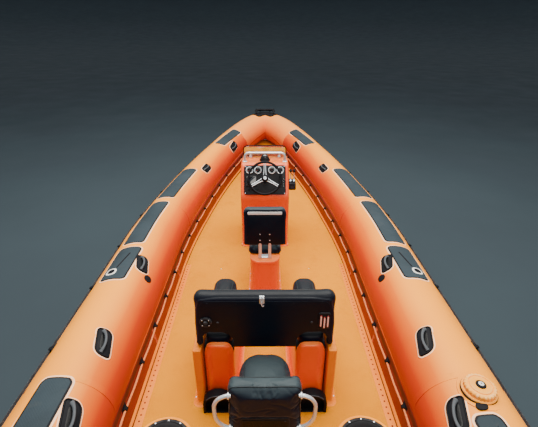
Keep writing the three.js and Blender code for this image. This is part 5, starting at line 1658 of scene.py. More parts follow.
def lamp_plate(x, z, y):
    """A small light unit: housing, three upright bars with pale cores, and two screws."""
    shape = Shape()
    housing = rounded_outline(x - 0.036, z - 0.062, x + 0.036, z + 0.062, 0.014)
    shape.add(plate_upright(housing, y + 0.004, y - 0.006), 0)
    for across, rise in ((-0.021, 0.004), (0.0, -0.008), (0.021, 0.0)):
        bar_x = x + across
        bar = rounded_outline(bar_x - 0.0065, z - 0.045 + rise, bar_x + 0.0065, z + 0.042 + rise, 0.006)
        shape.add(plate_upright(bar, y - 0.005, y - 0.012), 1)
        core = rounded_outline(bar_x - 0.0042, z - 0.040 + rise, bar_x + 0.0042, z + 0.037 + rise, 0.004)
        shape.add(plate_upright(core, y - 0.011, y - 0.0135, 0.001), 2)
    for rise in (-0.054, 0.054):
        shape.add(moved(screw_head(0.004, 0.002), (x, y - 0.006, z + rise), rotation(90, "X")), 3)
    return shape


def crew_backrest():
    low, high = limits("crew_backrest")
    half = high[0]
    rear, front = low[1], high[1]
    bottom, top = low[2], high[2]
    outline = grown(backrest_face(half, bottom, top, 0.055, arches=True), -0.005)
    shape = Shape()
    shape.add(face_rows(outline, front - 0.006, rear + 0.006, 0.030, 0.036))
    made = piece("crew_backrest_pad", shape, [crew_black], replaces=("crew_backrest",))
    panel_half, panel_top = half - 0.046, top - 0.048

    def held(points):
        behind = points[:, 1] < rear + 0.02
        inside = (np.abs(points[:, 0]) < panel_half + 0.004) & (points[:, 2] < panel_top + 0.004)
        arch = np.abs(np.abs(points[:, 0]) - CREW_X) < 0.108
        return (behind & inside) | (arch & (points[:, 2] < bottom + 0.15)) | (points[:, 2] < bottom + 0.01)

    puff(made, [crew_black], held, 0.009, fold=(0.16, 0.0015), seed=5, voxel=0.008, stretch=(0.5, 1, 1))
    crown = bottom + ARCH_RISE + 0.008
    panel = []
    for x, a0 in ((panel_half - 0.05, 0), (0.05 - panel_half, 90)):
        for a in np.radians(np.linspace(a0, a0 + 90, 9)):
            panel.append((x + 0.05 * math.cos(a), panel_top - 0.05 + 0.05 * math.sin(a)))
    panel += [(-panel_half, crown + 0.02), (-panel_half + 0.02, crown)]
    panel += [(-CREW_X - 0.03, crown), (-CREW_X + 0.035, crown - 0.002)]
    panel += [(-CREW_X + 0.07, crown - 0.02), (-CREW_X + 0.096, crown - 0.055),
              (-CREW_X + 0.101, bottom + 0.012)]
    panel += [(CREW_X - 0.101, bottom + 0.012), (CREW_X - 0.096, crown - 0.055),
              (CREW_X - 0.07, crown - 0.02)]
    panel += [(CREW_X - 0.035, crown - 0.002), (CREW_X + 0.03, crown)]
    panel += [(panel_half - 0.02, crown), (panel_half, crown + 0.02)]
    fittings = Shape()
    face = rear + 0.004
    fittings.add(plate_upright(np.array(panel), rear + 0.012, face, 0.0015), 0)
    for x in (-0.284, 0.283):
        fittings.add(moved(screw_head(0.008, 0.004), (x, face, DECK + 0.683), rotation(90, "X")), 1)
    for x in (-0.34, -0.17, 0.0, 0.17, 0.34):
        fittings.add(moved(screw_head(0.0045, 0.002), (x, face, panel_top - 0.016), rotation(90, "X")), 0)
    piece("crew_backrest_panel", fittings, [seat_shell, grey_trim_and_highlight])
    lamp = lamp_plate(0.358, DECK + 0.697, face)
    piece("backrest_lamp", lamp, [black_plastic, lens_red, lens_pale, seat_shell])
    knob = Shape()
    astern = rotation(90, "X")
    place = (-0.356, face, DECK + 0.690)
    dish = [(0.037, 0.0), (0.037, 0.006), (0.033, 0.010), (0.024, 0.011), (0.021, 0.007), (0.010, 0.007)]
    knob.add(moved(lathe(dish, 40), place, astern), 0)
    knob.add(moved(lathe([(0.014, 0.006), (0.014, 0.016), (0.011, 0.019)], 8), place, astern), 0)
    for turn in (45, 135, 225, 315):
        spot = np.array([math.cos(math.radians(turn)), 0.0, math.sin(math.radians(turn))]) * 0.0285
        spot = spot + np.array([place[0], face - 0.0105, place[2]])
        knob.add(moved(screw_head(0.004, 0.003), spot, astern), 1)
    piece("backrest_knob", knob, [black_plastic, stainless])
    latch = Shape()
    x = -0.017
    z = top - 0.052
    latch.add(block((x - 0.015, rear - 0.004, z - 0.010), (x + 0.015, rear + 0.006, z + 0.046), 0.003), 0)
    latch.add(block((x - 0.012, rear - 0.012, z - 0.004), (x - 0.003, rear - 0.002, z + 0.040), 0.002), 0)
    latch.add(block((x + 0.003, rear - 0.012, z - 0.004), (x + 0.012, rear - 0.002, z + 0.040), 0.002), 0)
    hook = smooth_path([(x, rear - 0.008, z + 0.002), (x, rear - 0.012, z - 0.014),
                        (x + 0.005, rear - 0.010, z - 0.024), (x + 0.012, rear - 0.006, z - 0.019)], 0.004)
    latch.add(sweep(hook, 0.003, 8), 0)
    piece("backrest_latch", latch, [stainless])
    seams = Shape()
    edge = grown(even_ring(outline, 0.01), -0.004)
    seams.add(welt(made, upright_ring(edge, front - 0.008), 0.003), 0)
    piece("crew_backrest_seams", seams, [seat_piping])


crew_backrest()
foot_cups()


# Aft seat: pod with a wide base, saddle cushion, thick soft backrest, two hand rails
def aft_seat():
    base_low, base_high = limits("seat_pod_aft")
    cushion_low, cushion_high = limits("seat_cushion_aft")
    back_low, back_high = limits("aft_backrest")
    base_top = back_low[2] - 0.0004
    shape = Shape()
    base = rounded_outline(base_low[0] + 0.001, base_low[1], base_high[0] - 0.001, -1.80, 0.06, 8)
    shape.add(flared(base, DECK, base_top, cove=0.03, lip=0.004), 0)
    column = rounded_outline(-0.14, -2.02, 0.14, -1.68, (0.11, 0.11, 0.02, 0.02), 10)
    shape.add(flared(column, DECK, base_high[2], cove=0.03, lip=0.003), 0)
    door = rounded_outline(-0.09, -0.10, 0.09, 0.10, 0.03, 6)
    shape.add(moved(upright(slab(door, 0.0, 0.006, 0.003), 0.0), (0, base_low[1] + 0.001, DECK + 0.15)), 1)
    shape.add(moved(lathe([(0.016, 0), (0.016, 0.006), (0.012, 0.009), (0.004, 0.009)], 20),
                    (0.06, base_low[1] - 0.005, DECK + 0.15), rotation(90, "X")), 2)
    for x in (base_low[0] - 0.016, base_high[0] + 0.016):
        for y in np.linspace(-2.10, -1.87, 4):
            shape.add(moved(screw_head(0.006, 0.003), (x, y, DECK + 0.006)), 2)
    piece("seat_pod_aft_moulding", shape, [pod_orange, black_plastic, stainless],
          replaces=("seat_pod_aft",), sharp=32)

    outline = rounded_outline(-0.155, cushion_low[1] + 0.002, 0.155, cushion_high[1],
                              (0.12, 0.12, 0.012, 0.012), 9)
    rows = [[(x, y, cushion_high[2] + 0.02) for x in np.linspace(-0.13, 0.13, 30)] for y in (-1.92, -1.80)]
    saddle("aft_cushion", "seat_cushion_aft", outline, 0.036, 0.016, 8, rows)

    half = back_high[0]
    rear, front = back_low[1], back_high[1]
    bottom, top = back_low[2], back_high[2]
    face = grown(backrest_face(half + 0.010, bottom + 0.002, top + 0.002, 0.040), -0.002)
    body = Shape()
    body.add(face_rows(face, front - 0.008, rear + 0.008, 0.030, 0.040))
    made = piece("aft_backrest_pad", body, [seat_black], replaces=("aft_backrest",))
    recess_top = DECK + 0.49

    def held(points):
        across, along, height = np.abs(points[:, 0]), points[:, 1], points[:, 2]
        plate = (along < rear + 0.03) & (across < 0.135) & (height < recess_top + 0.01)
        return plate | (height < bottom + 0.016)

    puff(made, [seat_black], held, 0.014, fold=(0.075, 0.003), seed=12, voxel=0.006,
         stretch=(0.7, 1.2, 1.4))
    trim = Shape()
    ring = even_ring(face, 0.01)
    for y in (front - 0.014, rear + 0.022):
        trim.add(welt(made, upright_ring(ring, y), 0.003), 0)
    piece("aft_backrest_seams", trim, [seat_piping])
    back_plate = Shape()
    recess = rounded_outline(-0.128, bottom + 0.012, 0.128, recess_top, (0.018, 0.018, 0.006, 0.006), 5)
    back_plate.add(plate_upright(recess, rear + 0.02, rear + 0.004, 0.003), 0)
    inner = grown(recess, -0.012)
    back_plate.add(plate_upright(inner, rear + 0.006, rear + 0.002, 0.001), 1)
    for x in (-0.105, 0.105):
        for z in (bottom + 0.03, recess_top - 0.02):
            back_plate.add(moved(screw_head(0.005, 0.002), (x, rear + 0.002, z), rotation(90, "X")), 0)
    piece("aft_backrest_plate", back_plate, [black_plastic, dial_black])

    for name, side in SIDES:
        node = f"aft_handle_{name}"
        low, high = limits(node)
        reach = high[0] if side > 0 else -low[0]
        out = reach - 0.012
        head, foot = high[2] - 0.012, low[2] + 0.012
        root = half - 0.014
        path = smooth_path([(root, -2.122, head), (half + 0.006, -2.122, head - 0.001),
                            (half + 0.046, -2.126, head - 0.018), (out - 0.004, -2.129, head - 0.052),
                            (out, -2.130, head - 0.10), (out - 0.008, -2.131, foot + 0.07),
                            (half + 0.040, -2.130, foot + 0.028), (half + 0.004, -2.127, foot + 0.002),
                            (root, -2.126, foot)], 0.006)
        shape = Shape()
        shape.add(moved(sweep(path, 0.0102, 20), mirror=side < 0), 0)
        for y, z in ((-2.122, head), (-2.126, foot)):
            shape.add(moved(lathe([(0.0175, -0.004), (0.0175, 0.002), (0.016, 0.004), (0.013, 0.005)], 28),
                            (half - 0.001, y, z), rotation(90, "Y"), side < 0), 0)
        piece(f"{node}_tube", shape, [stainless], replaces=(node,))


aft_seat()


# Helm seat
def helm_seat():
    low, high = limits("seat_pod_helm")
    outline = rounded_outline(-0.13, low[1], 0.13, high[1], 0.09, 10)
    shape = Shape()
    shape.add(flared(outline, DECK, high[2], cove=0.028, lip=0.004), 0)
    for side in (-1, 1):
        door = rounded_outline(-0.16, -0.11, 0.16, 0.11, 0.03, 6)
        form = moved(slab(door, 0.0, 0.005, 0.002), turn=rotation(90, "Z"))
        shape.add(moved(form, (side * 0.1295, -0.29, DECK + 0.22), rotation(side * 90, "Y")), 0)
        shape.add(moved(lathe([(0.015, 0), (0.015, 0.006), (0.004, 0.008)], 20),
                        (side * 0.134, -0.16, DECK + 0.24), rotation(side * 90, "Y")), 1)
    for a in np.linspace(-0.55, -0.04, 5):
        for side in (-1, 1):
            shape.add(moved(screw_head(0.006, 0.003), (side * 0.147, a, DECK + 0.0012)), 2)
    piece("seat_pod_helm_moulding", shape, [pod_orange, black_plastic, stainless],
          replaces=("seat_pod_helm",), sharp=32)
    low, high = limits("seat_cushion_helm")
    outline = rounded_outline(-0.15, low[1] + 0.002, 0.15, high[1], (0.10, 0.10, 0.03, 0.03), 9)
    rows = [[(x, y, high[2] + 0.02) for x in np.linspace(-0.13, 0.13, 30)] for y in (-0.30, -0.14)]
    saddle("helm_cushion", "seat_cushion_helm", outline, 0.036, 0.016, 21, rows)
    low, high = limits("helm_backrest")
    half, rear, front, top = high[0], low[1], high[1], high[2]
    board = DECK + 0.56
    face = grown(backrest_face(half, board, top, 0.055), -0.006)
    body = Shape()
    body.add(face_rows(face, front - 0.006, rear + 0.008, 0.018, 0.014))
    made = piece("helm_backrest_pad", body, [seat_black], replaces=("helm_backrest",))

    def held(points):
        across, along, height = np.abs(points[:, 0]), points[:, 1], points[:, 2]
        return (along < rear + 0.018) & (across < half - 0.03) & (height < top - 0.03)

    puff(made, [seat_black], held, 0.009, fold=(0.1, 0.0015), seed=17)
    extras = Shape()
    panel = rounded_outline(-half + 0.034, board + 0.03, half - 0.034, top - 0.075, 0.03, 6)
    extras.add(plate_upright(panel, rear + 0.012, rear + 0.004, 0.003), 0)
    strip = rounded_outline(-half + 0.045, top - 0.062, half - 0.045, top - 0.036, 0.008, 4)
    extras.add(plate_upright(strip, rear + 0.012, rear + 0.003, 0.002), 1)
    for x in (-0.042, 0.042):
        bracket = block((x - 0.014, rear + 0.008, low[2]), (x + 0.014, rear + 0.034, board + 0.16), 0.005)
        extras.add(bracket, 2)
    extras.add(block((-0.058, rear + 0.012, low[2]), (0.058, front - 0.012, low[2] + 0.012), 0.003), 2)
    for x in (-0.042, 0.042):
        for z in (board + 0.06, board + 0.12):
            extras.add(moved(screw_head(0.006, 0.003), (x, rear + 0.004, z), rotation(90, "X")), 2)
    ring = even_ring(face, 0.01)
    extras.add(welt(made, upright_ring(ring, front - 0.010), 0.003), 3)
    piece("helm_backrest_panel", extras, [seat_shell, dial_white, stainless, seat_piping])


helm_seat()


# Console, with what stands on it placed from the middle of its sloping dash
CONSOLE_HALF = 0.26
DASH_MIDDLE = np.array([0.0, 0.425, DECK + 0.80])
DASH_TURN = Matrix.Rotation(math.atan2(0.32, 0.19), 3, "X")
SHOULDER_Y = 0.76
SHOULDER_Z = DECK + 0.96


def on_dash(form, offset=(0, 0, 0)):
    points, faces = moved(form, offset)
    return moved((points, faces), DASH_MIDDLE, DASH_TURN)


def sideways(form, x=0.0):
    """A form drawn in y and z, with its thickness turned to run along x."""
    points, faces = form
    points = np.asarray(points, float)
    return np.column_stack([points[:, 2] + x, points[:, 0], points[:, 1]]), faces


def side_bolt(shape, x, y, z, side, finish):
    shape.add(moved(screw_head(0.006, 0.003), (x, y, z), rotation(90 * side, "Y")), finish)


def console():
    corners = [(0.39, DECK), (0.94, DECK), (0.90, DECK + 0.64), (0.76, SHOULDER_Z), (0.52, SHOULDER_Z),
               (0.33, DECK + 0.64), (0.39, DECK)]
    outline = bent([(0.66, DECK)] + corners[1:] + [(0.66, DECK)], 0.045, 6)[:-1]
    shape = Shape()
    shape.add(sideways(slab(outline, -CONSOLE_HALF, CONSOLE_HALF, 0.028, 5, both=True)), 0)
    foot = rounded_outline(-CONSOLE_HALF - 0.012, 0.375, CONSOLE_HALF + 0.012, 0.955, 0.03, 6)
    shape.add(slab(foot, DECK - 0.001, DECK + 0.012, 0.006), 0)
    for side in (-1, 1):
        for y in np.linspace(0.42, 0.92, 5):
            shape.add(moved(screw_head(0.006, 0.003), (side * 0.266, y, DECK + 0.0105)), 2)
        door = rounded_outline(-0.15, -0.14, 0.15, 0.14, 0.035, 6)
        panel = sideways(slab(door, 0.0, 0.006, 0.003), 0.0)
        shape.add(moved(panel, (CONSOLE_HALF - 0.001, 0.64, DECK + 0.30), mirror=side < 0), 0)
        for y, z in ((0.52, 0.19), (0.76, 0.19), (0.52, 0.41), (0.76, 0.41)):
            side_bolt(shape, side * (CONSOLE_HALF + 0.004), y, DECK + z, side, 2)
        for k in range(6):
            slot = rounded_outline(-0.05, -0.004, 0.05, 0.004, 0.0038, 4)
            shape.add(moved(sideways(slab(slot, 0.0, 0.003, 0.001)),
                            (CONSOLE_HALF - 0.0005, 0.72, DECK + 0.56 + 0.018 * k), mirror=side < 0), 1)
    front = rounded_outline(-0.17, -0.19, 0.17, 0.19, 0.04, 6)
    points, faces = slab(front, 0.0, 0.008, 0.004)
    hatch = (np.column_stack([points[:, 0], points[:, 2], points[:, 1]]), faces)
    lean = Matrix.Rotation(math.atan2(0.04, 0.64), 3, "X")
    shape.add(moved(hatch, (0, 0.9215, DECK + 0.31), lean), 0)
    for x in (-0.1, 0.1):
        shape.add(moved(block((x - 0.03, 0.0, -0.012), (x + 0.03, 0.014, 0.012), 0.003),
                        (0, 0.935, DECK + 0.11)), 2)
    shape.add(moved(lathe([(0.022, 0), (0.022, 0.006), (0.017, 0.010), (0.005, 0.010)], 24),
                    (0, 0.921, DECK + 0.46), rotation(-90, "X")), 1)
    piece("console_moulding", shape, [pod_orange, dial_black, stainless],
          replaces=("console",), sharp=32)


console()


def gauge(shape, x, y, radius, needle):
    """A round instrument with a bezel, marks and a needle, on the dash."""
    bezel = [(radius + 0.006, 0.010), (radius + 0.006, 0.018), (radius + 0.003, 0.021),
             (radius - 0.001, 0.020), (radius - 0.003, 0.015)]
    shape.add(on_dash(lathe(bezel, 40), (x, y, 0)), 1)
    shape.add(on_dash(lathe([(radius, 0.013), (radius, 0.0152)], 40), (x, y, 0)), 2)
    for k in range(11):
        a = math.radians(225 - 27 * k)
        length = 0.16 if k % 5 else 0.28
        tick = block((radius * (0.86 - length), -0.0009, 0.0150), (radius * 0.86, 0.0009, 0.0157), 0.0002, 1)
        shape.add(on_dash(moved(tick, turn=Matrix.Rotation(a, 3, "Z")), (x, y, 0)), 3)
    hand = block((-radius * 0.15, -0.0012, 0.0157), (radius * 0.7, 0.0012, 0.0166), 0.0003, 1)
    shape.add(on_dash(moved(hand, turn=rotation(needle, "Z")), (x, y, 0)), 4)
    shape.add(on_dash(lathe([(0.004, 0.0155), (0.004, 0.0178), (0.002, 0.0184)], 16), (x, y, 0)), 2)


def dash():
    shape = Shape()
    plate = rounded_outline(-0.225, -0.16, 0.225, 0.16, 0.03, 7)
    shape.add(on_dash(slab(plate, 0.0003, 0.012, 0.004)), 0)
    for x, needle in ((-0.165, 205), (-0.075, 180), (0.075, 160), (0.165, 215)):
        gauge(shape, x, 0.105, 0.034, needle)
    screen = rounded_outline(-0.205, -0.07, -0.085, 0.045, 0.010, 5)
    shape.add(on_dash(slab(screen, 0.010, 0.020, 0.004)), 0)
    shape.add(on_dash(slab(grown(screen, -0.010), 0.018, 0.0206, 0.0006)), 5)
    for k in range(5):
        y = 0.035 - 0.026 * k
        rocker = rounded_outline(0.150, y - 0.010, 0.186, y + 0.010, 0.004, 3)
        shape.add(on_dash(slab(rocker, 0.011, 0.017, 0.003)), 2)
        shape.add(on_dash(lathe([(0.0022, 0.011), (0.0022, 0.0140), (0.001, 0.0145)], 10), (0.2, y, 0)),
                  4 if k == 0 else 3)
    for x in (-0.17, -0.13, -0.09):
        shape.add(on_dash(lathe([(0.012, 0.011), (0.012, 0.017), (0.009, 0.021), (0.003, 0.021)], 20),
                          (x, -0.105, 0)), 2)
    for x in (-0.210, 0.210):
        for y in (-0.145, 0.145):
            shape.add(on_dash(screw_head(0.005, 0.0025), (x, y, 0.0118)), 1)
    piece("dash_instruments", shape, [black_plastic, stainless, dial_black, dial_white, lens_red, glass_dark],
          replaces=("dash_panel",))
    compass = Shape()
    compass.add(moved(lathe([(0.058, 0), (0.058, 0.008), (0.050, 0.020), (0.046, 0.034), (0.042, 0.036)], 36),
                      (0, 0.615, SHOULDER_Z)), 0)
    dome = [(0.040 * math.cos(a), 0.034 + 0.036 * math.sin(a)) for a in np.linspace(0, 1.5, 9)]
    compass.add(moved(lathe(dome, 32), (0, 0.615, SHOULDER_Z)), 1)
    piece("compass", compass, [black_plastic, glass_dark])


dash()


def wheel():
    shape = Shape()
    turn = full_turn(96)
    rim = np.column_stack([0.17 * np.cos(turn), 0.17 * np.sin(turn), np.full(96, 0.12)])
    bumps = 0.0128 - 0.0011 * np.clip(np.sin(24 * turn), 0, None)
    shape.add(on_dash(sweep(rim, bumps, 16, closed=True)), 0)
    for a in (90, 210, 330):
        for off in (-0.0075, 0.0075):
            path = [(0.018, off * 2.2, 0.112), (0.06, off * 1.4, 0.116), (0.12, off, 0.120),
                    (0.165, off * 1.3, 0.120)]
            form = sweep(smooth_path(path, 0.008), 0.0048, 12)
            shape.add(on_dash(moved(form, turn=rotation(a, "Z"))), 1)
    hub = [(0.022, 0.012), (0.022, 0.09), (0.036, 0.104), (0.038, 0.112), (0.036, 0.124), (0.028, 0.131),
           (0.010, 0.133)]
    shape.add(on_dash(lathe(hub, 36)), 0)
    shape.add(on_dash(lathe([(0.018, 0.130), (0.017, 0.135), (0.006, 0.1365)], 28)), 1)
    piece("steering_wheel_rim", shape, [black_rubber, stainless], body="steering_wheel",
          replaces=("steering_wheel",))
    boss = Shape()
    boss.add(on_dash(lathe([(0.052, 0.0005), (0.052, 0.014), (0.046, 0.018), (0.036, 0.019)], 36)), 0)
    piece("steering_boss", boss, [black_plastic])


wheel()


def screen_and_rail():
    low, high = limits("spray_screen")
    length = math.hypot(0.07, high[2] - low[2])
    shape = Shape()
    glass = rounded_outline(-0.235, 0.0, 0.235, length, (0.05, 0.05, 0.004, 0.004), 8)
    lean = Matrix.Rotation(math.radians(90) + math.atan2(0.07, high[2] - low[2]), 3, "X")
    place = (0, SHOULDER_Y - 0.016, low[2])
    shape.add(moved(slab(glass, -0.003, 0.003, 0.002, both=True), place, lean), 0)
    loop = moved((outline_ring(glass, 0.0), []), place, lean)[0]
    top = relaxed(resampled(np.vstack([loop[-1:], loop[: len(loop) // 2 + 1]]), 0.01), closed=False)
    shape.add(sweep(top, 0.0052, 10), 1)
    for x in (-0.16, 0.0, 0.16):
        shape.add(moved(block((x - 0.016, -0.002, 0.003), (x + 0.016, 0.03, 0.0075), 0.002), place, lean), 2)
        shape.add(block((x - 0.016, SHOULDER_Y - 0.045, low[2] - 0.001),
                        (x + 0.016, SHOULDER_Y - 0.015, low[2] + 0.004), 0.001), 2)
    piece("spray_screen_pane", shape, [clear_screen, black_rubber, stainless],
          replaces=("spray_screen",), sharp=30)
    low, high = limits("console_rail")
    half = high[0] - 0.013
    top = high[2] - 0.013
    path = bent([(-half, 0.572, SHOULDER_Z), (-half, 0.573, top), (half, 0.573, top),
                 (half, 0.572, SHOULDER_Z)],
                0.075, 10)
    path = smooth_path(resampled(path, 0.02), 0.006)
    rail = Shape()
    rail.add(sweep(path, 0.013, 20), 0)
    for x in (-half, half):
        rail.add(moved(lathe([(0.027, 0.0), (0.027, 0.004), (0.022, 0.007), (0.0135, 0.010)], 28),
                       (x, 0.572, SHOULDER_Z)), 0)
    piece("console_rail_tube", rail, [stainless], replaces=("console_rail",))


screen_and_rail()


def throttle():
    low, high = limits("throttle_control")
    foot, y = low[2], (low[1] + high[1]) / 2
    x0 = low[0]
    shape = Shape()
    shape.add(block((x0, y - 0.07, foot), (x0 + 0.075, y + 0.07, DECK + 0.77), 0.012, 3), 0)
    shape.add(block((x0 + 0.004, y - 0.06, DECK + 0.768), (x0 + 0.071, y + 0.06, DECK + 0.775), 0.004), 1)
    for share in (0.25, 0.75):
        x = x0 + 0.075 * share
        shape.add(moved(lathe([(0.022, -0.008), (0.022, 0.006), (0.019, 0.008), (0.006, 0.008)], 32),
                        (x, y, DECK + 0.77), rotation(90, "Y")), 2)
        path = smooth_path([(x, y, DECK + 0.775), (x, y + 0.006, DECK + 0.82),
                            (x, y + 0.002, high[2] - 0.015)], 0.008)
        shape.add(sweep(path, 0.0065, 12, flat=0.8), 2)
        grip = [(0.006, -0.026), (0.0135, -0.020), (0.0148, 0.0), (0.0135, 0.020), (0.006, 0.026)]
        shape.add(moved(lathe(grip, 20), (x, y, high[2] - 0.0148), rotation(90, "X")), 1)
    piece("throttle_levers", shape, [black_plastic, black_rubber, stainless],
          replaces=("throttle_control",))


throttle()


# Anchor locker with its hinged lid, and the fairlead over the bow tube
LOCKER_AFT, LOCKER_FORE = 2.28, 2.96
LOCKER_TOP = 0.44


def locker_plan(aft_extra=0.0):
    """Trapezium plan, rounded, anticlockwise from the aft starboard corner."""
    aft = LOCKER_AFT - aft_extra
    corners = [(0.30, aft), (0.17, LOCKER_FORE), (-0.17, LOCKER_FORE), (-0.30, aft)]
    return bent([(0.0, aft)] + corners + [(0.0, aft)], 0.02, 5)[:-1]


def locker():
    outer = even_ring(locker_plan(), 0.02)
    inner = grown(outer, -0.014)
    rows = [(outer, 0.17), (outer, LOCKER_TOP - 0.004), (grown(outer, -0.004), LOCKER_TOP),
            (inner, LOCKER_TOP), (inner, 0.226)]
    shape = Shape()
    shape.add(loft([outline_ring(outline, z) for outline, z in rows], caps=False), 0)
    shape.add((outline_ring(inner, 0.226), [list(range(len(inner)))]), 1)
    seal = resampled(np.vstack([grown(outer, -0.009), grown(outer, -0.009)[:1]]), 0.02)[:-1]
    shape.add(sweep(outline_ring(seal, LOCKER_TOP - 0.0012), 0.0024, 8, closed=True), 2)
    piece("anchor_locker_moulding", shape, [hull_orange, deck_orange, black_rubber],
          replaces=("anchor_locker",), sharp=30)
    low = limits("locker_lid")[0]
    lid = grown(even_ring(locker_plan(0.02), 0.02), 0.006)
    cover = Shape()
    cover.add(slab(lid, low[2], LOCKER_TOP + 0.024, 0.009, 4), 0)
    cover.add(slab(grown(lid, -0.045), LOCKER_TOP + 0.02, LOCKER_TOP + 0.0262, 0.002), 1)
    for x in (-0.09, 0.09):
        cover.add(moved(lathe([(0.0068, -0.025), (0.007, -0.0245), (0.007, 0.0245), (0.0068, 0.025)], 18),
                        (x, 2.982, 0.454), rotation(90, "Y")), 2)
        cover.add(block((x - 0.024, 2.935, 0.4645), (x + 0.024, 2.975, 0.4675), 0.001), 2)
        cover.add(block((x - 0.024, 2.94, 0.450), (x + 0.024, 2.982, 0.458), 0.001), 2)
        for dx in (-0.014, 0.014):
            cover.add(moved(screw_head(0.004, 0.002), (x + dx, 2.948, 0.467)), 2)
    cover.add(moved(lathe([(0.026, 0), (0.026, 0.004), (0.021, 0.006), (0.019, 0.003), (0.008, 0.003)], 28),
                    (0, 2.315, LOCKER_TOP + 0.0235)), 2)
    piece("locker_lid_moulding", cover, [hull_orange, deck_orange, stainless],
          body="locker_lid", replaces=("locker_lid",), sharp=30)


locker()


def bow_fairlead():
    half, _, peak = limits("bow_fairlead")[1]
    crest = float(on_line(LINE, np.array([BOW_S]))[0, 2]) + TUBE_BOW_RADIUS
    reach = half * 0.94
    shape = Shape()
    shape.add(patch(BOW_S - reach, BOW_S + reach, -27, 27, 0.014, 0.06, 0.008, arc_step=0.02, step=0.02), 0)
    for side in (-1, 1):
        x = side * (half - 0.035)
        cheek = bent([(-0.10, crest - 0.01), (-0.10, crest + 0.02), (-0.055, peak - 0.008),
                      (0.045, peak - 0.004), (0.10, crest + 0.016), (0.10, crest - 0.01)], 0.03, 6)
        centre = COLLAR_BOW_Y
        outline = np.array(cheek)[::-1] + np.array([centre, 0])
        shape.add(sideways(slab(outline, -0.012, 0.012, 0.005, both=True), x), 0)
        horn = smooth_path([(x * 0.8, centre - 0.02, crest + 0.030), (x, centre - 0.02, peak - 0.012),
                            (x * 1.02, centre - 0.022, peak - 0.014),
                            (side * (half - 0.012), centre - 0.03, crest + 0.028)],
                           0.01)
        shape.add(sweep(horn, 0.011, 12), 0)
        for y in (-0.08, 0.08):
            shape.add(moved(screw_head(0.011, 0.008), (x * 0.55, centre + y, crest + 0.006)), 0)
    pin = [(0.012, -half + 0.024), (0.027, -half + 0.034), (0.018, -half + 0.058), (0.027, -0.08),
           (0.016, -0.06), (0.016, 0.06), (0.027, 0.08), (0.018, half - 0.058), (0.027, half - 0.034),
           (0.012, half - 0.024)]
    shape.add(moved(lathe(pin, 24), (0, COLLAR_BOW_Y + 0.02, crest + 0.046), rotation(90, "Y")), 0)
    roller = [(0.010, -0.05), (0.026, -0.048), (0.018, -0.02), (0.018, 0.02), (0.026, 0.048), (0.010, 0.05)]
    shape.add(moved(lathe(roller, 28), (0, COLLAR_BOW_Y + 0.02, crest + 0.046), rotation(90, "Y")), 0)
    piece("bow_fairlead_casting", shape, [black_rubber], replaces=("bow_fairlead",))


bow_fairlead()


# Roll frame aft: raked hoop, forward braces, bolted foot plates with weld beads
FRAME_X = 0.795
FRAME_FOOT_Y = -3.39
FRAME_TOP_Y = -3.50
FRAME_TUBE = 0.030
BRACE_TUBE = 0.024
BRACE_FOOT_Y = -3.13


def hoop_path(crest):
    """From the port foot over the top to the starboard one. Crest is the top tube's centre."""
    table = (
        # x from the foot's, share of the rake, height below the top
        (0.0, 0.0, crest - DECK - 0.006),
        (0.0, 0.35, 1.25),
        (0.015, 0.7, 0.60),
        (0.09, 0.9, 0.22),
        (0.215, 1.0, 0.035),
        (0.335, 1.0, 0.0),
        (0.495, 1.0, 0.0),
    )
    half = [(FRAME_X - inward, FRAME_FOOT_Y + rake * (FRAME_TOP_Y - FRAME_FOOT_Y), crest - below)
            for inward, rake, below in table]
    return np.array([(-x, y, z) for x, y, z in half] + half[::-1])


def roll_frame():
    crest = limits("roll_frame")[1][2] - FRAME_TUBE
    height = crest - DECK
    shape = Shape()
    shape.add(sweep(smooth_path(hoop_path(crest), 0.02), FRAME_TUBE, 24), 0)
    for side in (-1, 1):
        brace = smooth_path([(side * FRAME_X, BRACE_FOOT_Y, DECK + 0.006),
                             (side * FRAME_X, BRACE_FOOT_Y - 0.09, DECK + 0.56),
                             (side * (FRAME_X - 0.012), FRAME_FOOT_Y - 0.075, DECK + height - 0.64)], 0.02)
        shape.add(sweep(brace, BRACE_TUBE, 20), 0)
        for y, tube in ((FRAME_FOOT_Y, FRAME_TUBE), (BRACE_FOOT_Y, BRACE_TUBE)):
            plate = rounded_outline(-0.033, -0.055, 0.033, 0.055, 0.012, 4)
            shape.add(moved(slab(plate, 0.0003, 0.012, 0.003), (side * FRAME_X, y, DECK)), 0)
            bead = [(tube + 0.007, 0.011), (tube + 0.006, 0.014), (tube + 0.003, 0.018),
                    (tube - 0.002, 0.021)]
            shape.add(moved(lathe(bead, 28), (side * FRAME_X, y, DECK)), 0)
            for dx in (-0.024, 0.024):
                for dy in (-0.045, 0.045):
                    shape.add(moved(lathe([(0.007, 0.010), (0.007, 0.017), (0.005, 0.019)], 6),
                                    (side * FRAME_X + dx, y + dy, DECK)), 1)
        end = np.array([side * (FRAME_X - 0.012), FRAME_FOOT_Y - 0.075, DECK + height - 0.64])
        turn = full_turn(28)
        ring = np.column_stack([end[0] + 0.026 * np.cos(turn), np.full(28, end[1] + 0.012),
                                end[2] - 0.018 + 0.030 * np.sin(turn)])
        shape.add(sweep(ring, 0.005, 8, closed=True), 0)
        for z in (0.42, 1.02):
            cleat_y = FRAME_FOOT_Y - 0.012 - 0.02 * z
            shape.add(moved(lathe([(0.022, -0.006), (0.022, 0.0), (0.012, 0.006), (0.012, 0.010)], 20),
                            (side * (FRAME_X - 0.031), cleat_y, DECK + z), rotation(-90 * side, "Y")), 1)
    piece("roll_frame_tubes", shape, [black_paint, stainless], replaces=("roll_frame",),
          sharp=34)


roll_frame()


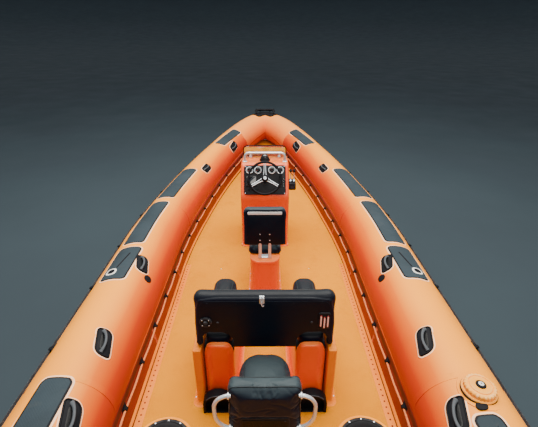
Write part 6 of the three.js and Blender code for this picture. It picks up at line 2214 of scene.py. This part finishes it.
# Righting bag: a strapped roll of fabric on the hoop, with gathered ends
def righting_bag():
    low, high = limits("righting_bag")
    crest = limits("roll_frame")[1][2]
    half, radius = high[0], (high[1] - low[1]) / 2
    centre = np.array([0.0, FRAME_TOP_Y, high[2] - radius])
    turn = full_turn(56)
    rings = []
    for share in np.concatenate([[-1.0, -0.99, -0.965], np.linspace(-0.93, 0.93, 41), [0.965, 0.99, 1.0]]):
        edge = max(0.0, abs(share) - 0.93) / 0.07
        size = (radius - 0.014) * math.sqrt(max(0.0, 1 - 0.82 * edge ** 2))
        sag = 0.004 * math.cos(5 * share)
        ring = []
        for a in turn:
            r = size * (1 + 0.015 * math.sin(3 * a + 4 * share) + 0.010 * math.sin(7 * a - 9 * share)) + sag
            z = centre[2] + r * math.sin(a)
            near = abs(r * math.cos(a)) < FRAME_TUBE + 0.012
            floor = crest + 0.0015 if near else -1e9
            ring.append((centre[0] + share * half, centre[1] + r * math.cos(a), max(z, floor)))
        rings.append(ring)
    shape = Shape()
    shape.add(loft(rings))
    made = piece("righting_bag_roll", shape, [bag_fabric], replaces=("righting_bag",))
    straps = (-0.31, -0.105, 0.105, 0.31)

    def held(points):
        tied = np.min(np.abs(points[:, :1] - np.array(straps)[None, :]), axis=1) < 0.016
        return tied | (points[:, 2] < crest + 0.012)

    puff(made, [bag_fabric], held, 0.016, fold=(0.085, 0.006), seed=31, voxel=0.008,
         stretch=(1.6, 0.8, 0.8))
    bands = Shape()
    tree = BVHTree.FromObject(made, bpy.context.evaluated_depsgraph_get())

    def around(x, lift, angles):
        out = []
        for a in angles:
            aim = Vector((0, math.cos(a), math.sin(a)))
            hit = tree.ray_cast(Vector((x, centre[1], centre[2])) + aim * 0.4, -aim)[0]
            out.append(np.array(hit) + np.array(aim) * lift)
        return np.array(out)

    for x in straps:
        angles = np.radians(np.linspace(-62, 242, 60))
        rows = [relaxed(around(x + dx, lift, angles), closed=False, times=2)
                for dx, lift in ((-0.017, 0.0), (-0.016, 0.0026), (0.016, 0.0026), (0.017, 0.0))]
        bands.add(sheet_form(rows), 0)
        for sign in (-1, 1):
            start = rows[1][0] if sign > 0 else rows[1][-1]
            foot = np.array([x, centre[1] + sign * 0.02, crest - 0.062])
            knee = np.array([x, centre[1] + sign * (FRAME_TUBE + 0.006), crest - 0.028])
            bands.add(sweep(smooth_path([(x, start[1], start[2]), knee, foot,
                                         foot - np.array([0, sign * 0.02, 0.004])], 0.01), 0.016, 8,
                            flat=0.1), 0)
        spot = around(x, 0.004, [math.radians(215)])[0]
        aim = Vector((0, math.cos(math.radians(215)), math.sin(math.radians(215))))
        buckle = block((-0.024, -0.018, -0.004), (0.024, 0.018, 0.005), 0.003)
        bands.add(moved(buckle, spot, facing(aim)), 1)
    for side in (-1, 1):
        ring = [(side * (half - 0.006), centre[1] + 0.052 * math.cos(a), centre[2] + 0.052 * math.sin(a))
                for a in full_turn(28)]
        bands.add(sweep(ring, 0.0045, 8, closed=True), 2)
    angles = np.radians(np.linspace(95, 200, 22))
    flap = [around(x, 0.0018, angles) for x in np.linspace(-half + 0.06, half - 0.06, 60)]
    lip = np.array([row[-1] for row in flap])
    bands.add(sweep(relaxed(lip, closed=False), 0.0042, 8), 2)
    piece("righting_bag_straps", bands, [bag_strap, black_plastic, tape_orange])


righting_bag()


def mast_and_aerials():
    low, high = limits("light_mast")
    x, y = (low[0] + high[0]) / 2, FRAME_TOP_Y - 2 * FRAME_TUBE
    foot, top = low[2] + 0.01, high[2]
    shape = Shape()
    profile = [(0.010, 0.0), (0.014, 0.002), (0.014, top - foot - 0.075), (0.020, top - foot - 0.068),
               (0.020, top - foot - 0.062)]
    shape.add(moved(lathe(profile, 24), (x, y, foot)), 0)
    lamp = [(0.020, 0.0), (0.034, 0.003), (0.034, 0.010), (0.030, 0.012), (0.030, 0.044), (0.034, 0.046),
            (0.033, 0.054), (0.020, 0.0595)]
    shape.add(moved(lathe(lamp, 32), (x, y, top - 0.0605)), 1)
    shape.add(moved(lathe([(0.0305, 0.0125), (0.0312, 0.028), (0.0305, 0.0435)], 32), (x, y, top - 0.0605)),
              2)
    shape.add(block((x - 0.016, y - 0.002, foot - 0.01),
                    (x + 0.016, FRAME_TOP_Y - FRAME_TUBE - 0.0004, foot + 0.03), 0.004), 1)
    clip = [(x + 0.018 * math.cos(a), y + 0.018 * math.sin(a), foot + 0.012) for a in full_turn(24)]
    shape.add(sweep(clip, 0.0045, 8, closed=True), 1)
    piece("light_mast_lamp", shape, [white_plastic, black_plastic, glass_dark],
          replaces=("light_mast",), sharp=30)
    for name, side in SIDES:
        node = f"aerial_{name}"
        low, high = limits(node)
        x, foot, top = side * 0.56, low[2] + 0.04, high[2]
        shape = Shape()
        rod = [(0.010, -0.03), (0.016, -0.028), (0.016, 0.10), (0.012, 0.118), (0.0085, 0.125), (0.008, 0.14),
               (0.006, 0.62), (0.0042, 1.05), (0.003, top - foot - 0.012), (0.0042, top - foot - 0.010),
               (0.0042, top - foot - 0.003), (0.002, top - foot)]
        shape.add(moved(lathe(rod, 20), (x, y, foot)), 0)
        for z in (0.02, 0.07):
            shape.add(moved(lathe([(0.0162, z), (0.019, z + 0.002), (0.019, z + 0.012),
                                   (0.0162, z + 0.014)], 24),
                            (x, y, foot)), 1)
        shape.add(block((x - 0.014, y, foot - 0.02),
                        (x + 0.014, FRAME_TOP_Y - FRAME_TUBE + 0.0076, foot + 0.02), 0.004), 1)
        shape.add(moved(lathe([(0.0125, 0.605), (0.0125, 0.645), (0.006, 0.652)], 18), (x, y, foot)), 1)
        piece(f"{node}_whip", shape, [white_plastic, black_plastic], replaces=(node,),
              sharp=30)


mast_and_aerials()


# Outboard motors, drawn about their own centreline and moved to each side
ENGINE_X = 0.38
TILT_Y = -3.665
TILT_Z = 0.33
STEER_Y = -3.735
PAN_Z = 0.41
PLATE_Z = -0.375
PROP_Z = -0.55
PROP_Y = -4.09
PROP_RADIUS = 0.162
PROP_PITCH = 0.40
COWL = dict(half=0.19, aft=-4.13, fore=-3.595, corner=0.15, foot=0.47, top=0.88)
COWL_SECTIONS = (
    # height, how far the side comes in
    (0.47, 0.0),
    (0.62, -0.004),
    (0.77, 0.008),
    (0.845, 0.036),
    (0.88, 0.084),
)


def cowl_ring(z, inset):
    outline = rounded_outline(inset - COWL["half"], COWL["aft"] + inset, COWL["half"] - inset,
                              COWL["fore"] - inset, max(0.03, COWL["corner"] - inset), 10)
    return outline_ring(outline, z)


def cowl(side):
    shape = Shape()
    rows = [(0.4705, 0.004), (0.4725, 0.0)]
    for z in np.linspace(0.48, 0.84, 19):
        inset = float(eased(z, COWL_SECTIONS, 1))
        groove = 0.004 * math.exp(-((z - 0.505) / 0.004) ** 2)
        shoulder = 0.0045 / (1 + math.exp(-(z - 0.70) / 0.006))
        rows.append((z, inset + groove + shoulder))
    for z, inset in ((0.852, 0.046), (0.862, 0.056), (0.870, 0.068), (0.8755, 0.082), (0.879, 0.098),
                     (0.880, 0.118), (0.8796, 0.145)):
        rows.append((z, inset))
    shape.add(loft([cowl_ring(z, inset) for z, inset in rows]), 0)
    seal = resampled(np.vstack([cowl_ring(0.4715, -0.001), cowl_ring(0.4715, -0.001)[:1]]), 0.02)[:-1]
    shape.add(sweep(seal, 0.0032, 8, closed=True), 1)
    for k in range(5):
        z = 0.735 + 0.018 * k
        for hand in (-1, 1):
            path = [(hand * (0.1865 - 0.0006 * k), y, z) for y in np.linspace(-3.99, -3.86, 8)]
            shape.add(sweep(path, 0.0045, 8, flat=0.8), 1)
    intake = rounded_outline(-0.085, -4.035, 0.085, -3.94, 0.03, 6)
    shape.add(slab(intake, 0.872, 0.885, 0.005), 0)
    for k in range(6):
        y = -4.022 + 0.0145 * k
        shape.add(block((-0.062, y - 0.003, 0.8835), (0.062, y + 0.003, 0.8862), 0.001), 1)
    for hand in (-1, 1):
        path = smooth_path([(hand * 0.192, -4.02, 0.575), (hand * 0.1935, -3.90, 0.59),
                            (hand * 0.1935, -3.78, 0.60), (hand * 0.19, -3.70, 0.605)], 0.02)
        shape.add(sweep(path, [0.006 + 0.010 * math.sin(math.pi * t) for t in np.linspace(0, 1, len(path))],
                        10, flat=0.25), 2)
    handle_path = smooth_path([(0.0, -3.592, 0.60), (0.0, -3.580, 0.606), (0.0, -3.578, 0.64),
                               (0.0, -3.590, 0.652)], 0.006)
    shape.add(sweep(handle_path, 0.024, 12, flat=0.3), 1)
    latch = block((-0.03, -4.139, 0.482), (0.03, -4.128, 0.53), 0.006)
    shape.add(latch, 1)
    return shape.placed((side * ENGINE_X, 0, 0))


def powerhead(side):
    """Engine block under the cowl: crankcase, cylinder heads, flywheel cover and intake pipes."""
    shape = Shape()
    shape.add(block((-0.11, -3.90, 0.4705), (0.11, -3.67, 0.72), 0.012), 0)
    for hand in (-1, 1):
        shape.add(block((hand * 0.055 - 0.05, -3.985, 0.485), (hand * 0.055 + 0.05, -3.90, 0.70), 0.010), 0)
        for z in (0.53, 0.59, 0.65):
            path = smooth_path([(hand * 0.112, -3.72, z), (hand * 0.122, -3.80, z + 0.01),
                                (hand * 0.108, -3.92, z)], 0.02)
            shape.add(sweep(path, 0.014, 10), 1)
    shape.add(moved(lathe([(0.10, 0.0), (0.105, 0.012), (0.105, 0.03), (0.085, 0.044), (0.02, 0.049)], 40),
                    (0, -3.785, 0.72)), 1)
    return shape.placed((side * ENGINE_X, 0, 0))


LEG_SECTIONS = (
    # height, half-width, aft edge, fore edge
    (-0.375, 0.050, -3.975, -3.760),
    (-0.15, 0.056, -3.945, -3.780),
    (0.25, 0.066, -3.960, -3.780),
    (0.41, 0.095, -4.010, -3.778),
)
STRUT_SECTIONS = (
    # height, half-width, aft edge, fore edge
    (-0.775, 0.0045, -3.950, -3.830),
    (-0.67, 0.007, -3.970, -3.790),
    (-0.55, 0.024, -3.990, -3.690),
    (-0.375, 0.046, -3.985, -3.725),
)


def fin_ring(z, half, aft, fore, count=40):
    """A section with a round nose and a fine tail, anticlockwise from above."""
    turn = full_turn(count)
    middle, reach = (aft + fore) / 2, (fore - aft) / 2
    along = np.cos(turn)
    swell = 1 - 0.35 * np.clip(-along, 0, 1) ** 1.5
    x = -half * np.sign(np.sin(turn)) * np.abs(np.sin(turn)) ** 0.8 * swell
    return np.column_stack([x, middle + reach * along, np.full(count, z)])


def fin(sections, count):
    """A leg or strut through a table's sections, eased between its rows."""
    heights = np.linspace(sections[0][0], sections[-1][0], count)
    return loft([fin_ring(z, *(float(eased(z, sections, column)) for column in (1, 2, 3))) for z in heights])


def leg(side):
    shape = Shape()
    pan_rows = [(PAN_Z, 0.045), (PAN_Z + 0.008, 0.024), (PAN_Z + 0.022, 0.009), (PAN_Z + 0.04, 0.002),
                (0.464, 0.0), (0.4698, 0.003)]
    shape.add(loft([cowl_ring(z, inset) for z, inset in pan_rows]), 0)
    shape.add(fin(LEG_SECTIONS, 20), 0)
    shape.add(fin(STRUT_SECTIONS, 16), 0)
    plate = rounded_outline(-0.10, -4.11, 0.10, -3.72, (0.06, 0.06, 0.08, 0.08), 8)
    shape.add(slab(plate, PLATE_Z - 0.005, PLATE_Z + 0.005, 0.003, 3, both=True), 0)
    upper = rounded_outline(-0.072, -4.02, 0.072, -3.74, 0.055, 8)
    shape.add(slab(upper, PLATE_Z + 0.10, PLATE_Z + 0.108, 0.003, 3, both=True), 0)
    nose = [(0.001, 0.0), (0.014, -0.004), (0.030, -0.018), (0.044, -0.04), (0.053, -0.07), (0.059, -0.11),
            (0.060, -0.15), (0.060, -0.28), (0.057, -0.32), (0.052, -0.35), (0.048, -0.38), (0.044, -0.3805)]
    turned = [(r, -y) for r, y in nose]
    shape.add(moved(lathe(turned, 40), (0, -3.65, PROP_Z), rotation(90, "X")), 0)
    shape.add(moved(lathe([(0.014, 0.0), (0.014, 0.16), (0.010, 0.163)], 20), (0, -4.01, PROP_Z),
                    rotation(90, "X")), 1)
    for hand in (-1, 1):
        for k in range(5):
            z = -0.44 - 0.014 * k
            y = -3.765
            x = hand * (0.028 - 0.0016 * k)
            shape.add(block((min(x, x + hand * 0.006), y - 0.026, z - 0.003),
                            (max(x, x + hand * 0.006), y + 0.026, z + 0.003), 0.001), 2)
        anode = block((-0.022, -0.05, -0.006), (0.022, 0.05, 0.006), 0.005)
        shape.add(moved(anode, (hand * 0.060, -3.86, 0.02), rotation(90, "Y")), 1)
    tab = [(-0.004, -4.085), (0.004, -4.085), (0.007, -4.02), (-0.007, -4.02)]
    shape.add(slab(np.array(tab), PLATE_Z - 0.055, PLATE_Z - 0.004, 0.002), 1)
    for z, half, fore in ((-0.123, 0.045, STEER_Y + 0.03), (0.393, 0.06, STEER_Y + 0.034)):
        low_z, high_z = z - 0.017, z + 0.017
        shape.add(block((-half, -3.82, low_z), (half, fore, high_z), 0.006, 3), 0)
        for hand in (-1, 1):
            shape.add(moved(lathe([(0.011, 0.0), (0.011, 0.006), (0.006, 0.008)], 6), (hand * half, -3.77, z),
                            rotation(90 * hand, "Y")), 1)
    pin = [(0.0195, -0.125), (0.020, -0.123), (0.020, 0.418), (0.0195, 0.42)]
    shape.add(moved(lathe(pin, 24), (0, STEER_Y, 0)), 1)
    return shape.placed((side * ENGINE_X, 0, 0))


def swivel(side):
    shape = Shape()
    sleeve = [(0.030, -0.08), (0.034, -0.076), (0.034, -0.03), (0.031, -0.026), (0.031, 0.026), (0.034, 0.03),
              (0.034, 0.076), (0.030, 0.08)]
    across = rotation(90, "Y")
    shape.add(moved(lathe(sleeve, 32), (0, TILT_Y, TILT_Z), across), 0)
    pin = [(0.012, -0.108), (0.015, -0.106), (0.015, 0.106), (0.012, 0.108)]
    shape.add(moved(lathe(pin, 24), (0, TILT_Y, TILT_Z), across), 1)
    shape.add(block((-0.03, STEER_Y, TILT_Z - 0.15), (0.03, TILT_Y, TILT_Z + 0.02), 0.008, 3), 0)
    boss = [(0.022, 0.0), (0.036, 0.002), (0.036, 0.05), (0.033, 0.056), (0.033, 0.16), (0.036, 0.17),
            (0.036, 0.44), (0.033, 0.446), (0.036, 0.452), (0.036, 0.473), (0.022, 0.475)]
    shape.add(moved(lathe(boss, 32), (0, STEER_Y, -0.10)), 0)
    return shape.placed((side * ENGINE_X, 0, 0))


def clamp(side):
    shape = Shape()
    aft_face = TRANSOM_Y - 0.0003 - TILT_Y
    hook = TRANSOM_TOP + 0.0003 - TILT_Z
    profile = [(-0.038, 0.045), (0.030, 0.045), (0.050, 0.020), (0.062, -0.080), (0.100, hook + 0.012),
               (0.190, hook + 0.035), (0.190, hook), (aft_face, hook), (aft_face, -0.390), (0.060, -0.390),
               (-0.038, -0.060)]
    points = [(TILT_Y + y, TILT_Z + z) for y, z in profile]
    middle = ((points[0][0] + points[-1][0]) / 2, (points[0][1] + points[-1][1]) / 2)
    outline = bent([middle] + points + [middle], 0.012, 4)[:-1][::-1]
    for hand in (-1, 1):
        shape.add(sideways(slab(outline, -0.010, 0.010, 0.003, 2, both=True), hand * 0.098), 0)
        for z in (-0.32, -0.22, -0.12):
            shape.add(moved(lathe([(0.013, 0.0), (0.013, 0.009), (0.008, 0.013)], 6),
                            (hand * 0.098, TRANSOM_Y + 0.06, TILT_Z + z), rotation(-90, "X")), 1)
        shape.add(moved(lathe([(0.024, 0.0), (0.024, 0.008), (0.018, 0.012)], 6),
                        (hand * 0.108, TILT_Y, TILT_Z), rotation(90 * hand, "Y")), 1)
    shape.add(block((-0.108, TRANSOM_Y + 0.01, TRANSOM_TOP + 0.0003),
                    (0.108, TRANSOM_Y + 0.07, TRANSOM_TOP + 0.014), 0.004), 0)
    return shape.placed((side * ENGINE_X, 0, 0))


def propeller(side):
    shape = Shape()
    hub = [(0.015, -0.055), (0.043, -0.055), (0.046, -0.050), (0.046, 0.0), (0.040, 0.055), (0.030, 0.0551),
           (0.015, 0.055)]
    turned = rotation(90, "X")
    shape.add(moved(lathe(hub, 48), turn=turned), 0)
    shape.add(moved(lathe([(0.013, 0.050), (0.013, 0.062), (0.009, 0.066)], 6), turn=turned), 1)
    profile = full_turn(20)
    for blade in range(3):
        rings = []
        for share in np.linspace(0, 1, 15):
            r = 0.042 + (PROP_RADIUS - 0.0432) * share
            bulge = math.sqrt(max(0.012, 1 - (2 * (share - 0.42)) ** 2 / 1.36))
            chord = 0.128 * bulge * (1 - 0.25 * share ** 6)
            thick = 0.010 * (1 - share) ** 1.2 + 0.0022
            slope = math.atan2(PROP_PITCH / (2 * math.pi), r)
            skew = 0.35 * share ** 2
            ring = []
            for a in profile:
                c = 0.5 * chord * math.cos(a)
                t = 0.5 * thick * math.sin(a) * (0.45 + 0.55 * abs(math.sin(a)))
                round_by = (c * math.cos(slope) - t * math.sin(slope)) / r - skew + 2 * math.pi * blade / 3
                axial = c * math.sin(slope) + t * math.cos(slope)
                ring.append((r * math.cos(round_by), axial * side, r * math.sin(round_by)))
            rings.append(ring)
        shape.add(loft(rings), 0)
    return shape.placed((side * ENGINE_X, PROP_Y, PROP_Z))


def motors():
    for name, side in SIDES:
        outboard = f"{name}_outboard"
        for part, build, body, finishes, slot, sharp in (
            ("clamp_bracket", clamp, "hull", [engine_paint, stainless], "engine_paint", 32),
            ("swivel_bracket", swivel, f"{name}_swivel", [engine_paint, stainless], "engine_paint", 32),
            ("engine_leg", leg, outboard, [engine_paint, bare_alloy, dial_black], "engine_paint", 38),
            ("engine_cowl", cowl, outboard, [engine_paint, black_rubber, bare_alloy], "engine_paint", 50),
            ("powerhead", powerhead, outboard, [bare_alloy, black_plastic], "engine_paint", 32),
            ("propeller", propeller, f"{name}_propeller", [stainless, black_plastic], "stainless", 40),
        ):
            node = f"{name}_{part}"
            piece(f"{node}_cast", build(side), finishes, body=body, replaces=(node,), sharp=sharp)


motors()


# Floor at the waterline, overcast light and the camera
FLOOR_RINGS = (
    # radius, height: flat around the boat, rising towards the rim
    (0.01, 0.0),
    (40.0, 0.0),
    (60.0, 0.6),
    (80.0, 3.0),
    (95.0, 8.0),
    (100.0, 16.0),
)
CAMERA_PLACE = (0.005, -3.42, 2.41)
CAMERA_LENS = 25.5
CAMERA_DOWN = 26.2
CAMERA_HEADING = -0.6
CAMERA_ROLL = 0.15


def stage():
    rings = [[(r * math.cos(a), r * math.sin(a), h) for a in full_turn(64)] for r, h in FLOOR_RINGS]
    points, faces = loft(rings, caps=False)
    mesh = bpy.data.meshes.new("floor")
    mesh.from_pydata(points.tolist(), [], faces)
    mesh.shade_smooth()
    floor = bpy.data.objects.new("floor", mesh)
    bpy.context.scene.collection.objects.link(floor)
    mesh.materials.append(surface("floor_grey", (46, 56, 62), 0.7, second=(49, 60, 66), second_size=3.0))


def lights():
    world = bpy.data.worlds.new("sky")
    bpy.context.scene.world = world
    world.use_nodes = True
    sky = world.node_tree.nodes["Background"]
    sky.inputs["Color"].default_value = linear(232, 238, 244)
    sky.inputs["Strength"].default_value = 0.58
    for name, place, aim, size, power, colour in (
        ("overhead", (0.0, 0.5, 7.0), (0.0, 0.2, 0.0), 8.0, 1500.0, (255, 250, 240)),
        ("astern", (2.0, -8.0, 5.5), (0.0, -1.0, 0.4), 5.0, 260.0, (255, 248, 236)),
    ):
        lamp = bpy.data.lights.new(name, "AREA")
        lamp.shape = "DISK"
        lamp.size = size
        lamp.energy = power
        lamp.color = linear(*colour)[:3]
        made = bpy.data.objects.new(name, lamp)
        made.location = place
        made.rotation_euler = (Vector(aim) - Vector(place)).to_track_quat("-Z", "Y").to_euler()
        bpy.context.scene.collection.objects.link(made)


def camera():
    lens = bpy.data.cameras.new("camera")
    lens.sensor_width = 36.0
    lens.lens = CAMERA_LENS
    lens.clip_end = 300.0
    made = bpy.data.objects.new("camera", lens)
    made.location = CAMERA_PLACE
    look = Euler((math.radians(90 - CAMERA_DOWN), 0.0, math.radians(CAMERA_HEADING)), "XYZ").to_matrix()
    made.rotation_euler = (look @ rotation(CAMERA_ROLL, "Z")).to_euler()
    bpy.context.scene.collection.objects.link(made)
    bpy.context.scene.camera = made


stage()
lights()
camera()
